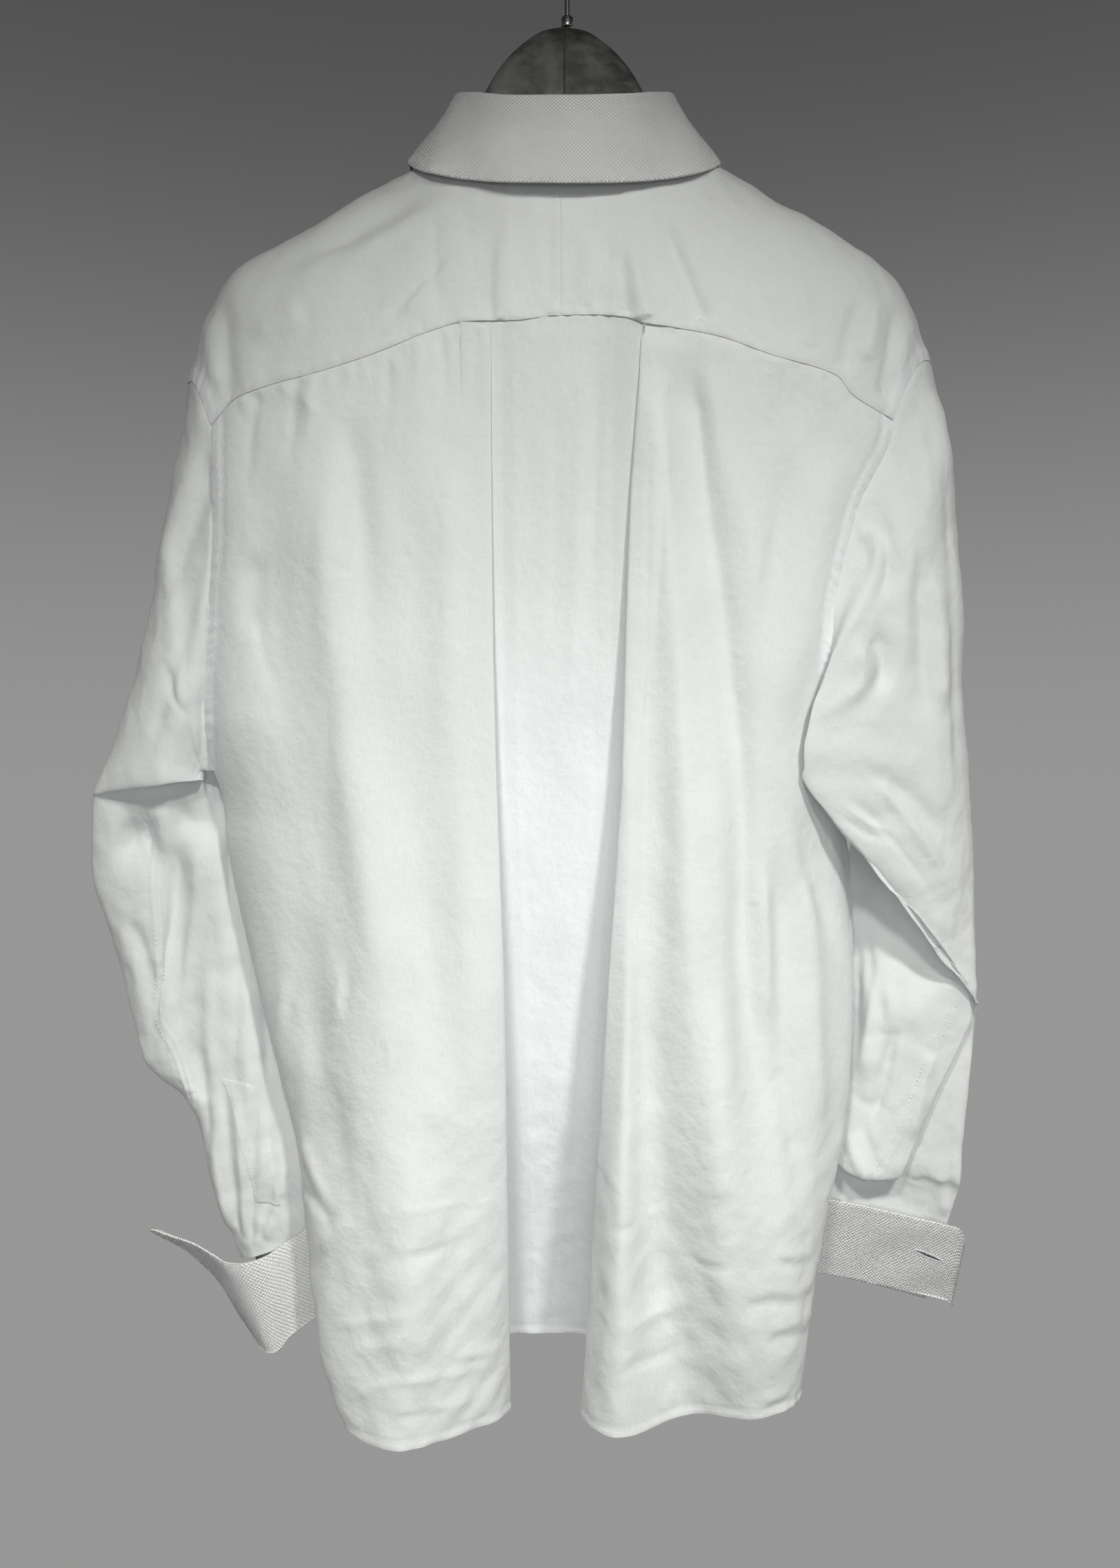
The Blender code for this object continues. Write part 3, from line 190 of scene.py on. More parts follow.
# The two pleats and the recessed centre.
BACK_PLEATS = columns(
    "level fold_left_x fold_left_y lap_left centre_y fold_right_x fold_right_y lap_right",
    (-282, -46, -60, 19, -58.3, 49.5, -59.6, 19),
    (-341, -46, -58.5, 19, -55.6, 45.5, -58.5, 19),
    (-400, -45.6, -57, 19, -52.2, 41.5, -57, 19),
    (-475, -45, -55.5, 20, -45.5, 39, -55.5, 20),
    (-550, -43.5, -53.5, 21, -34, 37, -53, 21),
    (-625, -41, -50, 22, -22, 33, -49.5, 22),
    (-700, -38.7, -44, 23, -6, 28, -44, 23),
    (-780, -37.5, -33, 24, 14, 24, -34, 24),
    (-850, -37, -21, 25, 35, 20, -23, 25),
    (-920, -36.5, -7, 25, 56, 16, -12.5, 26),
    (-995, -36.3, 9, 25, 76, 11, -4, 26),
)
# Back, right panel by level.
BACK_RIGHT = columns(
    "level crest_x crest_y trough_x trough_y bulge_x bulge_y hollow_x hollow_y turn_x turn_y side_x side_y",
    (-282, 60, -59.5, 70, -59, 96, -57, 140, -51.5, 200, -33, 213, -26),
    (-341, 58, -58, 68, -57, 92, -57.5, 122, -51, 196, -38, 212, -28),
    (-400, 55, -57.5, 64, -55.5, 90, -57, 120, -50.5, 176, -41, 187, -34),
    (-475, 52, -56.5, 58, -54.5, 88, -56.5, 124, -51, 160, -42, 172, -35),
    (-530, 47, -55, 53, -52.5, 88, -56, 126, -51, 158, -37, 171, -26),
    (-565, 44, -54, 52, -51, 89, -56, 127, -51, 168, -26, 178, -8),
    (-600, 42, -53, 51.5, -49, 89, -56, 126, -50, 176, -16, 186, 2),
    (-630, 41, -52.2, 51.2, -47.5, 89.5, -56, 124, -49, 180, -12, 191, 8),
    (-660, 40, -51.5, 51, -46, 90, -56, 122, -48, 184, -9, 194, 12),
    (-722, 39, -50, 51, -43, 92, -55, 121, -46, 188, -7, 196, 14),
    (-760, 38, -49, 51.5, -40.5, 94, -54, 122, -44, 188, -7, 190, 12),
    (-804, 37, -47.5, 52, -37, 97, -52, 127, -42, 184, -8, 184, 10),
    (-850, 36, -45.5, 56, -32, 101, -48, 136, -40, 175, -9, 174, 8),
    (-920, 36, -41, 66, -21, 108, -39, 146, -30, 164, -8, 163, 8),
    (-992, 33, -33.5, 84, -8, 124, -23, 142, -18, 155, -5, 156, 8),
)
HEM_BACK = columns(
    "key level",
    (0, -986),
    (1, -992),
    (2, -995),
    (3, -995),
    (4, -995),
    (5, -994),
    (6, -985),
    (7, -976),
    (8, -967),
    (9, -967.5),
    (10, -976),
    (11, -985),
    (12, -993),
    (13, -993.5),
    (14, -994),
    (15, -990),
    (16, -986),
    (17, -983),
    (18, -980),
    (19, -978),
)
TUCKED_UP = 3.0  # how far the pleats' under layers run up behind the yoke

# Fronts by level, from the side seam to the centre front.
FRONT_LEFT = columns(
    "level side_x side_y flank_x flank_y chest_x chest_y centre_y",
    (-180, -150, 36, -120, 44, -90, 45, 60),
    (-260, -200, 34, -160, 46, -100, 52, 68),
    (-341, -238, 27, -200, 44, -120, 58, 70),
    (-400, -238, 26, -206, 45, -125, 61, 71),
    (-475, -238, 24, -208, 45, -125, 64, 72),
    (-530, -237, 18, -206, 42, -124, 66, 74),
    (-565, -232, -4, -203, 34, -122, 67, 75),
    (-600, -218, 10, -196, 20, -120, 68, 76),
    (-660, -205, 10, -184, 14, -112, 69, 78),
    (-708, -193, 8, -172, 12, -104, 70, 79),
    (-752, -183, 6, -162, 11, -98, 72, 80),
    (-804, -170, 4, -150, 9, -92, 74, 82),
    (-849, -164, 2, -143, 8, -88, 76, 84),
    (-884, -158, 0, -138, 6, -86, 77, 85),
    (-924, -152, -2, -133, 6, -84, 78, 86),
    (-957, -144, -4, -128, 8, -82, 79, 87),
    (-995, -128, -6, -118, 14, -80, 80, 87),
)
FRONT_RIGHT = columns(
    "level side_x side_y flank_x flank_y chest_x chest_y centre_y",
    (-180, 150, 36, 120, 44, 90, 45, 57),
    (-260, 196, 34, 156, 46, 100, 52, 65),
    (-341, 231, 27, 194, 44, 118, 58, 67),
    (-400, 222, 24, 192, 44, 120, 61, 68),
    (-475, 210, 18, 186, 42, 120, 64, 69),
    (-530, 196, 8, 178, 36, 118, 66, 71),
    (-565, 178, -8, 172, 26, 117, 67, 72),
    (-600, 186, 2, 186, 14, 116, 68, 73),
    (-630, 191, 8, 193, 16, 115, 68, 74),
    (-660, 194, 12, 191, 18, 112, 68, 75),
    (-722, 196, 14, 180, 20, 108, 70, 77),
    (-760, 190, 12, 170, 16, 104, 72, 78),
    (-804, 184, 10, 162, 13, 100, 73, 79),
    (-850, 174, 8, 152, 10, 96, 75, 81),
    (-920, 163, 8, 142, 10, 90, 77, 83),
    (-992, 156, 8, 136, 14, 86, 79, 84),
)

# Sleeves: one ring of cloth for each row, from the head to the cuff. A ring
# runs from its outer edge over the face seen from the back (a, b, cam) to its
# inner edge and home along the side against the wall.
SLEEVE_LEFT = columns(
    "outer_x outer_y outer_z a_x a_y b_x b_y cam_y lap lap_y lap_z inner_x inner_y inner_z wall_y wall_z sag",
    (-255.5, 5, -345, -252, -14, -247, -21, -26, 0, -20, -566, -239.5, -7, -565.3, 30, -567, 0),
    (-267, 5, -400, -262, -15, -255, -24, -28, 0, -18, -567, -240, -8, -565.6, 33, -569, 0),
    (-280.5, 5, -470, -273, -14, -263, -24, -27, 0, -18, -568, -240, -8.5, -566, 35, -571, 0),
    (-298, 4, -533, -289, -12, -276, -20, -26, 0, -19, -568, -240, -9, -567, 36, -573, 0),
    (-313, 1, -580, -300, -9, -284, -17, -24, 0, -19, -568, -239, -10, -572, 36, -576, 0),
    (-314.5, 3, -584, -300, -3, -284, -8, -10, 0, -4, -552, -243, 4, -556, 38, -582, 0),
    (-317, 8, -602, -292, -3, -270, -3, -2, 0, 8, -592, -221, 23, -597, 42, -604, 0),
    (-318.5, 12, -635, -278, 1, -262, 6, 2, 0, 14, -630, -209, 28, -632, 45, -634, 0),
    (-306, 15, -681, -272, 1, -257, 9, 2, 0, 14, -682, -197, 26, -682, 48, -684, 0),
    (-291.5, 16, -735, -268, 3, -254, 8, 2, 0, 13, -740, -181, 26, -740, 50, -741, 0),
    (-283, 17, -764, -262, 6, -250, 8, 3, 0, 13, -778, -171, 26, -778, 50, -778, 0),
    (-254, 21, -792, -248, 11, -238, 6, 4, 0, 13, -806, -164, 26, -806, 50, -806, 0),
    (-244, 22, -825, -239, 12, -230, 8, 5, 0, 14, -842, -158, 26, -842, 50, -842, 0),
    (-238, 24, -858, -233, 14, -224, 11, 10, 0, 17, -862, -156, 28, -862, 48, -862, 0),
    (-222, 28, -899, -216, 19, -209, 14.5, 14, 0, 21, -874, -160, 33, -876, 45, -876, 0),
)
SLEEVE_RIGHT = columns(
    "outer_x outer_y outer_z a_x a_y b_x b_y cam_y lap lap_y lap_z inner_x inner_y inner_z wall_y wall_z sag",
    (253.5, 5, -330, 250, -14, 238, -27, -41, 16, -48, -498, 184, -4, -567, 30, -567, 0),
    (262, 5, -400, 256, -15, 240, -30, -44, 30, -50, -526, 187, -2, -570, 33, -570, 0),
    (267.5, 5, -500, 260, -14, 242, -29, -42, 38, -50, -549, 190, -1, -573, 35, -573, 0),
    (272, 4, -610, 262, -12, 244, -25, -37, 42, -48, -564, 193, 0, -576, 36, -578, 0),
    (276, 1, -720, 262, -8, 240, -18, -32, 46, -44, -569, 197, 2, -580, 36, -590, 0),
    (276.5, 4, -724, 272, 2, 266, -1, -8, 0, -1, -585, 200, 13, -590, 38, -606, 0),
    (276.8, 8, -732, 273, 6.5, 273.5, 3, 1, 0, 12, -636, 192, 27, -636, 42, -642, 0),
    (276.5, 12, -752, 260, 12.5, 267, 4, 3, 0, 16, -700, 191, 29, -700, 45, -700, 0),
    (272.5, 14, -792, 229, 17, 250, 5, 4, 0, 17, -752, 186, 29, -752, 46, -752, 0),
    (270, 15, -822, 218, 18, 237, 6, 4, 0, 18, -796, 179, 29, -796, 47, -796, 0),
    (269, 16, -845, 212, 19, 225, 8, 5, 0, 19, -822, 170, 29, -822, 47, -822, 1),
    (268.5, 20, -852, 214, 22, 222, 19.5, 18.5, 0, 22.5, -826, 166, 30, -826, 44, -830, 0),
    (263, 26, -876, 240, 23.5, 215, 22.5, 22.5, 0, 25, -860, 161, 31, -860, 39, -860, 0),
)
SAG_DEEP = 9.0  # how far the right sleeve's fold hangs over its own cloth

# Cuffs: top rim from the free end, round the front, to the other end, with
# the direction in which the cuff's depth runs.
CUFF_LEFT = columns(
    "x y z lean_x lean_y lean_z",
    (-294, 47, -885, 0.13, 0.87, -0.475),
    (-276, 38, -888, 0.18, 0.80, -0.57),
    (-256, 29, -891, 0.24, 0.60, -0.76),
    (-241, 20, -895, 0.30, 0.34, -0.89),
    (-230, 13, -898, 0.34, 0.12, -0.93),
    (-218, 8, -897, 0.28, 0.02, -0.96),
    (-202, 6, -892, 0.16, 0.0, -0.985),
    (-186, 8, -882, 0.04, 0.02, -0.998),
    (-168, 13, -872, 0.04, 0.08, -0.995),
    (-154, 22, -866, 0.10, 0.12, -0.985),
    (-147, 35, -865, 0.12, 0.06, -0.99),
    (-154, 48, -870, 0.12, 0.0, -0.99),
    (-172, 55, -880, 0.14, -0.03, -0.99),
    (-196, 57, -890, 0.17, -0.05, -0.985),
    (-220, 56, -898, 0.20, -0.06, -0.978),
)
CUFF_RIGHT = columns(
    "x y z lean_x lean_y lean_z",
    (274, 18, -882, -0.05, 0.40, -0.91),
    (271, 17, -878, -0.04, 0.40, -0.91),
    (256, 15, -873, -0.03, 0.40, -0.91),
    (238, 14, -869, -0.03, 0.40, -0.91),
    (218, 14, -864, -0.04, 0.40, -0.91),
    (199, 14, -860, -0.04, 0.40, -0.91),
    (182, 15, -857, -0.04, 0.40, -0.91),
    (164, 18, -854, -0.04, 0.40, -0.91),
    (150, 26, -851, -0.04, 0.34, -0.93),
    (147, 36, -850, -0.04, 0.26, -0.96),
    (154, 45, -852, -0.04, 0.20, -0.98),
    (180, 47, -857, -0.04, 0.20, -0.98),
    (220, 46, -865, -0.04, 0.20, -0.98),
    (258, 44, -875, -0.03, 0.20, -0.98),
)

HANGER = columns(
    "x top bottom half_deep",
    (0, -70, -160, 13),
    (13, -72.5, -161, 13),
    (27, -81, -163, 13),
    (42, -96.5, -166, 13),
    (53, -115, -170, 12.5),
    (62, -137, -176, 12),
    (70, -157, -184, 12),
    (84, -166, -194, 15),
    (105, -172, -205, 19),
    (150, -200, -229, 22),
    (190, -225, -251, 20),
    (206, -237, -258, 16),
    (212, -243, -253, 9),
)


# ---------------------------------------------------------------- geometry
def smooth(xs, ys, at):
    """Shape-keeping cubic through (xs, ys), held at its ends."""
    xs, ys, at = np.asarray(xs, float), np.asarray(ys, float), np.asarray(at, float)
    if xs[0] > xs[-1]:
        xs, ys = xs[::-1], ys[::-1]
    step = np.diff(xs)
    slope = np.diff(ys) / step
    tangent = np.zeros_like(ys)
    tangent[0], tangent[-1] = slope[0], slope[-1]
    for k in range(1, len(xs) - 1):
        if slope[k - 1] * slope[k] > 0:
            w1, w2 = 2 * step[k] + step[k - 1], step[k] + 2 * step[k - 1]
            tangent[k] = (w1 + w2) / (w1 / slope[k - 1] + w2 / slope[k])
    at = np.clip(at, xs[0], xs[-1])
    k = np.clip(np.searchsorted(xs, at, side="right") - 1, 0, len(step) - 1)
    t = (at - xs[k]) / step[k]
    return (
        (2 * t**3 - 3 * t**2 + 1) * ys[k]
        + (t**3 - 2 * t**2 + t) * step[k] * tangent[k]
        + (-2 * t**3 + 3 * t**2) * ys[k + 1]
        + (t**3 - t**2) * step[k] * tangent[k + 1]
    )


def between(p0, p1, p2, p3, f):
    """Centripetal Catmull-Rom point a fraction f of the way from p1 to p2."""

    def knot(a, b):
        return np.maximum(np.linalg.norm(b - a, axis=-1, keepdims=True), 1e-6) ** 0.5

    t1 = knot(p0, p1)
    t2 = t1 + knot(p1, p2)
    t3 = t2 + knot(p2, p3)
    t = t1 + f * (t2 - t1)
    a1 = (t1 - t) / t1 * p0 + t / t1 * p1
    a2 = (t2 - t) / (t2 - t1) * p1 + (t - t1) / (t2 - t1) * p2
    a3 = (t3 - t) / (t3 - t2) * p2 + (t - t2) / (t3 - t2) * p3
    b1 = (t2 - t) / t2 * a1 + t / t2 * a2
    b2 = (t3 - t) / (t3 - t1) * a2 + (t - t1) / (t3 - t1) * a3
    return (t2 - t) / (t2 - t1) * b1 + (t - t1) / (t2 - t1) * b2


def thread(keys, counts, closed=False):
    """Points along a curve through keys (first axis), counts[k] steps after key k."""
    keys = [np.asarray(k, float) for k in keys]
    n = len(keys)
    if closed:
        ring = [keys[-1], *keys, keys[0], keys[1]]
    else:
        ring = [2 * keys[0] - keys[1], *keys, 2 * keys[-1] - keys[-2]]
    out = []
    for k in range(n if closed else n - 1):
        for i in range(counts[k]):
            out.append(between(ring[k], ring[k + 1], ring[k + 2], ring[k + 3], i / counts[k]))
    if not closed:
        out.append(keys[-1])
    return np.array(out)


def mix(a, b, t):
    return a + (b - a) * t


def unit(v):
    return v / np.maximum(np.linalg.norm(v, axis=-1, keepdims=True), 1e-9)


def normals(grid, round_columns=False):
    """Unit normals of a grid[rows, columns, 3]: across columns x down rows."""
    if round_columns:
        across = np.roll(grid, -1, 1) - np.roll(grid, 1, 1)
    else:
        across = np.gradient(grid, axis=1)
    down = unit(np.diff(grid, axis=0))
    down = np.concatenate([down[:1], down[:-1] + down[1:], down[-1:]])
    return unit(np.cross(across, down))



def pull_edges(grid, top=0.0, bottom=0.0, first=0.0, last=0.0):
    """Draws a grid's edges back into its own surface by these lengths."""
    grid = grid.copy()
    grid[0] += unit(grid[1] - grid[0]) * top
    grid[-1] += unit(grid[-2] - grid[-1]) * bottom
    grid[:, 0] += unit(grid[:, 1] - grid[:, 0]) * first
    grid[:, -1] += unit(grid[:, -2] - grid[:, -1]) * last
    return grid


# ---------------------------------------------------------------- yokes
def yoke_seam(x):
    """Back yoke seam at these x, as points."""
    return np.stack([x, smooth(YOKE_SEAM["x"], YOKE_SEAM["y"], x), smooth(YOKE_SEAM["x"], YOKE_SEAM["z"], x)], -1)


def ride_over(shoulder, station, turn):
    """Point of the shoulder at a station, turn -90 (back seam) over 0 (ridge) to 90."""
    station, turn = np.broadcast_arrays(np.asarray(station, float), np.asarray(turn, float))

    def read(name):
        return smooth(shoulder["station"], shoulder[name], station)

    ridge = np.stack([read("ridge_x"), read("ridge_y"), read("ridge_z")], -1)
    back = yoke_seam(read("back_x"))
    front = np.stack([read("front_x"), read("front_y"), read("front_z")], -1)
    far = np.where((turn < 0)[..., None], back, front)
    angle = np.radians(np.minimum(np.abs(turn), 90.0))
    power = 2 / smooth([0, 60, 110, 160, 260], [2.0, 1.95, 1.9, 2.5, 2.6], station)
    out = (np.sin(angle) ** power)[..., None]
    down = (1 - np.maximum(np.cos(angle), 0) ** power)[..., None]
    lean = (0.5 * (out + down)) * np.array([1.0, 0, 0])
    weight = lean + out * np.array([0, 1.0, 0]) + down * np.array([0, 0, 1.0])
    return ridge + (far - ridge) * weight


def neck_point(angle, side, table=NECK):
    """Point of a collar curve; side is -1 left, +1 right."""
    angle = np.asarray(angle, float)
    x = smooth(table["angle"], table["x"], angle) * side
    x = x + CENTRE_X * np.exp(-((angle / 40.0) ** 2)) * (1 if table is NECK else 0.4)
    return np.stack([x, smooth(table["angle"], table["y"], angle), smooth(table["angle"], table["z"], angle)], -1)


def yoke_grid(shoulder, side, seam_x, arm_steps, rows):
    """Rows from the neck to the outer edge, columns from the centre back round to
    the front yoke seam. seam_x are the columns along the back seam."""
    end = shoulder["station"][-1]
    at_x = np.abs(shoulder["back_x"])
    seam_station = np.interp(np.abs(seam_x), at_x, shoulder["station"])
    turns = np.linspace(-90, 90, 2 * arm_steps + 1)[1:]
    station = np.concatenate([seam_station, np.full(len(turns), end)])
    turn = np.concatenate([np.full(len(seam_x), -90.0), turns])
    outer = np.concatenate([yoke_seam(np.asarray(seam_x, float)), ride_over(shoulder, end, turns)])
    share = np.linspace(0, 1, len(station)) ** 0.9
    angle = share * FRONT_YOKE_AT
    inner = neck_point(angle, side)
    in_station = smooth([0, 50, 75, 90, 120], [8, 62, 75, 76, 75], angle)
    in_turn = smooth([0, 25, 50, 75, 90, 120], [-42, -38, -24, -5, 12, 88], angle)
    grid = []
    for k in range(rows + 1):
        r = k / rows
        p = ride_over(shoulder, mix(in_station, station, r), mix(in_turn, turn, r))
        p = p + (inner - ride_over(shoulder, in_station, in_turn)) * (1 - r) ** 2
        p = p + (outer - ride_over(shoulder, station, turn)) * r**2
        if k == 0:
            p = inner
        if k == rows:
            p = outer
        grid.append(p)
    return np.array(grid)


def meet_at_centre(left, right):
    """Brings the yokes' first columns onto one seam line down the centre back."""
    seam = (left[:, 0] + right[:, 0]) / 2
    seam[:, 0] = CENTRE_X
    for grid in (left, right):
        shift = seam - grid[:, 0]
        for c in range(grid.shape[1]):
            grid[:, c] += shift * math.exp(-c / 1.5)


# ---------------------------------------------------------------- back
BACK_KEYS = 20


def back_keys(level):
    """Key points (x, y) across the back at these levels, left side to right side."""
    level = np.asarray(level, float)

    def read(table, name):
        return smooth(table["level"], table[name], level)

    def at(table, name):
        return np.stack([read(table, name + "_x"), read(table, name + "_y")], -1)

    centre = read(BACK_PLEATS, "centre_y")
    keys = [at(BACK_LEFT, name) for name in ("side", "turn", "crest", "near")]
    for side, sign in (("left", 1.0), ("right", -1.0)):
        fx, fy = read(BACK_PLEATS, f"fold_{side}_x"), read(BACK_PLEATS, f"fold_{side}_y")
        lap = read(BACK_PLEATS, f"lap_{side}") * sign
        room = np.maximum(centre - fy - FOLD - TUCK, 0.0)
        pleat = [
            np.stack([fx, fy], -1),
            np.stack([fx, fy + FOLD], -1),
            np.stack([fx - lap, fy + FOLD + 0.55 * room], -1),
            np.stack([fx - lap, fy + FOLD + TUCK + 0.85 * room], -1),
            np.stack([fx + sign * 4.0, np.maximum(centre, fy + FOLD + TUCK)], -1),
        ]
        keys += pleat if side == "left" else pleat[::-1]
    keys += [at(BACK_RIGHT, name) for name in ("crest", "trough", "bulge", "hollow", "turn", "side")]
    return keys


def back_grid(counts, arm_rows, body_rows, tuck=TUCKED_UP):
    """Rows from the yoke seam to the hem, columns from the left side to the right."""
    n = BACK_KEYS
    top_keys = back_keys(-295.0)
    top_x = [float(k[0]) for k in top_keys]
    columns_at = [(k, i / counts[k]) for k in range(n - 1) for i in range(counts[k])] + [(n - 2, 1.0)]
    grid = []
    for k, f in columns_at:
        at = k + f
        x = mix(top_x[k], top_x[k + 1], f)
        seam = yoke_seam(np.array([x]))[0]
        hidden = np.interp(at, [4, 5, 12, 13], [0, 1, 1, 0])
        top = seam[2] + tuck * hidden
        hem = smooth(HEM_BACK["key"], HEM_BACK["level"], at)
        share = np.concatenate([np.linspace(0, 1, arm_rows + 1), 1 + np.linspace(0, 1, body_rows + 1)[1:]])
        level = np.where(share <= 1, mix(top, ARMPIT, share), mix(ARMPIT, hem, share - 1))
        keys = back_keys(level)
        pad = [2 * keys[0] - keys[1], *keys, 2 * keys[-1] - keys[-2]]
        flat = between(pad[k], pad[k + 1], pad[k + 2], pad[k + 3], f)
        # at the top the outer panels meet the yoke seam exactly
        fade = np.clip(1 - (top - level) / 60.0, 0, 1) ** 2
        offset = seam[:2] - flat[0]
        if hidden > 0:
            offset = offset * 0.0
        flat = flat + fade[:, None] * offset
        grid.append(np.concatenate([flat, level[:, None]], -1))
    return np.array(grid).transpose(1, 0, 2)


# ---------------------------------------------------------------- fronts
def front_grid(table, shoulder, side, counts, arm_rows, body_rows, edge_x):
    """Rows from the front yoke seam and neck to the hem, columns from the side seam
    to the centre edge. counts: side-flank, flank-chest, chest-placket, placket-edge."""
    end = shoulder["station"][-1]
    total = sum(counts)
    share = np.linspace(0, 1, total + 1)
    # the top edge: along the yoke seam to the neck, then down the neck seam
    seam_share = (counts[0] + counts[1]) / total
    stations = mix(end, 75.0, np.clip(share / seam_share, 0, 1))
    ahead = np.clip(share / seam_share, 0, 1)
    on_seam = ride_over(shoulder, stations, mix(90.0, 88.0, ahead))
    neck_to = 176.0
    reach = np.clip((share - seam_share) / (1 - seam_share), 0, 1)
    on_neck = neck_point(mix(FRONT_YOKE_AT, neck_to, reach**0.8), side)
    behind = OVERLAP * (side > 0) * np.minimum(1, 1.4 * reach)
    on_neck = on_neck - np.stack([0 * reach, behind, 1.6 * reach + 4.0 * reach**3], -1)
    join = neck_point(np.array([FRONT_YOKE_AT]), side)[0]
    on_seam = on_seam + (ahead**2)[:, None] * (join - ride_over(shoulder, 75.0, 88.0))
    top = np.where((share <= seam_share)[:, None], on_seam, on_neck)
    top[-1, 0] = edge_x
    slots = [(k, i / counts[k]) for k in range(4) for i in range(counts[k])] + [(3, 1.0)]
    inner_x = -edge_x
    grid = []
    for j, (k, f) in enumerate(slots):
        at = j / total
        hem = smooth([0, 0.12, 0.45, 0.8, 1], [-986 if side < 0 else -978, -985, -980, -968, -965], at)
        rows = np.concatenate([np.linspace(0, 1, arm_rows + 1), 1 + np.linspace(0, 1, body_rows + 1)[1:]])
        level = np.where(rows <= 1, mix(top[j, 2], ARMPIT, rows), mix(ARMPIT, hem, rows - 1))

        def read(name):
            return smooth(table["level"], table[name], level)

        keys = [
            np.stack([read("side_x"), read("side_y")], -1),
            np.stack([read("flank_x"), read("flank_y")], -1),
            np.stack([read("chest_x"), read("chest_y")], -1),
            np.stack([np.full_like(level, inner_x), read("centre_y") - 0.3], -1),
            np.stack([np.full_like(level, edge_x), read("centre_y")], -1),
        ]
        pad = [2 * keys[0] - keys[1], *keys, 2 * keys[-1] - keys[-2]]
        flat = between(pad[k], pad[k + 1], pad[k + 2], pad[k + 3], f)
        fade = np.clip(1 - (top[j, 2] - level) / 110.0, 0, 1) ** 2
        flat = flat + fade[:, None] * (top[j, :2] - flat[0])
        grid.append(np.concatenate([flat, level[:, None]], -1))
    return np.array(grid).transpose(1, 0, 2)


# ---------------------------------------------------------------- sleeves
def sleeve_keys(table, row):
    """Ten key points round one ring: outer edge, a, b, middle, lap, under lap,
    inner edge, three on the wall side."""
    get = {name: values[row] for name, values in table.items()}
    sign = 1.0 if get["outer_x"] > 0 else -1.0
    outer = np.array([get["outer_x"], get["outer_y"], get["outer_z"]])
    inner = np.array([get["inner_x"], get["inner_y"], get["inner_z"]])
    reach_x = inner[0] - sign * get["lap"]  # far point of the lap over the body
    drop = get["sag"] * SAG_DEEP

    def on_line(x, y, sag=0.0):
        end_z = get["lap_z"] if get["lap"] > 0 else inner[2]
        t = (x - outer[0]) / (reach_x - outer[0])
        t = min(max(t, 0.0), 1.0)
        return np.array([x, y, mix(outer[2], end_z, t) - sag])

    mid_x = mix(get["b_x"], reach_x, 0.5)
    keys = [
        outer,
        on_line(get["a_x"], get["a_y"]),
        on_line(get["b_x"], get["b_y"], drop * 0.6),
        on_line(mid_x, get["cam_y"], drop),
    ]
    if get["lap"] > 0:
        keys += [
            np.array([reach_x, get["lap_y"] + 2.0, get["lap_z"]]),
            np.array([inner[0] - sign * get["lap"] * 0.4, get["lap_y"] + 18.0, mix(get["lap_z"], inner[2], 0.45)]),
        ]
    else:
        keys += [
            on_line(mix(mid_x, inner[0], 0.5), mix(get["cam_y"], get["lap_y"], 0.6), drop * 0.6),
            on_line(mix(mid_x, inner[0], 0.85), mix(get["lap_y"], inner[1], 0.4), 0.0),
        ]
    keys.append(inner)
    for t in (0.18, 0.5, 0.84):
        p = mix(inner, outer, t)
        p[2] = mix(get["wall_z"], outer[2], t)
        p[0] += sign * 12.0 * (1 - t)
        p[1] = mix(mix(inner[1], outer[1], t), get["wall_y"], {0.18: 0.8, 0.5: 1.0, 0.84: 0.72}[t])
        keys.append(p)
    return keys


def sleeve_grid(table, armhole, counts, steps):
    """Rows from the armhole to the cuff, columns round the ring. armhole is the
    ring of points that the body's armhole gives, in the same order."""
    rings = [thread(sleeve_keys(table, row), counts, closed=True) for row in range(len(table["outer_x"]))]
    rings = [armhole, *rings]
    if steps == 1:
        return np.array(rings)
    return thread(rings, [steps] * (len(rings) - 1))


def armhole_ring(shoulder, back_side, front_side, side_steps, yoke_steps):
    """The armhole as a closed ring: shoulder point, down the back to the armpit, up
    the front. back_side and front_side are the panels' own edges, top to armpit."""
    end = shoulder["station"][-1]
    over_back = ride_over(shoulder, end, np.linspace(0, -90, yoke_steps + 1))
    over_front = ride_over(shoulder, end, np.linspace(90, 0, yoke_steps + 1))
    return np.concatenate([over_back[:-1], back_side[:-1], front_side[::-1][:-1], over_front[:-1]])

# ---------------------------------------------------------------- drawing tools
PLY = 0.55  # wall of the visible shirting


def ease(t):
    t = np.clip(t, 0.0, 1.0)
    return t * t * (3 - 2 * t)


def photo(points):
    """Where points fall in the photograph's 1624 x 2274 frame."""
    s = (920.0 + points[..., 1]) / 2000.0
    return np.stack([812.0 + (points[..., 0] + 2.8) / s, 1137.0 - (points[..., 2] + 574.0) / s], -1)


def flat_front(points):
    """The same kind of plane for the hidden side: x and depth below the hook, in mm."""
    return np.stack([points[..., 0], -points[..., 2]], -1)


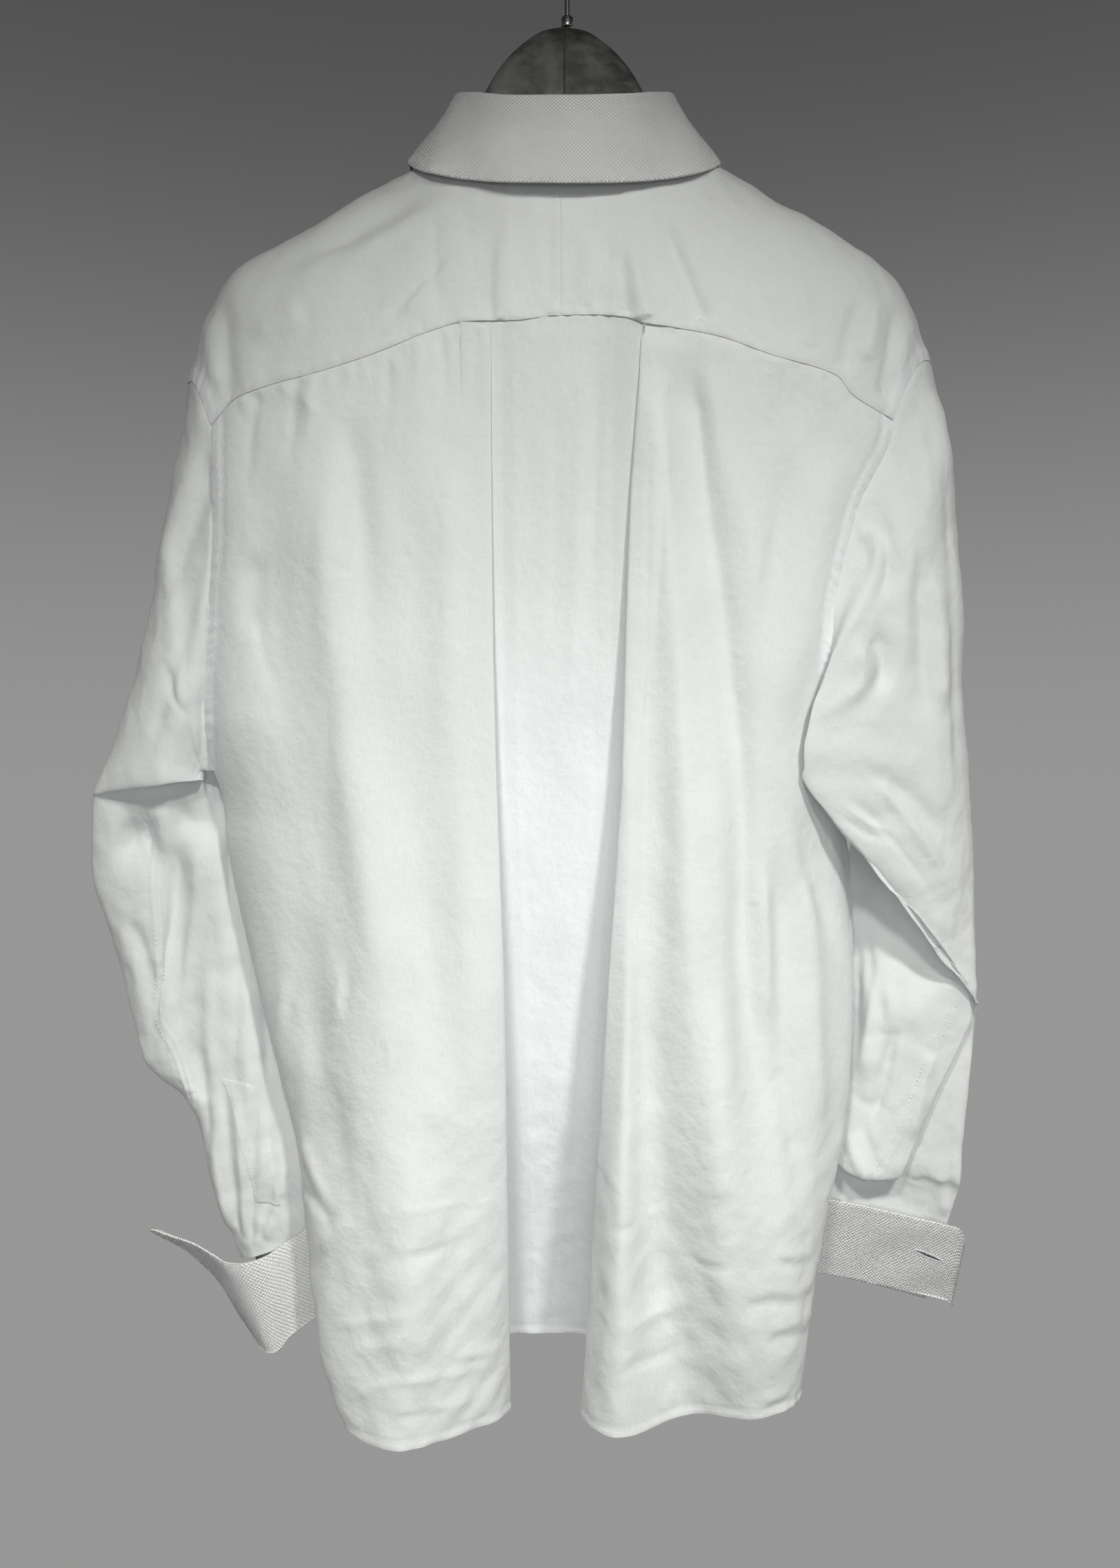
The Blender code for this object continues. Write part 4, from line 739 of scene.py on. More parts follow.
def relief(at, folds, scale=1.0):
    """Heights (mm) that listed folds give at plane points. A fold is its
    height, its widths before and after its line, how much of its length it takes
    to rise and to die away, and its line."""
    x, y = at[..., 0], at[..., 1]
    total = np.zeros(x.shape)
    for height, (before, after), (rise, fall), line in folds:
        line = np.asarray(line, float)
        # a narrow crease stays shallow
        narrow = min(before, after) * scale
        most = narrow * (0.25 + 0.27 * min(max((narrow - 5) / 9, 0), 1))
        height = math.copysign(min(abs(height), most), height)
        crisp = 1.35 if narrow <= 6.5 else 2.0
        if len(line) > 2:
            line = thread(line, [5] * (len(line) - 1))
        reach = 2.6 * max(before, after)
        low, high = line.min(0) - reach, line.max(0) + reach
        near = np.nonzero((x > low[0]) & (x < high[0]) & (y > low[1]) & (y < high[1]))
        if not len(near[0]):
            continue
        px, py = x[near], y[near]
        steps = np.diff(line, axis=0)
        lengths = np.maximum(np.linalg.norm(steps, axis=1), 1e-6)
        ends = np.concatenate([[0.0], np.cumsum(lengths)])
        best = np.full(px.shape, 1e9)
        along, sx, sy = np.zeros(px.shape), np.zeros(px.shape), np.zeros(px.shape)
        for k, (step, size) in enumerate(zip(steps, lengths)):
            t = np.clip(((px - line[k, 0]) * step[0] + (py - line[k, 1]) * step[1]) / size**2, 0, 1)
            dx, dy = px - line[k, 0] - t * step[0], py - line[k, 1] - t * step[1]
            gap = np.hypot(dx, dy)
            closer = gap < best
            best[closer], along[closer] = gap[closer], (ends[k] + t * size)[closer]
            sx[closer], sy[closer] = dx[closer], dy[closer]
        whole = line[-1] - line[0]
        side = sx if abs(whole[1]) >= abs(whole[0]) else sy
        width = np.where(side < 0, before, after)
        share = along / ends[-1]
        taper = ease(share / max(rise, 1e-3)) * ease((1 - share) / max(fall, 1e-3))
        total[near] += height * taper * np.exp(-((best / width) ** crisp))
    return total


def puckers(seed, line, spacing, height, width, amount, lean=0.0, sides=(1,)):
    """Small uneven folds that stand off a seam line."""
    rng = np.random.default_rng(seed)
    line = np.asarray(line, float)
    steps = np.diff(line, axis=0)
    ends = np.concatenate([[0.0], np.cumsum(np.linalg.norm(steps, axis=1))])
    found, at = [], 0.4 * spacing
    while at < ends[-1]:
        k = min(int(np.searchsorted(ends, at, side="right")) - 1, len(steps) - 1)
        along = steps[k] / max(np.linalg.norm(steps[k]), 1e-6)
        foot = line[k] + along * (at - ends[k])
        for side in sides:
            off = np.array([-along[1], along[0]]) * side
            tall = height * rng.uniform(0.45, 1.45)
            top = foot + off * tall + along * (lean + rng.uniform(-0.25, 0.25)) * tall
            w = width * rng.uniform(0.7, 1.35)
            found.append((amount * rng.uniform(0.35, 1.25), (w, w), (0.0, 0.7), [foot, top]))
        at += spacing * rng.uniform(0.55, 1.5)
    return found


def waves(points, length, seed, count=26, stretch=(1.0, 1.0, 0.45)):
    """Smooth uneven height from -1 to 1 or so, with features about length mm wide."""
    rng = np.random.default_rng(seed)
    ways = unit(rng.normal(size=(count, 3))) * (2 * math.pi / length) * rng.uniform(0.55, 1.5, (count, 1))
    ways = ways * np.array(stretch)
    starts = rng.uniform(0, 2 * math.pi, count)
    total = np.zeros(points.shape[:-1])
    for way, start in zip(ways, starts):
        total += np.sin(points @ way + start)
    return total / math.sqrt(count / 2)


def arcs(grid):
    """Lengths over the cloth from the first and last column and the first and last row."""
    across = np.linalg.norm(np.diff(grid, axis=1), axis=-1)
    first = np.concatenate([np.zeros((len(grid), 1)), np.cumsum(across, 1)], 1)
    down = np.linalg.norm(np.diff(grid, axis=0), axis=-1)
    top = np.concatenate([np.zeros((1, grid.shape[1])), np.cumsum(down, 0)], 0)
    return first, first[:, -1:] - first, top, top[-1:] - top


def to_line(points, line):
    """Distance from each point to a dense line, and how far along it the nearest spot is."""
    line = np.asarray(line, float)
    ends = np.concatenate([[0.0], np.cumsum(np.linalg.norm(np.diff(line, axis=0), axis=1))])
    flat = points.reshape(-1, 3)
    best, along = np.full(len(flat), 1e9), np.zeros(len(flat))
    for k in range(len(line) - 1):
        step = line[k + 1] - line[k]
        size = max(float(step @ step), 1e-9)
        t = np.clip(((flat - line[k]) @ step) / size, 0, 1)
        gap = np.linalg.norm(flat - line[k] - t[:, None] * step, axis=1)
        closer = gap < best
        best[closer] = gap[closer]
        along[closer] = (ends[k] + t * math.sqrt(size))[closer]
    return best.reshape(points.shape[:-1]), along.reshape(points.shape[:-1])


def ripple(along, length, seed):
    """Uneven ripple along a seam, from -1 to 1."""
    rng = np.random.default_rng(seed)
    a, b, c = rng.uniform(0, 6, 3)
    bent = along + 0.28 * length * np.sin(2 * math.pi * along / (4.3 * length) + a)
    size = 0.62 + 0.38 * np.sin(2 * math.pi * along / (6.7 * length) + b)
    return size * np.sin(2 * math.pi * bent / length + c)


# ---------------------------------------------------------------- meshes
def place(name, points, faces, mat, uv=None, tone_and_painted_light=None, loops_wrap=None, sharp=50):
    """A mesh object, in metres, that rides on the body."""
    mesh = bpy.data.meshes.new(name)
    mesh.from_pydata((np.asarray(points) * 0.001).tolist(), [], faces)
    mesh.update()
    if uv is not None:
        index = np.empty(len(mesh.loops), np.int32)
        mesh.loops.foreach_get("vertex_index", index)
        spots = uv[index]
        if loops_wrap is not None:
            first_face, around, width = loops_wrap
            starts = np.empty(len(mesh.polygons), np.int32)
            totals = np.empty(len(mesh.polygons), np.int32)
            mesh.polygons.foreach_get("loop_start", starts)
            mesh.polygons.foreach_get("loop_total", totals)
            face_of = np.repeat(np.arange(len(starts)), totals)
            high = np.full(len(starts), -1e9)
            np.maximum.at(high, face_of, spots[:, 0])
            behind = high[face_of] - spots[:, 0] > 0.5 * around
            spots = spots.copy()
            spots[behind, 0] += around
        layer = mesh.uv_layers.new(name="cloth")
        layer.data.foreach_set("uv", spots.astype(np.float32).ravel())
    if tone_and_painted_light is not None:
        layer = mesh.attributes.new("tone_and_painted_light", "FLOAT", "POINT")
        layer.data.foreach_set("value", tone_and_painted_light.astype(np.float32))
    mesh.shade_smooth()
    mesh.set_sharp_from_angle(angle=math.radians(sharp))
    mesh.materials.append(mat)
    obj = bpy.data.objects.new(name, mesh)
    bpy.context.scene.collection.objects.link(obj)
    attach(obj, "root")
    return obj


def solid(name, points, faces, mat, sharp=40):
    """A closed mesh whose faces are turned outwards."""
    points = np.asarray(points, float)
    centre = points.mean(0)
    volume = 0.0
    for face in faces:
        ring = points[list(face)] - centre
        for i in range(1, len(ring) - 1):
            volume += float(ring[0] @ np.cross(ring[i], ring[i + 1]))
    if volume < 0:
        faces = [tuple(face)[::-1] for face in faces]
    return place(name, points, faces, mat, sharp=sharp)


def shell_of(grid, facing, wall, every=3, wrap=False, thin=None):
    """Points and faces of a cloth: its outer face as the grid, and a coarser inner
    face. facing holds the outward normals. thin lowers the inner face."""
    rows, cols = grid.shape[:2]
    kept = list(range(0, rows - 1, every))
    if rows - 1 - kept[-1] < every / 2 and len(kept) > 1:
        kept.pop()
    kept.append(rows - 1)
    back = grid - facing * wall if thin is None else thin
    inner = back[kept]
    base = rows * cols
    last = cols if wrap else cols - 1
    c = np.arange(last)
    d = (c + 1) % cols
    r = np.arange(rows - 1)[:, None] * cols
    outer_faces = np.stack([r + c, r + d, r + d + cols, r + c + cols], -1).reshape(-1, 4)
    r = np.arange(len(kept) - 1)[:, None] * cols + base
    inner_faces = np.stack([r + c, r + c + cols, r + d + cols, r + d], -1).reshape(-1, 4)
    end_out, end_in = (rows - 1) * cols, base + (len(kept) - 1) * cols
    rim_top = np.stack([c, base + c, base + d, d + 0 * c], -1)
    rim_low = np.stack([end_out + c, end_out + d, end_in + d, end_in + c], -1)
    faces = outer_faces.tolist() + inner_faces.tolist() + rim_top.tolist() + rim_low.tolist()
    if not wrap:
        for k in range(len(kept) - 1):
            a, b = kept[k], kept[k + 1]
            low, high = base + k * cols, base + (k + 1) * cols
            faces.append([r * cols for r in range(a, b + 1)] + [high, low])
            faces.append([r * cols + cols - 1 for r in range(b, a - 1, -1)] + [low + cols - 1, high + cols - 1])
    # turn all faces the other way if the outer ones look inwards
    mid_r, mid_c = rows // 2, cols // 3
    a, b, e = grid[mid_r, mid_c], grid[mid_r, mid_c + 1], grid[mid_r + 1, mid_c]
    if np.dot(np.cross(b - a, e - a), facing[mid_r, mid_c]) < 0:
        faces = [face[::-1] for face in faces]
    return np.concatenate([grid.reshape(-1, 3), inner.reshape(-1, 3)]), faces, kept


def cloth(name, grid, lift, facing, mat, wall=PLY, every=3, wrap=False, tone_and_painted_light=None, turn_uv=False):
    """A cloth piece: a form, the height of its creases along the form's normals,
    and a wall."""
    outer = grid + facing * lift[..., None]
    padded = np.pad(lift, ((every - 1, every - 1), (0, 0)), mode="edge")
    lowest = np.min([padded[k:k + len(lift)] for k in range(2 * every - 1)], axis=0)
    back = grid + facing * (lowest - wall)[..., None]
    points, faces, kept = shell_of(outer, facing, wall, every, wrap, thin=back)
    if wrap:
        closed = np.concatenate([grid, grid[:, :1]], 1)
        first, _, top, _ = arcs(closed)
        around = float(first[:, -1].mean())
        share = first / first[:, -1:]
        u, v = (share * around)[:, :-1], top[:, :-1]
    else:
        first, _, top, _ = arcs(grid)
        u, v, around = first.mean(0)[None] + 0 * first, top, 0.0
    if turn_uv:
        u, v = v, u
    uv = np.stack([u, v], -1)
    uv = np.concatenate([uv.reshape(-1, 2), uv[kept].reshape(-1, 2)])
    if tone_and_painted_light is None:
        tone_and_painted_light = np.ones(lift.shape)
    tone_and_painted_light = np.concatenate([tone_and_painted_light.reshape(-1), tone_and_painted_light[kept].reshape(-1)])
    wrapping = (0, around, 0) if wrap else None
    obj = place(name, points, faces, mat, uv=uv, tone_and_painted_light=tone_and_painted_light, loops_wrap=wrapping)
    return obj, outer


def resample(path, extra, pitch, start=0.5):
    """Points at even lengths along a path, with the path's other values there."""
    path = np.asarray(path, float)
    ends = np.concatenate([[0.0], np.cumsum(np.linalg.norm(np.diff(path, axis=0), axis=1))])
    count = int(ends[-1] / pitch)
    at = (np.arange(count) + start) * pitch
    def read(values):
        return np.stack([np.interp(at, ends, values[:, i]) for i in range(values.shape[1])], -1)
    return read(path), read(np.asarray(extra, float)), at


STITCHES = {}


def sew(key, path, up, pitch=2.7, long=2.0, radius=0.22, seed=1, lift=0.06):
    """Adds a row of stitches along a path whose surface normals are up."""
    if len(path) < 2:
        return
    centre, n, _ = resample(path, up, pitch)
    if len(centre) < 2:
        return
    ahead = unit(np.gradient(centre, axis=0))
    n = unit(n - ahead * np.einsum("ij,ij->i", n, ahead)[:, None])
    side = np.cross(ahead, n)
    rng = np.random.default_rng(seed + len(centre))
    ahead = unit(ahead + side * rng.normal(0, 0.06, (len(centre), 1)))
    side = np.cross(ahead, n)
    centre = centre + n * lift + side * rng.normal(0, 0.05, (len(centre), 1))
    rings = [centre - ahead * long / 2 - n * radius * 1.2]
    for share in (-0.3, 0.3):
        mid = centre + ahead * long * share
        for s, h in ((1, 0), (0, 1), (-1, 0), (0, -1)):
            rings.append(mid + side * s * radius + n * h * radius * 0.9)
    rings.append(centre + ahead * long / 2 - n * radius * 1.2)
    points = np.stack(rings, 1)
    one = []
    for i in range(4):
        j = (i + 1) % 4
        one += [(0, 1 + j, 1 + i), (1 + i, 1 + j, 5 + j, 5 + i), (9, 5 + i, 5 + j)]
    sets = STITCHES.setdefault(key, [[], [], 0])
    for row in points:
        sets[0].append(row)
        sets[1] += [tuple(sets[2] + i for i in face) for face in one]
        sets[2] += len(row)


def on_surface(grid, facing, wanted, seen=None, count=5):
    """Points and normals of a grid where it shows at these photograph pixels."""
    px = photo(grid).reshape(-1, 2)
    flat, norm = grid.reshape(-1, 3), facing.reshape(-1, 3)
    mask = norm[:, 1] < 0.15 if seen is None else seen.reshape(-1)
    px, flat, norm = px[mask], flat[mask], norm[mask]
    found, up = [], []
    for spot in np.asarray(wanted, float):
        gap = np.hypot(*(px - spot).T)
        near = np.argpartition(gap, count)[:count]
        # keep to the layer nearest the camera
        front = flat[near, 1].min()
        near = near[flat[near, 1] < front + 6.0]
        weight = 1.0 / (gap[near] + 0.15) ** 2
        weight /= weight.sum()
        found.append((flat[near] * weight[:, None]).sum(0))
        up.append((norm[near] * weight[:, None]).sum(0))
    return np.array(found), unit(np.array(up))


def dense(line, step):
    """A photo polyline drawn as a smooth line with points about step apart."""
    line = np.asarray(line, float)
    if len(line) > 2:
        line = thread(line, [8] * (len(line) - 1))
    size = np.linalg.norm(np.diff(line, axis=0), axis=1)
    ends = np.concatenate([[0.0], np.cumsum(size)])
    at = np.linspace(0, ends[-1], max(2, int(ends[-1] / step) + 1))
    return np.stack([np.interp(at, ends, line[:, i]) for i in range(line.shape[1])], -1)


# ---------------------------------------------------------------- materials
class Nodes:
    """Short hand for a material's node tree."""

    def __init__(self, name):
        self.made = bpy.data.materials.new(name)
        self.made.use_nodes = True
        self.tree = self.made.node_tree
        self.shader = self.tree.nodes["Principled BSDF"]

    def node(self, kind, **settings):
        made = self.tree.nodes.new(kind)
        for key, value in settings.items():
            setattr(made, key, value)
        return made

    def link(self, source, target):
        self.tree.links.new(source, target)

    def value(self, node, slot, value):
        if isinstance(value, (int, float)):
            node.inputs[slot].default_value = value
        elif isinstance(value, tuple):
            node.inputs[slot].default_value = value
        else:
            self.link(value, node.inputs[slot])

    def math(self, operation, a, b=0.0, c=None):
        made = self.node("ShaderNodeMath", operation=operation)
        self.value(made, 0, a)
        self.value(made, 1, b)
        if c is not None:
            self.value(made, 2, c)
        return made.outputs[0]

    def noise(self, vector, scale, detail=2.0, rough=0.5, stretch=None):
        if stretch is not None:
            mapping = self.node("ShaderNodeMapping")
            self.link(vector, mapping.inputs["Vector"])
            mapping.inputs["Scale"].default_value = stretch
            vector = mapping.outputs[0]
        made = self.node("ShaderNodeTexNoise")
        self.link(vector, made.inputs["Vector"])
        made.inputs["Scale"].default_value = scale
        made.inputs["Detail"].default_value = detail
        made.inputs["Roughness"].default_value = rough
        return made.outputs[0]

    def spread(self, source, low, high, to_low=0.0, to_high=1.0):
        made = self.node("ShaderNodeMapRange")
        self.link(source, made.inputs["Value"])
        for key, value in (("From Min", low), ("From Max", high), ("To Min", to_low), ("To Max", to_high)):
            made.inputs[key].default_value = value
        return made.outputs[0]

    def blend(self, factor, a, b, kind="MIX"):
        made = self.node("ShaderNodeMix", data_type="RGBA", blend_type=kind)
        self.value(made, 0, factor)
        self.value(made, 6, a)
        self.value(made, 7, b)
        return made.outputs[2]

    def bump(self, height, distance, strength=1.0, normal=None):
        made = self.node("ShaderNodeBump")
        made.inputs["Strength"].default_value = strength
        made.inputs["Distance"].default_value = distance
        self.link(height, made.inputs["Height"])
        if normal is not None:
            self.link(normal, made.inputs["Normal"])
        return made.outputs[0]

    def finish(self, **values):
        for key, value in values.items():
            self.shader.inputs[key.replace("_", " ")].default_value = value
        return self.made


def grey(value):
    made = value if isinstance(value, tuple) else (value, value, value)
    return (*made, 1.0)


def poplin(name="white_poplin", light=(0.765, 0.78, 0.78), dark=(0.69, 0.706, 0.706), rumple=1.0):
    """Fine plain-woven white cotton, lightly rumpled."""
    m = Nodes(name)
    where = m.node("ShaderNodeUVMap", uv_map="cloth").outputs[0]
    place_in = m.node("ShaderNodeTexCoord").outputs["Object"]
    warp = m.noise(where, 1.0, 1.0, 0.5, stretch=(2.6, 0.10, 1.0))
    weft = m.noise(where, 1.0, 1.0, 0.5, stretch=(0.10, 2.6, 1.0))
    threads = m.math("MULTIPLY_ADD", warp, 0.58, m.math("MULTIPLY", weft, 0.42))
    mottled = m.noise(place_in, 11.0, 3.0, 0.55)
    # this attribute carries lighter seam bands and also painted light and shade
    tone_and_painted_light = m.node("ShaderNodeAttribute", attribute_name="tone_and_painted_light").outputs["Fac"]
    shade = m.spread(threads, 0.33, 0.67, 0.25, 1.0)
    colour = m.blend(shade, grey(dark), grey(light))
    mottle = m.spread(mottled, 0.3, 0.7, 0.965, 1.01)
    whole = m.math("MULTIPLY", tone_and_painted_light, mottle)
    tint = m.node("ShaderNodeCombineColor")
    m.link(whole, tint.inputs[0])
    m.link(m.math("MULTIPLY", whole, 1.0), tint.inputs[1])
    m.link(m.math("POWER", whole, 1.12), tint.inputs[2])
    m.link(m.blend(1.0, colour, tint.outputs[0], "MULTIPLY"), m.shader.inputs["Base Color"])
    soft = m.noise(place_in, 34.0, 2.0, 0.42, stretch=(1.0, 1.0, 0.55))
    fine = m.noise(place_in, 150.0, 3.0, 0.5)
    rumpled = m.math("MULTIPLY_ADD", soft, 1.0, m.math("MULTIPLY", fine, 0.45))
    first = m.bump(rumpled, 0.0015 * rumple, 1.0)
    m.link(m.bump(threads, 0.00012, 1.0, first), m.shader.inputs["Normal"])
    m.link(m.spread(threads, 0.3, 0.7, 0.86, 0.74), m.shader.inputs["Roughness"])
    return m.finish(Sheen_Weight=0.16, Sheen_Roughness=0.45, Specular_IOR_Level=0.28)


def pique(name="white_pique", light=(0.97, 0.975, 0.975), dark=(0.66, 0.665, 0.67)):
    """White cotton in a small raised diamond weave."""
    m = Nodes(name)
    where = m.node("ShaderNodeUVMap", uv_map="cloth").outputs[0]
    place_in = m.node("ShaderNodeTexCoord").outputs["Object"]
    parts = m.node("ShaderNodeSeparateXYZ")
    m.link(where, parts.inputs[0])
    turn = 2 * math.pi / 2.6
    a = m.math("SINE", m.math("MULTIPLY", m.math("ADD", parts.outputs[0], parts.outputs[1]), turn / 2.0))
    b = m.math("SINE", m.math("MULTIPLY", m.math("SUBTRACT", parts.outputs[0], parts.outputs[1]), turn / 2.0))
    # rounded diamonds with grooves between them
    groove = m.math("MINIMUM", m.math("ABSOLUTE", a), m.math("ABSOLUTE", b))
    diamond = m.math("POWER", groove, 0.55)
    thread_noise = m.noise(where, 1.0, 2.0, 0.6, stretch=(2.2, 2.2, 1.0))
    height = m.math("MULTIPLY_ADD", thread_noise, 0.35, diamond)
    mottled = m.noise(place_in, 14.0, 3.0, 0.55)
    tone_and_painted_light = m.node("ShaderNodeAttribute", attribute_name="tone_and_painted_light").outputs["Fac"]
    colour = m.blend(m.spread(height, 0.12, 1.0, 0.0, 1.0), grey(dark), grey(light))
    whole = m.math("MULTIPLY", tone_and_painted_light, m.spread(mottled, 0.3, 0.7, 0.955, 1.015))
    tint = m.node("ShaderNodeCombineColor")
    m.link(whole, tint.inputs[0])
    m.link(whole, tint.inputs[1])
    m.link(m.math("POWER", whole, 1.12), tint.inputs[2])
    m.link(m.blend(1.0, colour, tint.outputs[0], "MULTIPLY"), m.shader.inputs["Base Color"])
    soft = m.noise(place_in, 46.0, 3.0, 0.55)
    m.link(m.bump(height, 0.0007, 1.0, m.bump(soft, 0.0010, 1.0)), m.shader.inputs["Normal"])
    m.link(m.spread(height, 0.2, 1.0, 0.9, 0.78), m.shader.inputs["Roughness"])
    return m.finish(Sheen_Weight=0.12, Sheen_Roughness=0.45, Specular_IOR_Level=0.25)


def sewing_thread():
    """Twisted white thread."""
    m = Nodes("white_thread")
    place_in = m.node("ShaderNodeTexCoord").outputs["Object"]
    twist = m.noise(place_in, 2600.0, 1.0, 0.5)
    m.link(m.blend(m.spread(twist, 0.3, 0.7), grey((0.74, 0.755, 0.77)), grey((0.88, 0.89, 0.90))), m.shader.inputs["Base Color"])
    m.link(m.bump(twist, 0.00006, 1.0), m.shader.inputs["Normal"])
    return m.finish(Roughness=0.55, Sheen_Weight=0.1, Specular_IOR_Level=0.4)


def pearl():
    """Moulded mother-of-pearl-like button."""
    m = Nodes("pearl_button")
    place_in = m.node("ShaderNodeTexCoord").outputs["Object"]
    bands = m.noise(place_in, 190.0, 3.0, 0.6, stretch=(1.0, 1.0, 0.35))
    m.link(m.blend(m.spread(bands, 0.32, 0.68), grey((0.76, 0.75, 0.71)), grey((0.90, 0.90, 0.885))), m.shader.inputs["Base Color"])
    m.link(m.spread(bands, 0.3, 0.7, 0.32, 0.18), m.shader.inputs["Roughness"])
    m.link(m.bump(m.noise(place_in, 900.0, 2.0), 0.00003, 1.0), m.shader.inputs["Normal"])
    return m.finish(Coat_Weight=0.4, Coat_Roughness=0.12, Specular_IOR_Level=0.5)


def scuffed_black():
    """Charcoal-black moulding, rubbed grey in patches, with small chips."""
    m = Nodes("black_hanger")
    place_in = m.node("ShaderNodeTexCoord").outputs["Object"]
    cloud = m.noise(place_in, 34.0, 5.0, 0.62)
    rubs = m.noise(place_in, 120.0, 4.0, 0.65, stretch=(0.55, 1.0, 1.5))
    grain = m.noise(place_in, 1500.0, 2.0, 0.5)
    base = m.blend(m.spread(cloud, 0.38, 0.68), grey((0.045, 0.044, 0.042)), grey((0.19, 0.187, 0.182)))
    worn = m.blend(m.math("MULTIPLY", m.spread(rubs, 0.52, 0.70), 0.55), base, grey((0.19, 0.185, 0.178)))
    chips = m.node("ShaderNodeTexVoronoi", feature="F1")
    m.link(place_in, chips.inputs["Vector"])
    chips.inputs["Scale"].default_value = 95.0
    rare = m.math("MULTIPLY", m.math("LESS_THAN", chips.outputs["Distance"], 0.17), m.math("GREATER_THAN", m.noise(place_in, 23.0, 1.0), 0.60))
    colour = m.blend(rare, worn, grey((0.012, 0.012, 0.012)))
    m.link(colour, m.shader.inputs["Base Color"])
    m.link(m.spread(rubs, 0.35, 0.7, 0.42, 0.68), m.shader.inputs["Roughness"])
    first = m.bump(m.math("MULTIPLY", rare, -1.0), 0.0004, 1.0)
    m.link(m.bump(m.math("MULTIPLY_ADD", grain, 0.3, rubs), 0.00016, 1.0, first), m.shader.inputs["Normal"])
    return m.finish(Specular_IOR_Level=0.45)


def bright_steel():
    """Drawn steel wire with fine lengthwise marks."""
    m = Nodes("hook_steel")
    place_in = m.node("ShaderNodeTexCoord").outputs["Object"]
    marks = m.noise(place_in, 420.0, 3.0, 0.6, stretch=(1.0, 1.0, 0.12))
    m.link(m.blend(m.spread(marks, 0.35, 0.65), grey((0.50, 0.50, 0.49)), grey((0.70, 0.70, 0.69))), m.shader.inputs["Base Color"])
    m.link(m.spread(marks, 0.3, 0.7, 0.2, 0.36), m.shader.inputs["Roughness"])
    m.link(m.bump(marks, 0.00004, 1.0), m.shader.inputs["Normal"])
    return m.finish(Metallic=1.0)


def painted_slit_shadow():
    """Painted shadow: the dark of a buttonhole's opening, as a thin sheet on the cuff."""
    m = Nodes("buttonhole_painted_shadow")
    place_in = m.node("ShaderNodeTexCoord").outputs["Object"]
    m.link(m.blend(m.spread(m.noise(place_in, 1700.0), 0.3, 0.7), grey(0.07), grey(0.16)), m.shader.inputs["Base Color"])
    return m.finish(Roughness=0.95, Specular_IOR_Level=0.1)


def studio_floor():
    m = Nodes("pale_floor")
    place_in = m.node("ShaderNodeTexCoord").outputs["Object"]
    m.link(m.blend(m.spread(m.noise(place_in, 3.0, 3.0), 0.3, 0.7), grey(0.62), grey(0.66)), m.shader.inputs["Base Color"])
    return m.finish(Roughness=0.9, Specular_IOR_Level=0.1)


# ---------------------------------------------------------------- creases, in photograph pixels
# height (mm, + towards the viewer), widths left/above and right/below the line,
# share of the length over which it rises and dies away, line
YOKE_FOLDS = [
    (-2.55, (10, 5), (0.35, 0.0), [(724, 330), (714, 353), (712, 405), (712, 462)]),
    (1.65, (5, 12), (0.35, 0.0), [(736, 330), (727, 360), (725, 462)]),
    (-3.9, (15, 12), (0.3, 0.0), [(946, 287), (980, 361), (998, 405), (1020, 462)]),
    (3.0, (15, 12), (0.35, 0.0), [(915, 340), (924, 400), (937, 462)]),
    (-1.8, (8, 8), (0.4, 0.0), [(904, 353), (908, 455)]),
    (-2.7, (15, 15), (0.3, 0.3), [(452, 372), (560, 312), (650, 264)]),
    (1.8, (13, 13), (0.3, 0.3), [(480, 390), (575, 335), (655, 290)]),
    (-2.25, (13, 13), (0.3, 0.3), [(388, 402), (460, 362), (541, 320)]),
    (3.0, (20, 20), (0.4, 0.2), [(355, 492), (400, 470), (445, 450)]),
    (-1.8, (9, 9), (0.2, 0.4), [(554, 466), (600, 418), (665, 350)]),
    (1.35, (9, 9), (0.2, 0.4), [(580, 462), (625, 415), (680, 360)]),
    (-5.1, (8, 15), (0.35, 0.05), [(326, 425), (326, 500), (332, 585)]),
    (2.4, (12, 9), (0.35, 0.1), [(301, 440), (304, 500), (312, 560)]),
    (-5.4, (15, 8), (0.35, 0.1), [(1248, 425), (1238, 480), (1224, 540)]),
    (3.3, (11, 12), (0.3, 0.2), [(1270, 430), (1263, 480), (1255, 530)]),
    (-3.3, (9, 10), (0.3, 0.1), [(1303, 436), (1292, 500), (1280, 580)]),
    (1.95, (9, 9), (0.3, 0.2), [(1322, 450), (1312, 500), (1300, 560)]),
    (-1.35, (9, 9), (0.4, 0.2), [(640, 300), (630, 360), (636, 462)]),
    (-1.2, (8, 8), (0.5, 0.0), [(1090, 380), (1105, 430), (1124, 484)]),
    (1.35, (10, 10), (0.5, 0.0), [(1150, 370), (1165, 430), (1176, 500)]),
    (-1.35, (9, 9), (0.4, 0.3), [(800, 290), (797, 360), (801, 450)]),
    (1.5, (16, 16), (0.4, 0.3), [(850, 300), (852, 380), (850, 455)]),
]
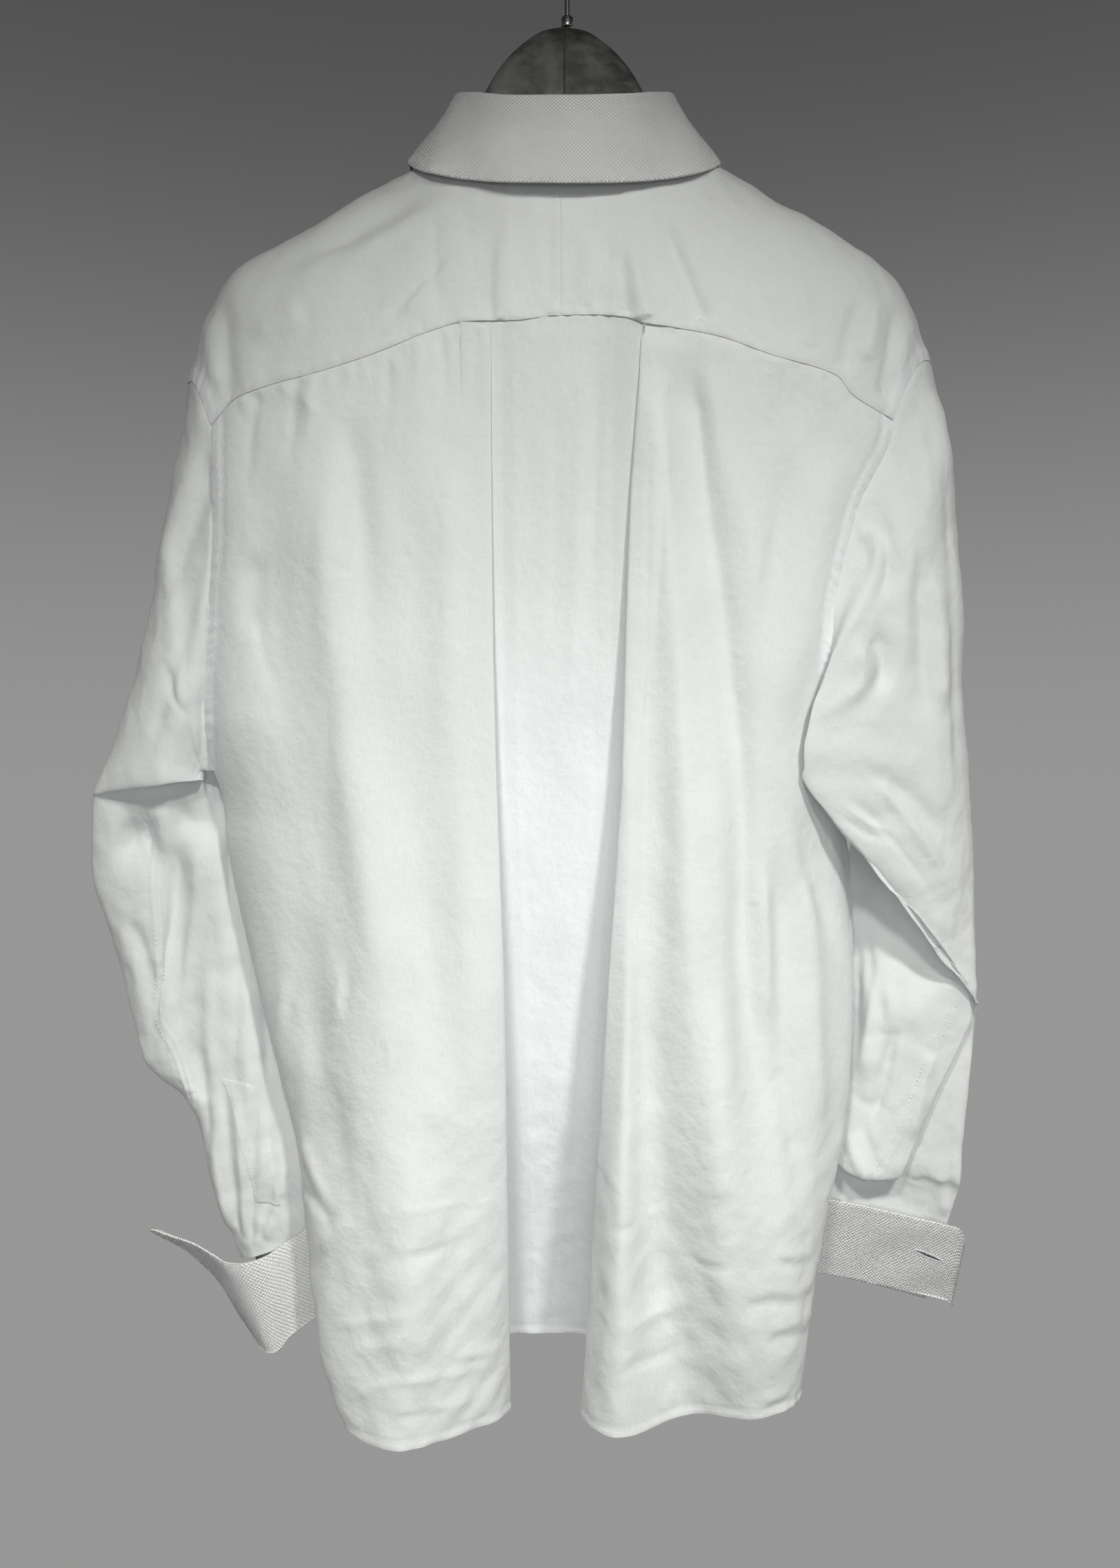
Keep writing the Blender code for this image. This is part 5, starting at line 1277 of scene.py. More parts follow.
BACK_FOLDS = [
    # left panel
    (1.4, (5, 5), (0.3, 0.3), [(423, 556), (445, 585), (472, 612)]),
    (-3.41, (18, 20), (0.3, 0.3), [(372, 790), (364, 850), (366, 930)]),
    (-2.17, (6, 9), (0.3, 0.3), [(368, 885), (378, 940), (392, 1005)]),
    (-1.4, (3, 5), (0.2, 0.3), [(482, 818), (497, 822), (516, 829)]),
    (-1.08, (4, 4), (0.3, 0.3), [(634, 860), (635, 910)]),
    (-1.24, (4, 4), (0.3, 0.3), [(581, 796), (596, 812)]),
    (0.93, (3, 4), (0.2, 0.2), [(559, 1758), (659, 1748), (732, 1741)]),
    (1.24, (4, 5), (0.3, 0.3), [(472, 1925), (540, 1915), (604, 1906)]),
    (1.71, (4, 7), (0.2, 0.2), [(500, 2032), (555, 2008), (620, 1999), (675, 1988), (732, 1973)]),
    (1.08, (4, 6), (0.3, 0.3), [(650, 1968), (690, 1963), (726, 1955)]),
    (1.71, (6, 8), (0.3, 0.4), [(414, 1415), (408, 1460), (404, 1505)]),
    (-1.55, (6, 6), (0.3, 0.4), [(427, 1415), (420, 1460), (417, 1510)]),
    (1.55, (7, 8), (0.3, 0.4), [(494, 1395), (490, 1440), (486, 1492)]),
    (-1.4, (5, 5), (0.3, 0.4), [(507, 1400), (502, 1445), (498, 1500)]),
    (-1.71, (5, 5), (0.2, 0.4), [(424, 1650), (440, 1700), (462, 1752)]),
    (1.71, (7, 7), (0.2, 0.4), [(438, 1650), (458, 1705), (482, 1760)]),
    (-1.86, (6, 8), (0.1, 0.5), [(436, 1722), (470, 1760), (482, 1800)]),
    (-2.48, (30, 30), (0.4, 0.4), [(560, 640), (600, 800), (610, 1000)]),
    (2.48, (28, 28), (0.4, 0.4), [(648, 620), (655, 850), (650, 1080)]),
    (-1.55, (8, 8), (0.0, 0.7), [(430, 545), (426, 600), (420, 700)]),
    (1.55, (9, 9), (0.0, 0.7), [(452, 540), (450, 600), (446, 660)]),
    (-1.4, (8, 8), (0.0, 0.7), [(560, 492), (564, 560), (560, 640)]),
    (-1.4, (7, 7), (0.0, 0.7), [(640, 480), (643, 550), (640, 620)]),
    (1.24, (8, 8), (0.0, 0.7), [(606, 484), (605, 560), (600, 600)]),
    (-1.55, (8, 8), (0.0, 0.6), [(370, 572), (362, 640), (356, 720)]),
    # the crease beside the right pleat, and the right panel
    (1.24, (3, 4), (0.3, 0.3), [(972, 622), (995, 675), (1022, 738)]),
    (3.41, (24, 26), (0.25, 0.3), [(1216, 620), (1172, 850), (1128, 1060)]),
    (-2.17, (16, 16), (0.3, 0.3), [(1150, 640), (1120, 820), (1090, 980)]),
    (-1.55, (3, 5), (0.2, 0.3), [(1131, 1548), (1127, 1566), (1122, 1584)]),
    (-1.4, (4, 6), (0.3, 0.3), [(884, 1790), (905, 1784), (926, 1779)]),
    (-1.4, (4, 8), (0.25, 0.25), [(1120, 1828), (1150, 1833), (1178, 1826)]),
    (1.03, (6, 5), (0.25, 0.25), [(1122, 1817), (1150, 1820), (1178, 1813)]),
    (-3.1, (4, 9), (0.25, 0.15), [(1078, 1899), (1112, 1888), (1152, 1888), (1186, 1866)]),
    (2.17, (9, 4), (0.25, 0.2), [(1084, 1884), (1115, 1874), (1152, 1873), (1180, 1852)]),
    (-2.49, (4, 9), (0.2, 0.1), [(1106, 1946), (1140, 1936), (1166, 1930), (1186, 1918)]),
    (1.74, (10, 4), (0.2, 0.2), [(1112, 1930), (1145, 1920), (1182, 1902)]),
    (-1.86, (4, 7), (0.3, 0.3), [(1102, 2045), (1126, 2036), (1148, 2025)]),
    (1.4, (7, 4), (0.3, 0.3), [(1104, 2033), (1126, 2025), (1146, 2014)]),
    (-1.4, (7, 7), (0.0, 0.7), [(1085, 488), (1092, 540), (1098, 610)]),
    (-1.55, (8, 8), (0.0, 0.7), [(1160, 512), (1160, 570), (1150, 650)]),
    (1.4, (9, 9), (0.0, 0.7), [(1120, 500), (1124, 560), (1128, 640)]),
    (1.4, (8, 8), (0.0, 0.7), [(1192, 530), (1188, 590), (1180, 650)]),
    # the right flap's long ridge and valley
    (-5.2, (14, 9), (0.25, 0.25), [(1126, 1200), (1137, 1300), (1141, 1450), (1142, 1560), (1152, 1660), (1170, 1780)]),
    (4.2, (13, 16), (0.2, 0.3), [(1172, 1240), (1176, 1400), (1180, 1560), (1186, 1690)]),
    (3.0, (12, 10), (0.3, 0.3), [(1110, 1240), (1114, 1380), (1116, 1520)]),
    (-1.0, (2.6, 2.6), (0.1, 0.2), [(937, 475), (939, 800), (937, 1210)]),
    # the left panel's long ridge and the wedge beside it
    (1.6, (11, 11), (0.4, 0.4), [(466, 1818), (486, 1790), (506, 1760)]),
    (6.4, (30, 22), (0.15, 0.35), [(955, 520), (964, 700), (975, 850), (985, 1000), (992, 1150), (998, 1316), (1000, 1460), (1006, 1640)]),
    (-10.0, (34, 17), (0.08, 0.35), [(992, 493), (1012, 600), (1026, 700), (1050, 850), (1062, 960), (1073, 1050), (1082, 1150), (1086, 1316), (1092, 1450), (1106, 1600), (1122, 1760)]),
    (3.4, (16, 30), (0.3, 0.4), [(1058, 620), (1082, 760), (1100, 880), (1114, 1020), (1122, 1160)]),
    (4.2, (30, 34), (0.35, 0.35), [(1036, 1400), (1040, 1600), (1048, 1780), (1050, 1980)]),
    (-4.0, (26, 26), (0.35, 0.3), [(946, 1380), (952, 1560), (958, 1740), (962, 1980)]),
    (5.4, (30, 38), (0.25, 0.35), [(466, 600), (474, 740), (480, 860), (494, 1000), (512, 1150), (537, 1300), (560, 1450), (580, 1640)]),
    (-5.2, (18, 24), (0.25, 0.45), [(500, 580), (514, 690), (522, 800), (534, 960)]),
    (-4.0, (36, 40), (0.35, 0.35), [(566, 960), (596, 1160), (626, 1400), (650, 1640)]),
    (3.6, (34, 36), (0.35, 0.35), [(640, 760), (660, 1060), (684, 1400), (694, 1780)]),
    (-4.4, (26, 28), (0.35, 0.35), [(426, 1260), (446, 1440), (474, 1620), (508, 1820)]),
    (3.4, (30, 34), (0.35, 0.3), [(596, 1640), (598, 1820), (590, 2030)]),
    (-2.6, (34, 28), (0.3, 0.4), [(398, 660), (396, 800), (404, 960), (424, 1180)]),
    (-2.2, (30, 30), (0.45, 0.3), [(668, 1560), (664, 1800), (660, 2040)]),
    (1.0, (9, 10), (0.35, 0.35), [(500, 1960), (560, 1950), (610, 1930)]),
    (-1.1, (9, 10), (0.35, 0.35), [(560, 1830), (620, 1816), (690, 1800)]),
    (1.1, (9, 9), (0.35, 0.35), [(900, 1930), (946, 1912), (1000, 1890)]),
    (-1.2, (10, 9), (0.35, 0.35), [(880, 1996), (936, 1976), (990, 1960)]),
    (-3.4, (13, 20), (0.5, 0.4), [(1162, 1140), (1170, 1210), (1186, 1290), (1206, 1380)]),
    (-3.2, (46, 30), (0.35, 0.35), [(1092, 980), (1112, 1200), (1118, 1450), (1108, 1700)]),
    (2.4, (30, 30), (0.4, 0.35), [(1168, 1380), (1172, 1500), (1166, 1700), (1150, 1860)]),
    # small marks near the hem and across the panels
    (0.9, (4, 5), (0.3, 0.3), [(612, 2046), (660, 2036), (700, 2020)]),
    (-0.9, (4, 5), (0.3, 0.3), [(556, 2060), (600, 2056), (640, 2048)]),
    (0.8, (4, 4), (0.3, 0.4), [(840, 2040), (862, 2052), (880, 2060)]),
    (-1.2, (5, 6), (0.3, 0.4), [(990, 1820), (1024, 1836), (1060, 1838)]),
    (1.0, (5, 5), (0.3, 0.4), [(560, 1496), (566, 1530), (564, 1570)]),
    (-1.0, (5, 5), (0.3, 0.4), [(1012, 1476), (1020, 1520), (1016, 1560)]),
    (0.9, (4, 4), (0.3, 0.4), [(600, 1380), (606, 1420), (603, 1450)]),
    # the recessed centre
    (1.24, (4, 8), (0.2, 0.2), [(727, 880), (733, 1000), (743, 1160)]),
    (-1.08, (6, 6), (0.3, 0.3), [(800, 500), (806, 700), (800, 980)]),
    (1.24, (10, 10), (0.3, 0.3), [(842, 520), (838, 760), (826, 1100)]),
    (-1.24, (7, 7), (0.3, 0.3), [(868, 480), (866, 640), (856, 900)]),
]
SLEEVE_RIGHT_FOLDS = [
    (7.36, (12, 13), (0.25, 0.35), [(1226, 925), (1246, 946), (1250, 976), (1238, 1006), (1216, 1034)]),
    (-6.4, (12, 13), (0.3, 0.35), [(1256, 908), (1278, 940), (1282, 980), (1268, 1012)]),
    (-3.6, (16, 16), (0.35, 0.35), [(1256, 1120), (1300, 1140), (1344, 1180), (1380, 1240)]),
    (5.76, (11, 9), (0.3, 0.3), [(1236, 770), (1262, 776), (1274, 800), (1264, 836)]),
    (-6.4, (9, 10), (0.3, 0.3), [(1268, 744), (1286, 780), (1288, 826), (1276, 880)]),
    (2.32, (12, 12), (0.3, 0.4), [(1310, 760), (1318, 810), (1316, 880)]),
    (-3.48, (12, 8), (0.3, 0.2), [(1326, 800), (1338, 890), (1344, 980), (1350, 1045)]),
    (2.61, (10, 12), (0.3, 0.2), [(1352, 810), (1362, 900), (1368, 990), (1370, 1040)]),
    (2.17, (13, 13), (0.3, 0.3), [(1304, 830), (1312, 910), (1318, 985)]),
    (-1.74, (5, 6), (0.2, 0.3), [(1216, 1184), (1255, 1208), (1292, 1221)]),
    (1.45, (6, 5), (0.2, 0.3), [(1228, 1172), (1262, 1196), (1298, 1207)]),
    (-2.32, (6, 9), (0.2, 0.3), [(1232, 1150), (1290, 1215), (1330, 1265), (1372, 1330)]),
    (2.17, (9, 9), (0.2, 0.3), [(1262, 1120), (1310, 1180), (1352, 1240), (1382, 1300)]),
    (-2.03, (8, 7), (0.2, 0.2), [(1370, 640), (1380, 800), (1386, 1000), (1392, 1180)]),
    (-1.89, (9, 9), (0.2, 0.3), [(1300, 640), (1316, 700), (1330, 780)]),
    (1.74, (10, 10), (0.2, 0.3), [(1330, 600), (1342, 680), (1350, 760)]),
    # the cloth lies back under the elbow fold
    (-9.0, (40, 36), (0.15, 0.2), [(1226, 1262), (1280, 1330), (1338, 1400), (1372, 1440)]),
    (-5.0, (20, 16), (0.3, 0.3), [(1238, 1330), (1236, 1430), (1232, 1540)]),
    (5.76, (13, 12), (0.3, 0.3), [(1262, 1400), (1262, 1480), (1252, 1580)]),
    (-5.76, (11, 11), (0.3, 0.3), [(1290, 1470), (1284, 1560), (1256, 1650)]),
    # lower sleeve, seen under the elbow fold
    (-2.03, (7, 7), (0.2, 0.4), [(1246, 1330), (1262, 1420), (1246, 1520)]),
    (3.25, (9, 9), (0.3, 0.4), [(1286, 1400), (1290, 1480), (1262, 1570)]),
    (-3.25, (8, 6), (0.2, 0.3), [(1326, 1480), (1316, 1540), (1292, 1610)]),
    (3.71, (8, 10), (0.2, 0.3), [(1352, 1520), (1336, 1590), (1318, 1660)]),
    (-4.18, (7, 7), (0.2, 0.2), [(1250, 1620), (1262, 1670), (1284, 1712)]),
    (3.02, (7, 7), (0.2, 0.2), [(1234, 1640), (1240, 1680), (1262, 1716)]),
    (-4.64, (5, 7), (0.2, 0.1), [(1372, 1590), (1360, 1660), (1334, 1722)]),
    (3.47, (7, 6), (0.2, 0.1), [(1350, 1640), (1340, 1690), (1318, 1722)]),
    (-2.78, (6, 6), (0.2, 0.3), [(1380, 1620), (1376, 1690), (1382, 1760)]),
    (2.78, (6, 6), (0.2, 0.3), [(1362, 1700), (1366, 1740), (1376, 1772)]),
    (-2.32, (5, 7), (0.3, 0.3), [(1226, 1580), (1256, 1600), (1290, 1596)]),
    (-2.08, (4, 5), (0.3, 0.3), [(1244, 1508), (1280, 1500), (1316, 1508)]),
]
SLEEVE_LEFT_FOLDS = [
    (1.96, (14, 14), (0.3, 0.3), [(296, 840), (280, 950), (262, 1080)]),
    (-1.82, (10, 10), (0.3, 0.3), [(270, 900), (244, 1000), (214, 1100)]),
    (-1.54, (7, 7), (0.3, 0.3), [(238, 950), (250, 1010), (282, 1050)]),
    (-3.4, (16, 16), (0.2, 0.3), [(312, 640), (290, 730), (250, 830), (212, 910)]),
    (3.0, (14, 15), (0.2, 0.3), [(280, 650), (258, 750), (222, 840), (196, 900)]),
    # the cloth lies back under the elbow fold
    (-11.6, (34, 34), (0.35, 0.3), [(160, 1216), (196, 1216), (236, 1210)]),
    (-8.7, (26, 30), (0.3, 0.3), [(240, 1190), (290, 1190), (330, 1194)]),
    # the creased triangle and the lower sleeve
    (2.03, (9, 9), (0.3, 0.3), [(166, 1330), (196, 1400), (206, 1470)]),
    (-2.03, (8, 8), (0.3, 0.3), [(182, 1320), (214, 1400), (220, 1480)]),
    (-4.47, (8, 10), (0.2, 0.3), [(258, 1200), (252, 1339), (243, 1387), (229, 1450), (214, 1522)]),
    (3.65, (11, 13), (0.2, 0.3), [(286, 1210), (282, 1339), (272, 1400), (258, 1470)]),
    (-3.36, (13, 4), (0.2, 0.3), [(348, 1330), (343, 1468), (343, 1576), (350, 1660)]),
    (2.24, (5, 12), (0.2, 0.3), [(360, 1330), (357, 1468), (358, 1576), (362, 1660)]),
    (-2.44, (6, 6), (0.3, 0.3), [(330, 1200), (334, 1300), (331, 1400)]),
    (-3.36, (11, 11), (0.3, 0.2), [(386, 1380), (390, 1500), (388, 1700)]),
    (2.64, (10, 10), (0.3, 0.3), [(306, 1380), (304, 1500), (312, 1600)]),
    (-2.44, (8, 8), (0.3, 0.3), [(284, 1500), (296, 1600), (306, 1690)]),
    (-4.67, (7, 8), (0.3, 0.1), [(318, 1540), (330, 1660), (346, 1805)]),
    (3.86, (8, 8), (0.3, 0.1), [(338, 1560), (350, 1680), (354, 1800)]),
    (-3.08, (9, 7), (0.3, 0.1), [(374, 1560), (368, 1680), (362, 1805)]),
    (2.38, (6, 6), (0.3, 0.1), [(412, 1700), (400, 1750), (384, 1800)]),
    (-2.38, (5, 5), (0.3, 0.1), [(400, 1680), (390, 1745), (374, 1800)]),
    (-0.84, (3, 4), (0.3, 0.3), [(352, 1716), (376, 1708), (392, 1690)]),
    (2.64, (7, 7), (0.3, 0.2), [(306, 1640), (318, 1720), (332, 1800)]),
]
# creases of the same kind on the hidden side: x and depth below the hook, in mm
FRONT_FOLDS = [
    (-2.4, (12, 9), (0.2, 0.4), [(-96, 262), (-84, 360), (-78, 470), (-82, 600)]),
    (2.0, (12, 12), (0.3, 0.4), [(-66, 270), (-56, 380), (-54, 520)]),
    (-1.6, (10, 10), (0.2, 0.4), [(-150, 300), (-142, 400), (-128, 520)]),
    (-2.6, (10, 13), (0.2, 0.4), [(92, 262), (82, 350), (86, 460), (78, 590)]),
    (2.0, (12, 12), (0.3, 0.4), [(60, 280), (62, 400), (58, 530)]),
    (-1.5, (10, 10), (0.2, 0.4), [(150, 300), (142, 410), (130, 520)]),
    (-2.0, (9, 11), (0.3, 0.3), [(-70, 640), (-66, 760), (-72, 900)]),
    (1.8, (12, 12), (0.3, 0.3), [(-96, 640), (-94, 780), (-98, 940)]),
    (2.0, (12, 12), (0.3, 0.3), [(72, 650), (70, 780), (76, 930)]),
    (-2.0, (11, 9), (0.3, 0.3), [(98, 640), (96, 760), (104, 890)]),
    (-1.2, (3, 5), (0.2, 0.3), [(-130, 842), (-105, 836), (-84, 842)]),
    (-1.4, (3, 5), (0.2, 0.3), [(70, 872), (96, 862), (124, 866)]),
    (-1.0, (3, 4), (0.2, 0.3), [(-60, 905), (-44, 900), (-26, 904)]),
    (1.4, (10, 10), (0.4, 0.4), [(36, 700), (34, 800), (38, 930)]),
    (-1.2, (8, 8), (0.4, 0.4), [(-36, 690), (-38, 800), (-34, 920)]),
    (-1.8, (7, 9), (0.1, 0.5), [(-190, 560), (-160, 600), (-120, 622)]),
    (-1.8, (7, 9), (0.1, 0.5), [(165, 560), (140, 600), (104, 618)]),
    (1.3, (8, 8), (0.1, 0.5), [(-192, 582), (-160, 624), (-124, 648)]),
    (1.3, (8, 8), (0.1, 0.5), [(172, 584), (142, 626), (108, 646)]),
    (-0.9, (4, 4), (0.3, 0.3), [(-120, 300), (-116, 360), (-112, 420)]),
    (-0.9, (4, 4), (0.3, 0.3), [(118, 300), (114, 370), (110, 430)]),
]
SLEEVE_BACK_FOLDS = [
    (-2.0, (9, 10), (0.2, 0.4), [(-262, 380), (-272, 460), (-280, 560)]),
    (1.7, (10, 10), (0.2, 0.4), [(-248, 400), (-254, 500), (-262, 580)]),
    (-2.0, (5, 9), (0.2, 0.3), [(-306, 590), (-276, 598), (-242, 590)]),
    (1.8, (9, 5), (0.2, 0.3), [(-306, 604), (-276, 614), (-240, 604)]),
    (-1.8, (5, 8), (0.2, 0.3), [(-304, 640), (-270, 634), (-234, 644)]),
    (-1.6, (9, 9), (0.3, 0.3), [(-262, 660), (-246, 740), (-222, 840)]),
    (1.6, (9, 9), (0.3, 0.3), [(-236, 660), (-216, 740), (-196, 840)]),
    (-1.5, (7, 7), (0.3, 0.1), [(-204, 780), (-196, 830), (-186, 870)]),
    (1.3, (7, 7), (0.3, 0.1), [(-222, 800), (-212, 840), (-200, 872)]),
    (-2.0, (10, 9), (0.2, 0.4), [(254, 370), (256, 460), (250, 560)]),
    (1.7, (10, 10), (0.2, 0.4), [(238, 400), (238, 500), (232, 590)]),
    (-2.0, (5, 9), (0.2, 0.3), [(272, 700), (246, 712), (214, 704)]),
    (1.8, (9, 5), (0.2, 0.3), [(272, 716), (244, 728), (212, 722)]),
    (-1.6, (5, 8), (0.2, 0.3), [(270, 752), (240, 748), (206, 760)]),
    (-1.6, (9, 9), (0.3, 0.3), [(238, 770), (228, 810), (214, 850)]),
    (1.5, (8, 8), (0.3, 0.1), [(256, 770), (250, 810), (240, 860)]),
    (1.2, (7, 7), (0.3, 0.1), [(196, 800), (192, 830), (186, 850)]),
]


# felled underarm seams where they show: line in photograph pixels, half width in mm
LEFT_SEAMS = [
    ([(213, 1188), (226, 1222), (224, 1270), (228, 1330), (232, 1405), (228, 1475), (254, 1522), (271, 1572), (280, 1602)], 3.6),
]
RIGHT_SEAMS = [
    ([(1384, 1452), (1347, 1538), (1313, 1622), (1282, 1686), (1272, 1716)], 3.6),
]
LOOSE = {}


# ---------------------------------------------------------------- collar and cuffs, drawn finely
def leaf_fine(rows, cols):
    """Collar leaf: a roll over the stand, then down to the free edge."""
    a = np.linspace(-178, 178, cols)
    side = np.where(a < 0, 1.0, -1.0)
    angle = np.abs(a)
    high, low = neck_point(angle, side, COLLAR_FOLD), neck_point(angle, side, COLLAR_EDGE)
    out = low - high
    out[:, 2] = 0.0
    out = unit(out)
    clear = 4.6 + np.where(side > 0, 2.0, 3.4) * np.clip((angle - 130) / 25, 0, 1)
    ahead = np.stack([0 * a, np.where(side < 0, 2.6, 1.0) * np.clip((angle - 140) / 20, 0, 1), 0 * a], -1)
    up = np.array([0.0, 0.0, 1.0])
    grid = [high + out * (clear - 4.0)[:, None] - up * 1.0 + ahead]
    for t in np.linspace(math.pi, 0.12, 12):
        grid.append(high + out * (clear - 2.0 + 2.0 * math.cos(t))[:, None] + up * (1.4 * math.sin(t) - 0.2) + ahead)
    for r in np.linspace(0.02, 1.0, rows - 13):
        bulge = 2.0 * math.sin(math.pi * r)
        grid.append(mix(high + out * clear[:, None], low, r) - up * 0.2 * (1 - r) ** 4 + out * bulge + ahead)
    return np.array(grid)


def stand_fine(rows, cols):
    """Collar stand: from the neck seam up to the fold."""
    a = np.linspace(-186, 186, cols)
    side = np.where(a < 0, 1.0, -1.0)
    angle = np.minimum(np.abs(a), 180.0)
    low = neck_point(angle, side) + np.array([0, 0, 0.2])
    high = neck_point(np.minimum(angle, 178.0), side, COLLAR_FOLD) + np.array([0, 0, -0.8])
    past = np.abs(a) - 180.0
    grid = []
    for r in np.linspace(0, 1, rows + 1):
        # near the button the front ends stay lower, with rounded corners
        front = ease((np.abs(a) - 150.0) / 30.0)
        drop = front * 6.0 * r + ease((past + 2.0) / 8.0) * 5.0 * r**3
        p = mix(low, high, r) - np.stack([0 * a, 0 * a, drop], -1)
        p[:, 1] += 1.4 * np.clip((np.abs(a) - 150) / 20, 0, 1) * (-side)
        pulled = side * mix(p[:, 0] * side, -9.0, np.clip((past + 10) / 16, 0, 1))
        p[:, 0] = np.where(past > -10, pulled, p[:, 0])
        grid.append(p)
    return np.array(grid)


def cuff_lines(table, sign):
    rim = np.stack([table["x"], table["y"], table["z"]], -1)
    lean = unit(np.stack([table["lean_x"], table["lean_y"], table["lean_z"]], -1))
    counts = [14] * (len(rim) - 1)
    edge, way = thread(rim, counts), unit(thread(lean, counts))
    flat = np.array([edge + way * d for d in (0.0, 20.0, 40.0, 60.0)])
    facing = unit((normals(flat) * sign).mean(0))
    # rims ride the sleeve, so the line is kept, and the facing is smoothed along it
    for _ in range(8):
        facing[1:-1] = unit(facing[:-2] + 2 * facing[1:-1] + facing[2:])
    return edge, way, facing, None


def bars(centre, along, up, long, radius):
    """Short rounded bars: centres, directions and surface normals."""
    side = np.cross(along, up)
    rings = [centre - along * long / 2 - up * radius]
    for share in (-0.32, 0.32):
        for s, h in ((1, 0), (0, 1), (-1, 0), (0, -1)):
            rings.append(centre + along * long * share + side * s * radius + up * h * radius)
    rings.append(centre + along * long / 2 - up * radius)
    points = np.stack(rings, 1)
    faces = []
    for k in range(len(points)):
        base = 10 * k
        for i in range(4):
            j = (i + 1) % 4
            faces += [(base, base + 1 + j, base + 1 + i), (base + 1 + i, base + 1 + j, base + 5 + j, base + 5 + i),
                      (base + 9, base + 5 + i, base + 5 + j)]
    return points.reshape(-1, 3), faces


def buttonhole(name, on_leaf, spots, mat):
    """A worked buttonhole on a cuff's leaf: close satin stitches, and a painted shadow sheet for the slit's opening."""
    (s0, v0), (s1, v1) = spots
    t = np.linspace(0, 2 * math.pi, 90, endpoint=False)
    half = math.hypot(s1 - s0, v1 - v0) / 2
    run = np.array([s1 - s0, v1 - v0]) / (2 * half)
    off = np.array([-run[1], run[0]])
    mid = np.array([(s0 + s1) / 2, (v0 + v1) / 2])

    def ring(wide, extra):
        u, w = (half + extra) * np.sign(np.cos(t)) * np.abs(np.cos(t)) ** 0.9, wide * np.sin(t)
        return mid[0] + run[0] * u + off[0] * w, mid[1] + run[1] * u + off[1] * w

    a, up = on_leaf(*ring(1.0, 0.0))
    b, _ = on_leaf(*ring(2.3, 1.3))
    points, faces = bars((a + b) / 2 + up * 0.12, unit(b - a), up, 1.7, 0.27)
    satin = place(name, points, faces, mat, sharp=70)
    # painted shadow: a dark lens laid just over the leaf, for the shade inside the slit
    u = np.linspace(-1, 1, 25)
    rows = []
    for w in (-0.75, -0.25, 0.3, 0.85):
        wide = w * (1 - u**2) ** 0.7 + 0.0 * u
        p, pn = on_leaf(mid[0] + run[0] * u * half + off[0] * wide, mid[1] + run[1] * u * half + off[1] * wide)
        rows.append(p + pn * 0.10)
    grid = np.array(rows).transpose(1, 0, 2)
    n = facing_of(grid, 1.0)
    if np.dot(n[12, 1], pn[12]) < 0:
        n = -n
    points, faces, _ = shell_of(grid, n, 0.18, every=1)
    slit = place(name + "_slit", points, faces, painted_slit_shadow() if "buttonhole_painted_shadow" not in bpy.data.materials
                 else bpy.data.materials["buttonhole_painted_shadow"], sharp=70)
    side = "left" if "left" in name else "right"
    LOOSE.setdefault(f"cuff_cloth_{side}", []).extend([satin, slit])


def upright_hole(name, centre, axis, mat):
    """A worked buttonhole standing under a front button."""
    down = unit(np.cross(axis, [1.0, 0, 0]))
    across = np.cross(down, axis)
    t = np.linspace(0, 2 * math.pi, 64, endpoint=False)
    def ring(wide, tall):
        return centre + down * (tall * np.cos(t))[:, None] + across * (wide * np.sin(t))[:, None]
    a, b = ring(0.35, 8.0), ring(1.5, 9.0)
    points, faces = bars((a + b) / 2 + axis * 0.05, unit(b - a), np.broadcast_to(axis, a.shape), 1.4, 0.2)
    obj = place(name, points, faces, mat, sharp=70)
    LOOSE.setdefault("shirt_placket", []).append(obj)


BUTTON = {}


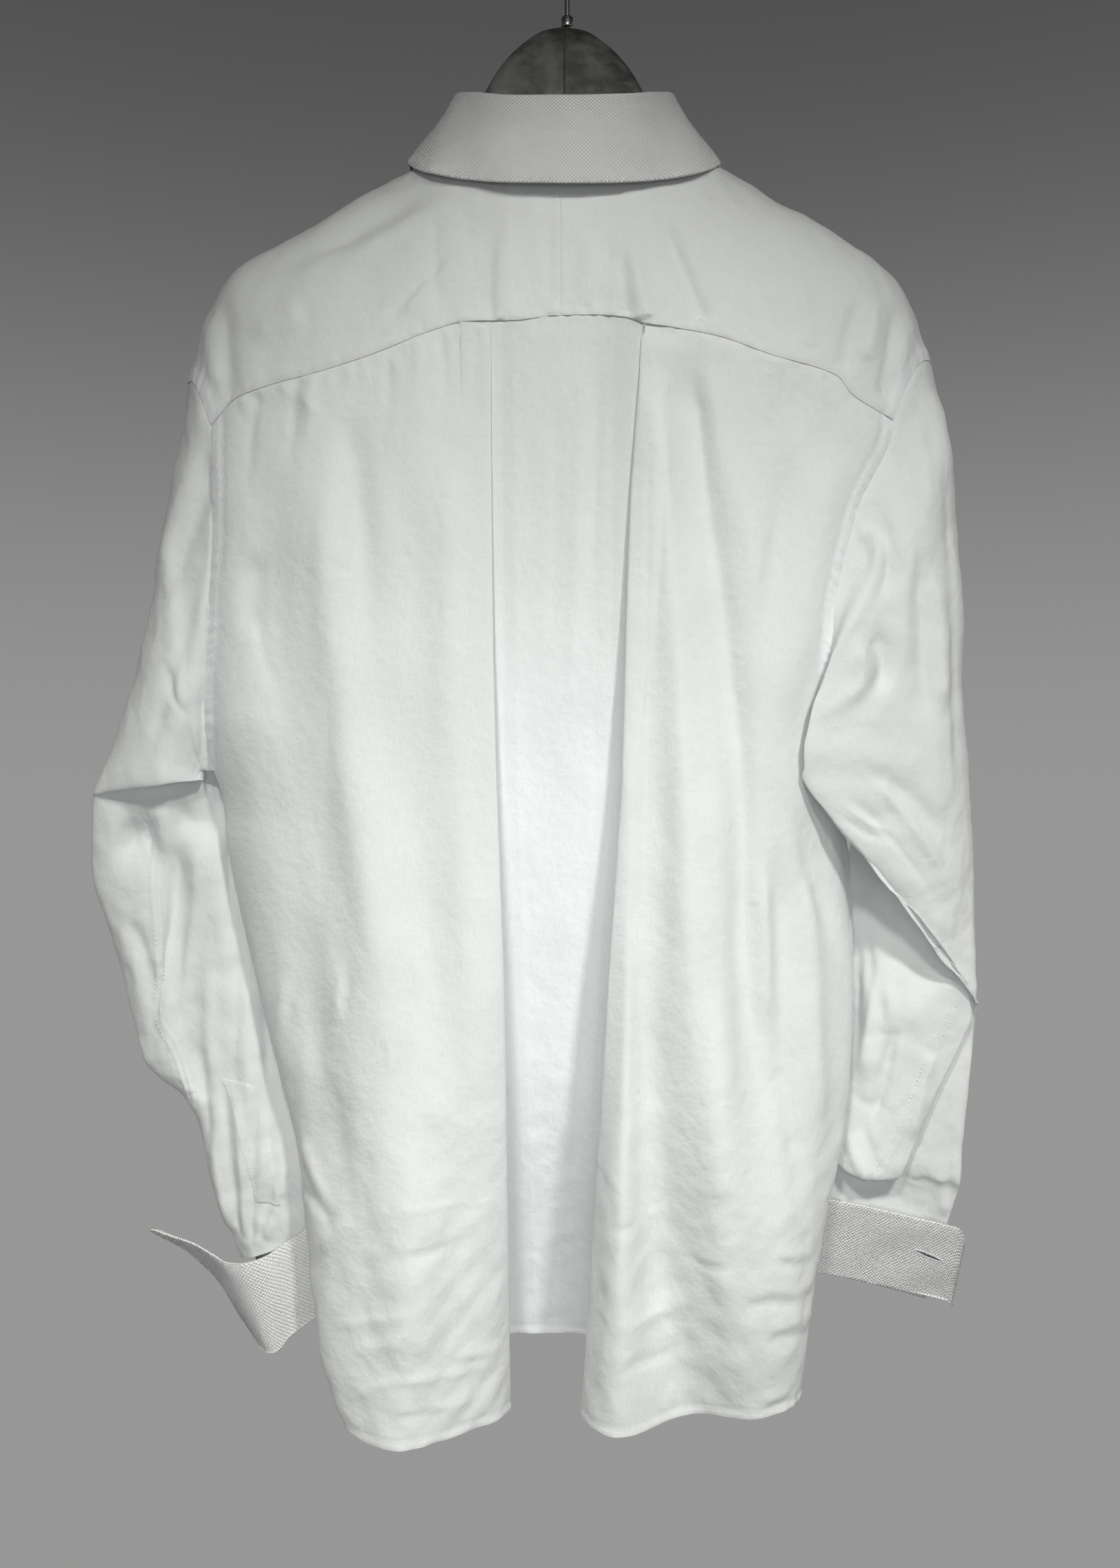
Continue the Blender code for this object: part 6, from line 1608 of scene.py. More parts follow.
def button_form():
    """Four-hole button with a rounded rim and a dished middle, on the z axis, in mm."""
    if "points" in BUTTON:
        return BUTTON["points"], BUTTON["faces"]
    profile = [(0.0, 0.0), (3.6, 0.0), (4.9, 0.12), (5.4, 0.5), (5.6, 1.05), (5.5, 1.6), (5.1, 2.0), (4.6, 2.15),
               (4.1, 2.08), (3.6, 1.8), (3.1, 1.58), (2.4, 1.5), (0.0, 1.48)]
    sides = 48
    points, faces = [(0.0, 0.0, 0.0)], []
    for radius, height in profile[1:-1]:
        for i in range(sides):
            a = 2 * math.pi * i / sides
            points.append((radius * math.cos(a), radius * math.sin(a), height))
    points.append((0.0, 0.0, profile[-1][1]))
    rings = len(profile) - 2
    for i in range(sides):
        j = (i + 1) % sides
        faces.append((0, 1 + j, 1 + i))
        for r in range(rings - 1):
            a, b = 1 + r * sides, 1 + (r + 1) * sides
            faces.append((a + i, a + j, b + j, b + i))
        a = 1 + (rings - 1) * sides
        faces.append((a + i, a + j, len(points) - 1))
    mesh = bpy.data.meshes.new("button_blank")
    mesh.from_pydata(points, [], faces)
    body = bpy.data.objects.new("button_blank", mesh)
    bpy.context.scene.collection.objects.link(body)
    drills = []
    for k, (x, y) in enumerate(((1.15, 1.15), (-1.15, 1.15), (-1.15, -1.15), (1.15, -1.15))):
        pts, fcs = [], []
        for z in (-1.0, 4.0):
            for i in range(14):
                a = 2 * math.pi * i / 14
                pts.append((x + 0.62 * math.cos(a), y + 0.62 * math.sin(a), z))
        for i in range(14):
            j = (i + 1) % 14
            fcs.append((i, j, 14 + j, 14 + i))
        fcs.append(tuple(range(14))[::-1])
        fcs.append(tuple(range(14, 28)))
        hole = bpy.data.meshes.new(f"drill_{k}")
        hole.from_pydata(pts, [], fcs)
        drill = bpy.data.objects.new(f"drill_{k}", hole)
        bpy.context.scene.collection.objects.link(drill)
        cut = body.modifiers.new(f"cut_{k}", "BOOLEAN")
        cut.operation, cut.object, cut.solver = "DIFFERENCE", drill, "EXACT"
        drills.append(drill)
    graph = bpy.context.evaluated_depsgraph_get()
    cut_mesh = bpy.data.meshes.new_from_object(body.evaluated_get(graph))
    BUTTON["points"] = np.array([v.co[:] for v in cut_mesh.vertices])
    BUTTON["faces"] = [tuple(p.vertices) for p in cut_mesh.polygons]
    for obj in [body, *drills]:
        bpy.data.objects.remove(obj, do_unlink=True)
    return BUTTON["points"], BUTTON["faces"]


def button(name, centre, axis, node, thread_mat):
    """A sewn button that stands for a CAD one."""
    points, faces = button_form()
    axis = unit(np.asarray(axis, float))
    across = unit(np.cross([0.0, 0.0, 1.0], axis))
    down = np.cross(axis, across)
    frame_axes = np.stack([across, down, axis])
    if "pearl_button_look" not in BUTTON:
        BUTTON["pearl_button_look"] = pearl()
    obj = place(name, centre + points @ frame_axes, faces, BUTTON["pearl_button_look"], sharp=35)
    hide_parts(node)
    rows = []
    for x in (-1.15, 1.15):
        for shift in (-0.22, 0.0, 0.22):
            rows.append((x + shift, 0.0, 1.72))
    middle = centre + np.array(rows) @ frame_axes
    way = np.broadcast_to(down, middle.shape)
    up = np.broadcast_to(axis, middle.shape)
    points, faces = bars(middle, way, up, 2.9, 0.17)
    sewn = place(name + "_thread", points, faces, thread_mat, sharp=70)
    # a short shank of thread between button and cloth
    points, faces = round_bar(np.array([centre - axis * 1.4, centre - axis * 0.6, centre + axis * 0.2]), [0.9, 0.8, 0.9], 10)
    shank = solid(name + "_shank", points, faces, thread_mat)


def round_bar(path, radii, sides):
    """Points and faces of a round bar along a path."""
    path = np.asarray(path, float)
    along = unit(np.gradient(path, axis=0))
    side = unit(np.cross(along[0], [0.0, 1.0, 0.0])) if abs(along[0][1]) < 0.9 else np.array([1.0, 0, 0])
    points, faces = [], []
    for p, t, radius in zip(path, along, radii):
        side = unit(side - t * (side @ t))
        up = np.cross(t, side)
        for i in range(sides):
            a = 2 * math.pi * i / sides
            points.append(p + radius * (math.cos(a) * side + math.sin(a) * up))
    for r in range(len(path) - 1):
        for i in range(sides):
            j = (i + 1) % sides
            faces.append((r * sides + i, r * sides + j, (r + 1) * sides + j, (r + 1) * sides + i))
    faces.append(tuple(range(sides))[::-1])
    faces.append(tuple((len(path) - 1) * sides + i for i in range(sides)))
    return points, faces


def hanger():
    """The hanger: a broad two-half moulding, a turned ferrule and a wire hook."""
    black, steel = scuffed_black(), bright_steel()
    half = np.concatenate([np.linspace(0, 0.9, 5), np.linspace(1.5, 60, 44)[0:], np.linspace(61.5, 90, 24), np.linspace(92, 204, 46), np.linspace(205, 212, 9)])
    xs = np.concatenate([-half[:0:-1], half])
    points, faces, sides = [], [], 56
    for x in xs:
        top, bottom, deep = (smooth(HANGER["x"], HANGER[name], abs(x)) for name in ("top", "bottom", "half_deep"))
        mid, tall = (top + bottom) / 2, (top - bottom) / 2
        # the line where the two halves of the moulding meet
        seam = 0.55 * math.exp(-((x / 0.45) ** 2))
        for i in range(sides):
            a = 2 * math.pi * i / sides
            c, s = math.cos(a), math.sin(a)
            points.append(np.array([x, (deep - seam) * math.copysign(abs(c) ** 0.8, c), mid + (tall - seam) * math.copysign(abs(s) ** 0.8, s)]))
    for r in range(len(xs) - 1):
        for i in range(sides):
            j = (i + 1) % sides
            faces.append((r * sides + i, r * sides + j, (r + 1) * sides + j, (r + 1) * sides + i))
    faces.append(tuple(range(sides))[::-1])
    faces.append(tuple((len(xs) - 1) * sides + i for i in range(sides)))
    body = solid("hanger_moulding", points, faces, black)
    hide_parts("hanger_body")

    profile = [(3.4, 0.0), (3.75, 0.2), (3.9, 0.6), (3.9, 2.2), (3.62, 2.45), (3.62, 2.8), (3.9, 3.05), (3.9, 6.1), (3.75, 6.5), (3.3, 6.85), (2.6, 7.0)]
    heights = [h for _, h in profile]
    path = np.array([[2.0, 0.0, -69.6 + h] for h in heights])
    points, faces = round_bar(path, [r for r, _ in profile], 36)
    ferrule = solid("ferrule_turned", points, faces, steel)
    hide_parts("hanger_ferrule")

    x0, top = 2.0, WIRE_R
    keys = [(x0, 0, -62.2), (x0, 0, -57.0), (x0, 0, -52.0), (x0 + 0.5, 0, -46.0), (x0 + 4.0, 0, -39.5), (x0 + 10.0, 0, -34.5)]
    for a in range(-40, 206, 15):
        keys.append((HOOK_R * math.cos(math.radians(a)), 0, top - HOOK_R + HOOK_R * math.sin(math.radians(a))))
    path = thread(keys, [8] * (len(keys) - 1))
    radii = np.full(len(path), WIRE_R)
    end = np.linspace(0, 1, 8)
    tip = path[-1] + unit(path[-1] - path[-2]) * (1.3 * end[1:, None])
    path = np.concatenate([path, tip])
    radii = np.concatenate([radii, WIRE_R * np.sqrt(np.maximum(1 - end[1:] ** 2, 0.02))])
    points, faces = round_bar(path, radii, 20)
    hook = solid("hook_wire", points, faces, steel)
    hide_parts("hanger_hook")


# ---------------------------------------------------------------- forms, drawn finely
BACK_STEPS = [7, 30, 42, 8, 9, 5, 4, 6, 30, 6, 4, 5, 9, 8, 8, 16, 18, 22, 7]
ARM = 60  # steps from the shoulder seam to the armpit along an armhole
OVER = 30  # steps from the shoulder point to a yoke seam
RING = tuple(10 * k for k in (2, 2, 2, 1, 1, 1, 3, 2, 2, 2))
LEFT_STEPS = [16, 22, 28, 26, 20, 10, 8, 14, 19, 23, 13, 16, 14, 14, 18]
RIGHT_STEPS = [20, 28, 38, 40, 40, 10, 8, 10, 18, 14, 12, 8, 14]


def facing_of(grid, sign, wrap=False):
    return normals(grid, wrap) * sign


def toward(weight):
    """How far a face looks at the camera, softly from 0 to 1."""
    return ease((-weight - 0.05) / 0.35)


def rim_hold(*lengths, over=7.0):
    """Fades folds out towards sewn edges."""
    held = np.ones_like(lengths[0])
    for length in lengths:
        held = held * ease(length / over)
    return held


def tucked(grid, lift, facing, tangent, reaches, depths):
    """Adds rows before the first that run on under the neighbouring piece."""
    rows = [grid[0] + tangent * reach for reach in reaches]
    more = np.array(rows)
    lifts = np.array([np.full(grid.shape[1], -depth) for depth in depths])
    return (
        np.concatenate([more, grid]),
        np.concatenate([lifts, lift]),
        np.concatenate([np.repeat(facing[:1], len(reaches), 0), facing]),
    )


def band(gap, along, width, seed, rise=0.45, pucker=0.32, length=8.0, slant=0.5):
    """A felled seam's raised band beside its edge, puckered between its stitch rows."""
    raised = 1.6 * rise * ease((width - gap) / 0.8) * (1 - 0.5 * ease(1 - gap / 0.8))
    inside = ease(gap / 1.6) * ease((width - gap) / 1.6)
    dents = 0.16 * np.exp(-(((gap - (width - 1.0)) / 0.7) ** 2)) + 0.62 * np.exp(-(((gap - width - 0.7) / 0.75) ** 2))
    return raised + 1.5 * pucker * inside * ripple(along + slant * gap, length, seed) - dents


def main():
    white = poplin()
    diamond = pique()
    thread_white = sewing_thread()
    made = {}

    # -------------------------------------------------- body
    back = back_grid(BACK_STEPS, 110, 165)
    key_at = np.concatenate([[0], np.cumsum(BACK_STEPS)])
    seam_left = back[0, : key_at[4] + 1, 0]
    seam_right = back[0, key_at[13]:, 0]
    left_x = np.concatenate([np.linspace(CENTRE_X, seam_left[-1], 20)[:-1], seam_left[::-1]])
    right_x = np.concatenate([np.linspace(CENTRE_X, seam_right[0], 24)[:-1], seam_right])
    yoke_l = yoke_grid(SHOULDER_LEFT, -1.0, left_x, OVER, 74)
    yoke_r = yoke_grid(SHOULDER_RIGHT, 1.0, right_x, OVER, 74)
    seam = (yoke_l[:, 0] + yoke_r[:, 0]) / 2
    seam[:, 0] = CENTRE_X
    for grid in (yoke_l, yoke_r):
        shift = seam - grid[:, 0]
        first, _, _, _ = arcs(grid)
        grid += shift[:, None] * np.exp(-first / 12.0)[..., None]
    front_l = front_grid(FRONT_LEFT, SHOULDER_LEFT, -1.0, (24, 32, 24, 9), 92, 150, PLACKET_WIDE / 2)
    front_r = front_grid(FRONT_RIGHT, SHOULDER_RIGHT, 1.0, (24, 32, 24, 9), 92, 150, -PLACKET_WIDE / 2)

    coarse_back = back_grid([1] * 19, ARM, 1)
    coarse_l = front_grid(FRONT_LEFT, SHOULDER_LEFT, -1.0, (3, 4, 3, 1), ARM, 1, PLACKET_WIDE / 2)
    coarse_r = front_grid(FRONT_RIGHT, SHOULDER_RIGHT, 1.0, (3, 4, 3, 1), ARM, 1, -PLACKET_WIDE / 2)
    ring_l = armhole_ring(SHOULDER_LEFT, coarse_back[: ARM + 1, 0], coarse_l[: ARM + 1, 0], ARM, OVER)
    ring_r = armhole_ring(SHOULDER_RIGHT, coarse_back[: ARM + 1, -1], coarse_r[: ARM + 1, 0], ARM, OVER)

    def inwards(yoke, back_edge, back_next, front_edge, front_next):
        """Directions from the armhole into the body, round the ring."""
        over = unit(yoke[-3, -(2 * OVER + 1):] - yoke[-1, -(2 * OVER + 1):])
        down = unit(back_next - back_edge)
        up = unit(front_next - front_edge)
        ring = np.concatenate([over[OVER:0:-1], down[:-1], up[::-1][:-1], over[2 * OVER:OVER:-1]])
        for _ in range(6):
            ring = unit(np.roll(ring, 1, 0) + 2 * ring + np.roll(ring, -1, 0))
        return ring

    in_l = inwards(yoke_l, coarse_back[: ARM + 1, 0], coarse_back[: ARM + 1, 1], coarse_l[: ARM + 1, 0], coarse_l[: ARM + 1, 1])
    in_r = inwards(yoke_r, coarse_back[: ARM + 1, -1], coarse_back[: ARM + 1, -2], coarse_r[: ARM + 1, 0], coarse_r[: ARM + 1, 1])
    arm_l = np.concatenate([ring_l, ring_l[:1]])
    arm_r = np.concatenate([ring_r, ring_r[:1]])
    yoke_line = yoke_seam(np.linspace(YOKE_SEAM["x"][0], YOKE_SEAM["x"][-1], 160))

    # back panel
    n = facing_of(back, -1.0)
    px = photo(back)
    first, last, top, bottom = arcs(back)
    key = np.interp(np.arange(back.shape[1]), key_at, np.arange(len(key_at)))
    seen = toward(n[..., 1])
    # how freely a column may move: not round the pleats' folds or behind them
    free = np.interp(key, [3.4, 4.0, 8.0, 8.25, 8.75, 9.0, 13.0, 13.6], [1.0, 0.12, 0.1, 1.0, 1.0, 0.1, 0.12, 1.0])[None]
    folds = relief(px, BACK_FOLDS)
    seam_folds = puckers(11, photo(yoke_line)[4:-4], 15, 30, 5.2, -0.95, sides=(1,)) + puckers(
        12, photo(yoke_line)[4:-4], 21, 44, 7.0, 0.85, sides=(1,))
    folds += relief(px, seam_folds)
    folds *= seen * free * ease(top / 2.5) * ease(bottom / 5.0 + 0.25)
    folds *= np.where(top < 260, rim_hold(first, last, over=9.0), 1.0)
    soft = 0.9 * waves(back, 74.0, 3, stretch=(1.0, 1.0, 0.34)) + 0.17 * waves(back, 27.0, 4, stretch=(1.0, 1.0, 0.5))
    soft += 0.055 * waves(back, 12.0, 8, stretch=(1.0, 1.0, 0.45))
    lower = ease((-back[..., 2] - 650.0) / 300.0)
    soft += lower * 0.30 * waves(back, 24.0, 6, stretch=(1.0, 1.0, 1.0))
    soft *= free * rim_hold(first, last, top, over=16.0)
    lift = folds + soft
    gap_l, along_l = to_line(back, arm_l[: OVER + ARM + 1][OVER:])
    gap_r, along_r = to_line(back, arm_r[: OVER + ARM + 1][OVER:])
    lift += np.where(gap_l < 14, band(gap_l, along_l, 9.6, 21, pucker=0.42), 0) * ease(top / 2 + 0.3)
    lift += np.where(gap_r < 14, band(gap_r, along_r, 8.6, 22, rise=0.5, pucker=0.5), 0) * ease(top / 2 + 0.3)
    # felled side seams below the armpits
    below = ease((-back[..., 2] + ARMPIT - 4.0) / 14.0)
    lift += below * np.where(first < 9, band(first, top, 6.4, 23, rise=0.32, pucker=0.2, length=6.5), 0)
    lift += below * np.where(last < 9, band(last, top, 6.4, 24, rise=0.32, pucker=0.26, length=6.5), 0)
    # turned hem
    hem_run = first.mean(0)[None] + 0 * first
    lift += 0.62 * ease((4.6 - bottom) / 0.7) * ease(bottom / 0.6 + 0.35) - 0.3 * np.exp(-(((bottom - 5.3) / 0.7) ** 2))
    lift += 0.30 * ease(bottom / 0.8) * ease((5.6 - bottom) / 1.2) * ripple(hem_run + 1.1 * bottom, 4.6, 31)
    lift += 0.5 * np.exp(-bottom / 9.0) * ripple(hem_run, 31.0, 32) * free
    lift -= 0.55 * np.exp(-top / 1.3)
    # the recess comes up close under the yoke's folded edge
    lift += 1.2 * np.exp(-((top / 6.0) ** 2)) * np.interp(key, [7.3, 7.9, 9.1, 9.7], [0, 1, 1, 0])[None]
    lift -= 0.9 * np.exp(-((top / 7.0) ** 2)) * np.interp(key, [3.5, 4.0, 4.5, 4.7, 12.3, 12.5, 13.0, 13.5], [0, 1, 1, 0, 0, 1, 1, 0])[None]
    # the felled armhole bands and the turned hem are made lighter
    tone_and_painted_light = np.ones(lift.shape)
    tone_and_painted_light += 0.12 * ease((9.8 - gap_l) / 0.8) + 0.12 * ease((8.8 - gap_r) / 0.8) + 0.045 * ease((4.6 - bottom) / 0.6)
    # painted light: the recess is made lighter, most at mid height, where the pleats' sides shade it
    tone_and_painted_light += 0.20 * ((key > 6.9) & (key < 10.1))[None] * ease((-back[..., 2] - 380.0) / 200.0) * (1 - 0.45 * ease((-back[..., 2] - 740.0) / 160.0))
    tone_and_painted_light += 0.04 * below * (ease((6.6 - first) / 0.8) + ease((6.6 - last) / 0.8))

    # painted shadow: the strips below darken the recess where the pleats' edges shade it
    def strip(left, right, amount, soft_edge=4.0):
        left, right = np.asarray(left, float), np.asarray(right, float)
        a = np.interp(px[..., 1], left[:, 1], left[:, 0])
        b = np.interp(px[..., 1], right[:, 1], right[:, 0])
        inside = ease((px[..., 0] - a) / soft_edge) * ease((b - px[..., 0]) / soft_edge)
        return 1 - amount * inside * ((key > 6.9) & (key < 10.1))[None]

    tone_and_painted_light = tone_and_painted_light * strip([(726, 460), (730, 1150), (745, 1912)], [(748, 460), (752, 1150), (778, 1912)], 0.045)
    tone_and_painted_light = tone_and_painted_light * strip([(862, 460), (862, 1150), (821, 1688), (806, 1912)], [(930, 460), (915, 1150), (870, 1688), (850, 1912)], 0.035)
    tone_and_painted_light = tone_and_painted_light * strip([(888, 460), (885, 1150), (859, 1519), (845, 1912)], [(930, 460), (915, 1150), (890, 1519), (870, 1912)], 0.05)
    grid, lift_t, n_t = tucked(back, lift, n, unit(back[0] - back[1]), (4.0, 1.6), (1.25, 1.15))
    # the pleats' hidden layers end at the seam and aren't tucked up under it
    under = ((key > 4.4) & (key < 7.9)) | ((key > 9.1) & (key < 12.6))
    up = unit(back[0] - back[1])
    for row, rise in ((0, 0.3), (1, 0.15)):
        grid[row, under] = back[0, under] + rise * up[under]
        lift_t[row, under] = lift[0, under]
        n_t[row, under] = n[0, under]
    tone_and_painted_light = np.concatenate([tone_and_painted_light[:1], tone_and_painted_light[:1], tone_and_painted_light])
    obj, drawn = cloth("shirt_back", grid, lift_t, n_t, white, tone_and_painted_light=tone_and_painted_light)
    made["back"] = (obj, back, drawn[2:], n, "back_panel")
    drawn = drawn[2:]
    # stitches: hem, armhole bands and side seams
    def level_path(values, wanted, columns_kept, out):
        """The line on a drawn grid where a length field has this value, by column."""
        rows = []
        for c in columns_kept:
            order = np.argsort(values[:, c])
            rows.append([np.interp(wanted, values[order, c], out[order, c, i]) for i in range(3)])
        return np.array(rows)

    visible = [c for c in range(back.shape[1]) if not 4.6 < key[c] < 7.6 and not 9.4 < key[c] < 12.4]
    for part in (visible[: visible.index(int(key_at[4])) + 1],
                 [c for c in visible if 7.6 <= key[c] <= 9.4], [c for c in visible if key[c] >= 13]):
        sew("hem", level_path(bottom, 3.5, part, drawn), level_path(bottom, 3.5, part, n), pitch=2.8, long=2.0, radius=0.24)

    def row_path(values, wanted, rows_kept, out):
        rows = []
        for r in rows_kept:
            order = np.argsort(values[r])
            rows.append([np.interp(wanted, values[r, order], out[r, order, i]) for i in range(3)])
        return np.array(rows)

    down_rows = [r for r in range(len(back)) if back[r, 0, 2] < ARMPIT - 6]
    for values in (first, last):
        for at in (1.2, 5.6):
            sew("side_seams", row_path(values, at, down_rows, drawn), row_path(values, at, down_rows, n))
    up_rows = [r for r in range(3, len(back)) if back[r, 0, 2] > ARMPIT]
    sew("armholes", row_path(first, 8.6, up_rows, drawn), row_path(first, 8.6, up_rows, n))
    up_rows = [r for r in range(3, len(back)) if back[r, -1, 2] > ARMPIT]
    sew("armholes", row_path(last, 7.6, up_rows, drawn), row_path(last, 7.6, up_rows, n))

    # yokes
    for name, grid, sign, arm, ring_line, seed, wide in (
        ("left", yoke_l, 1.0, arm_l, ring_l, 41, 9.6), ("right", yoke_r, -1.0, arm_r, ring_r, 51, 8.6)):
        n = facing_of(grid, sign)
        px = photo(grid)
        first, last, top, bottom = arcs(grid)
        seen = toward(n[..., 1])
        gap, along = to_line(grid, np.concatenate([arm[-OVER - 1:], arm[1: OVER + 1]]))
        back_gap, back_along = to_line(grid, yoke_line)
        folds = relief(px, YOKE_FOLDS + puckers(seed, photo(yoke_line)[3:-3], 16, 22, 4.6, 1.3, sides=(-1,))
                       + puckers(seed + 1, photo(yoke_line)[3:-3], 19, 17, 4.0, -1.05, sides=(-1,)))
        hold = ease(back_gap / 2.0) * rim_hold(top, over=10.0) * ease(gap / 5.0 + 0.1)
        lift = folds * seen * hold
        lift += 0.55 * waves(grid, 60.0, 9 + seed, stretch=(1, 1, 1)) * rim_hold(top, first, back_gap, gap, over=20.0)
        lift += 0.16 * waves(grid, 20.0, 10 + seed, stretch=(1, 1, 1)) * rim_hold(top, first, back_gap, gap, over=12.0)
        lift += np.where(gap < 14, band(gap, along, wide, seed + 2, pucker=0.4), 0)
        # the folded edge stands a little proud of the back
        lift += 0.22 * ease((5.0 - back_gap) / 3.0) * ease(back_gap / 0.7 + 0.3)
        over_pleat = np.exp(-(((px[..., 0] - 690) / 26.0) ** 4)) + np.exp(-(((px[..., 0] - 955) / 28.0) ** 4))
        lift += 1.25 * np.exp(-((back_gap / 9.0) ** 2)) * over_pleat * seen
        # centre seam: a fine groove between two soft edges
        lift += 0.16 * ease((3.6 - first) / 2.0) - 0.62 * np.exp(-((first / 0.6) ** 2))
        lift += 0.10 * ripple(top, 7.0, seed + 4) * np.exp(-((first / 3.0) ** 2))
        # painted light: lighter over the middle, above the pleats, on faces turned to the camera
        tone_and_painted_light = 1.0 + 0.028 * ease((px[..., 0] - 735) / 8) * ease((887 - px[..., 0]) / 8) * seen
        tone_and_painted_light = tone_and_painted_light - 0.03 * ease((px[..., 0] - 698) / 8) * ease((737 - px[..., 0]) / 8) * seen
        tone_and_painted_light = tone_and_painted_light + 0.12 * ease((wide + 0.2 - gap) / 0.8)
        # painted shade: a fine darker line along the yoke's folded edge, on faces turned to the camera
        tone_and_painted_light = tone_and_painted_light - 0.08 * np.exp(-((back_gap / 1.1) ** 2)) * seen
        obj, drawn = cloth(f"shirt_yoke_{name}", grid, lift, n, white, tone_and_painted_light=tone_and_painted_light)
        made[f"yoke_{name}"] = (obj, grid, drawn, n, f"yoke_{name}")
        sew("centre_seam", row_path(first, 0.95, range(10, len(grid) - 1), drawn),
            row_path(first, 0.95, range(10, len(grid) - 1), n), pitch=2.5, long=1.5, radius=0.13, lift=0.0)
        cols = [c for c in range(grid.shape[1]) if c < len(grid[0]) - 2 * OVER - 4]
        arm_cols = [c for c in range(grid.shape[1] - 2 * OVER, grid.shape[1])]
        sew("armholes", level_path(bottom, wide - 1.0, arm_cols, drawn), level_path(bottom, wide - 1.0, arm_cols, n))
        sew("front_seams", row_path(last, 2.2, range(4, len(grid) - 1), drawn), row_path(last, 2.2, range(4, len(grid) - 1), n))

    # fronts
    for name, grid, sign, arm in (("left", front_l, 1.0, arm_l), ("right", front_r, -1.0, arm_r)):
        n = facing_of(grid, sign)
        first, last, top, bottom = arcs(grid)
        seen = ease((n[..., 1] - 0.05) / 0.35)
        at = flat_front(grid)
        line = np.stack([at[0, ::3, 0], at[0, ::3, 1]], -1)
        side_of = 1 if name == "right" else -1
        folds = relief(at, FRONT_FOLDS + puckers(61 + side_of, line, 8, 16, 2.6, 0.5, sides=(-side_of,)), 2.2)
        gap, along = to_line(grid, arm[OVER + ARM: OVER + 2 * ARM + 1])
        plain = ease((last - 36.0) / 10.0)
        lift = folds * seen * rim_hold(first, top, gap, over=7.0) * plain * ease(bottom / 6.0 + 0.3)
        lift += (0.7 * waves(grid, 66.0, 71) + 0.24 * waves(grid, 24.0, 72)) * rim_hold(first, top, gap, over=16.0) * plain
        lift += np.where(gap < 14, band(gap, along, 8.8, 73, pucker=0.4), 0)
        below = ease((-grid[..., 2] + ARMPIT - 4.0) / 14.0)
        lift -= below * 0.5 * np.exp(-first / 1.6)
        run = first.mean(0)[None] + 0 * first
        lift += 0.62 * ease((4.6 - bottom) / 0.7) * ease(bottom / 0.6 + 0.35) - 0.3 * np.exp(-(((bottom - 5.3) / 0.7) ** 2))
        lift += 0.30 * ease(bottom / 0.8) * ease((5.6 - bottom) / 1.2) * ripple(run + 1.1 * bottom, 4.6, 33)
        lift -= 0.45 * np.exp(-top / 1.3)
        obj, drawn = cloth(f"shirt_front_{name}", grid, lift, n, white)
        made[f"front_{name}"] = (obj, grid, drawn, n, f"front_{name}")
        keep = range(2, grid.shape[1] - 2)
        sew("hem", level_path(bottom, 3.5, keep, drawn), level_path(bottom, 3.5, keep, n), pitch=2.8, long=2.0, radius=0.24)
        rows = [r for r in range(3, len(grid)) if grid[r, 0, 2] > ARMPIT]
        sew("armholes", row_path(first, 7.8, rows, drawn), row_path(first, 7.8, rows, n))
        if name == "left":
            placket_base = (grid, drawn, n)

    # placket, its stitching and buttonholes
    grid, drawn, n = placket_base
    rows = slice(0, len(grid))
    base = grid[rows, -10:] + n[rows, -10:] * 1.35
    pn = n[rows, -10:]
    first, last, top, bottom = arcs(base)
    lift = 0.10 * ripple(top, 9.0, 81) * ease(first / 3) * ease(last / 3)
    lift -= 0.2 * np.exp(-(((first - 5.0) / 0.7) ** 2)) + 0.2 * np.exp(-(((last - 5.0) / 0.7) ** 2))
    lift -= 0.3 * np.exp(-first / 0.5) + 0.3 * np.exp(-last / 0.5)
    obj, placket = cloth("shirt_placket", base, lift, pn, white, wall=0.8)
    made["placket"] = (obj, base, placket, pn, "placket")
    for values, at in ((first, 5.0), (last, 5.0)):
        sew("placket_seams", row_path(values, at, range(3, len(base) - 2), placket), row_path(values, at, range(3, len(base) - 2), pn))

    # -------------------------------------------------- sleeves
    for name, table, ring, tangents, steps, sign, lists, seams, seed in (
        ("left", SLEEVE_LEFT, ring_l, in_l, LEFT_STEPS, -1.0, SLEEVE_LEFT_FOLDS, LEFT_SEAMS, 101),
        ("right", SLEEVE_RIGHT, ring_r, in_r, RIGHT_STEPS, 1.0, SLEEVE_RIGHT_FOLDS, RIGHT_SEAMS, 111)):
        rings = [thread(sleeve_keys(table, row), RING, closed=True) for row in range(len(table["outer_x"]))]
        grid = thread([ring, *rings], steps)
        n = facing_of(grid, sign, True)
        px = photo(grid)
        closed = np.concatenate([grid, grid[:, :1]], 1)
        _, _, top, bottom = arcs(grid)
        seen = toward(n[..., 1])
        away = ease((n[..., 1] - 0.05) / 0.35)
        folds = relief(px, lists) * seen
        cap = photo(np.concatenate([ring[-OVER:], ring[: OVER + ARM]]))
        side_of = -1 if name == "left" else 1
        high = ease((860.0 - px[..., 1]) / 90.0)
        folds += relief(px, puckers(seed, cap[::4], 13, 15, 4.0, 0.5, sides=(-side_of,))) * seen * high
        folds += relief(flat_front(grid), SLEEVE_BACK_FOLDS, 2.2) * away
        lift = folds * ease(top / 5.0) * ease(bottom / 6.0 + 0.1)
        lift += (0.7 * waves(grid, 58.0, seed + 1, stretch=(1, 1, 0.6)) + 0.26 * waves(grid, 24.0, seed + 2, stretch=(1, 1, 0.8))) * ease(top / 16.0)
        lift += (0.5 + 0.5 * ease((-grid[..., 2] - 560.0) / 60.0)) * 0.12 * waves(grid, 13.0, seed + 3, stretch=(1, 1, 1)) * ease(top / 10.0)
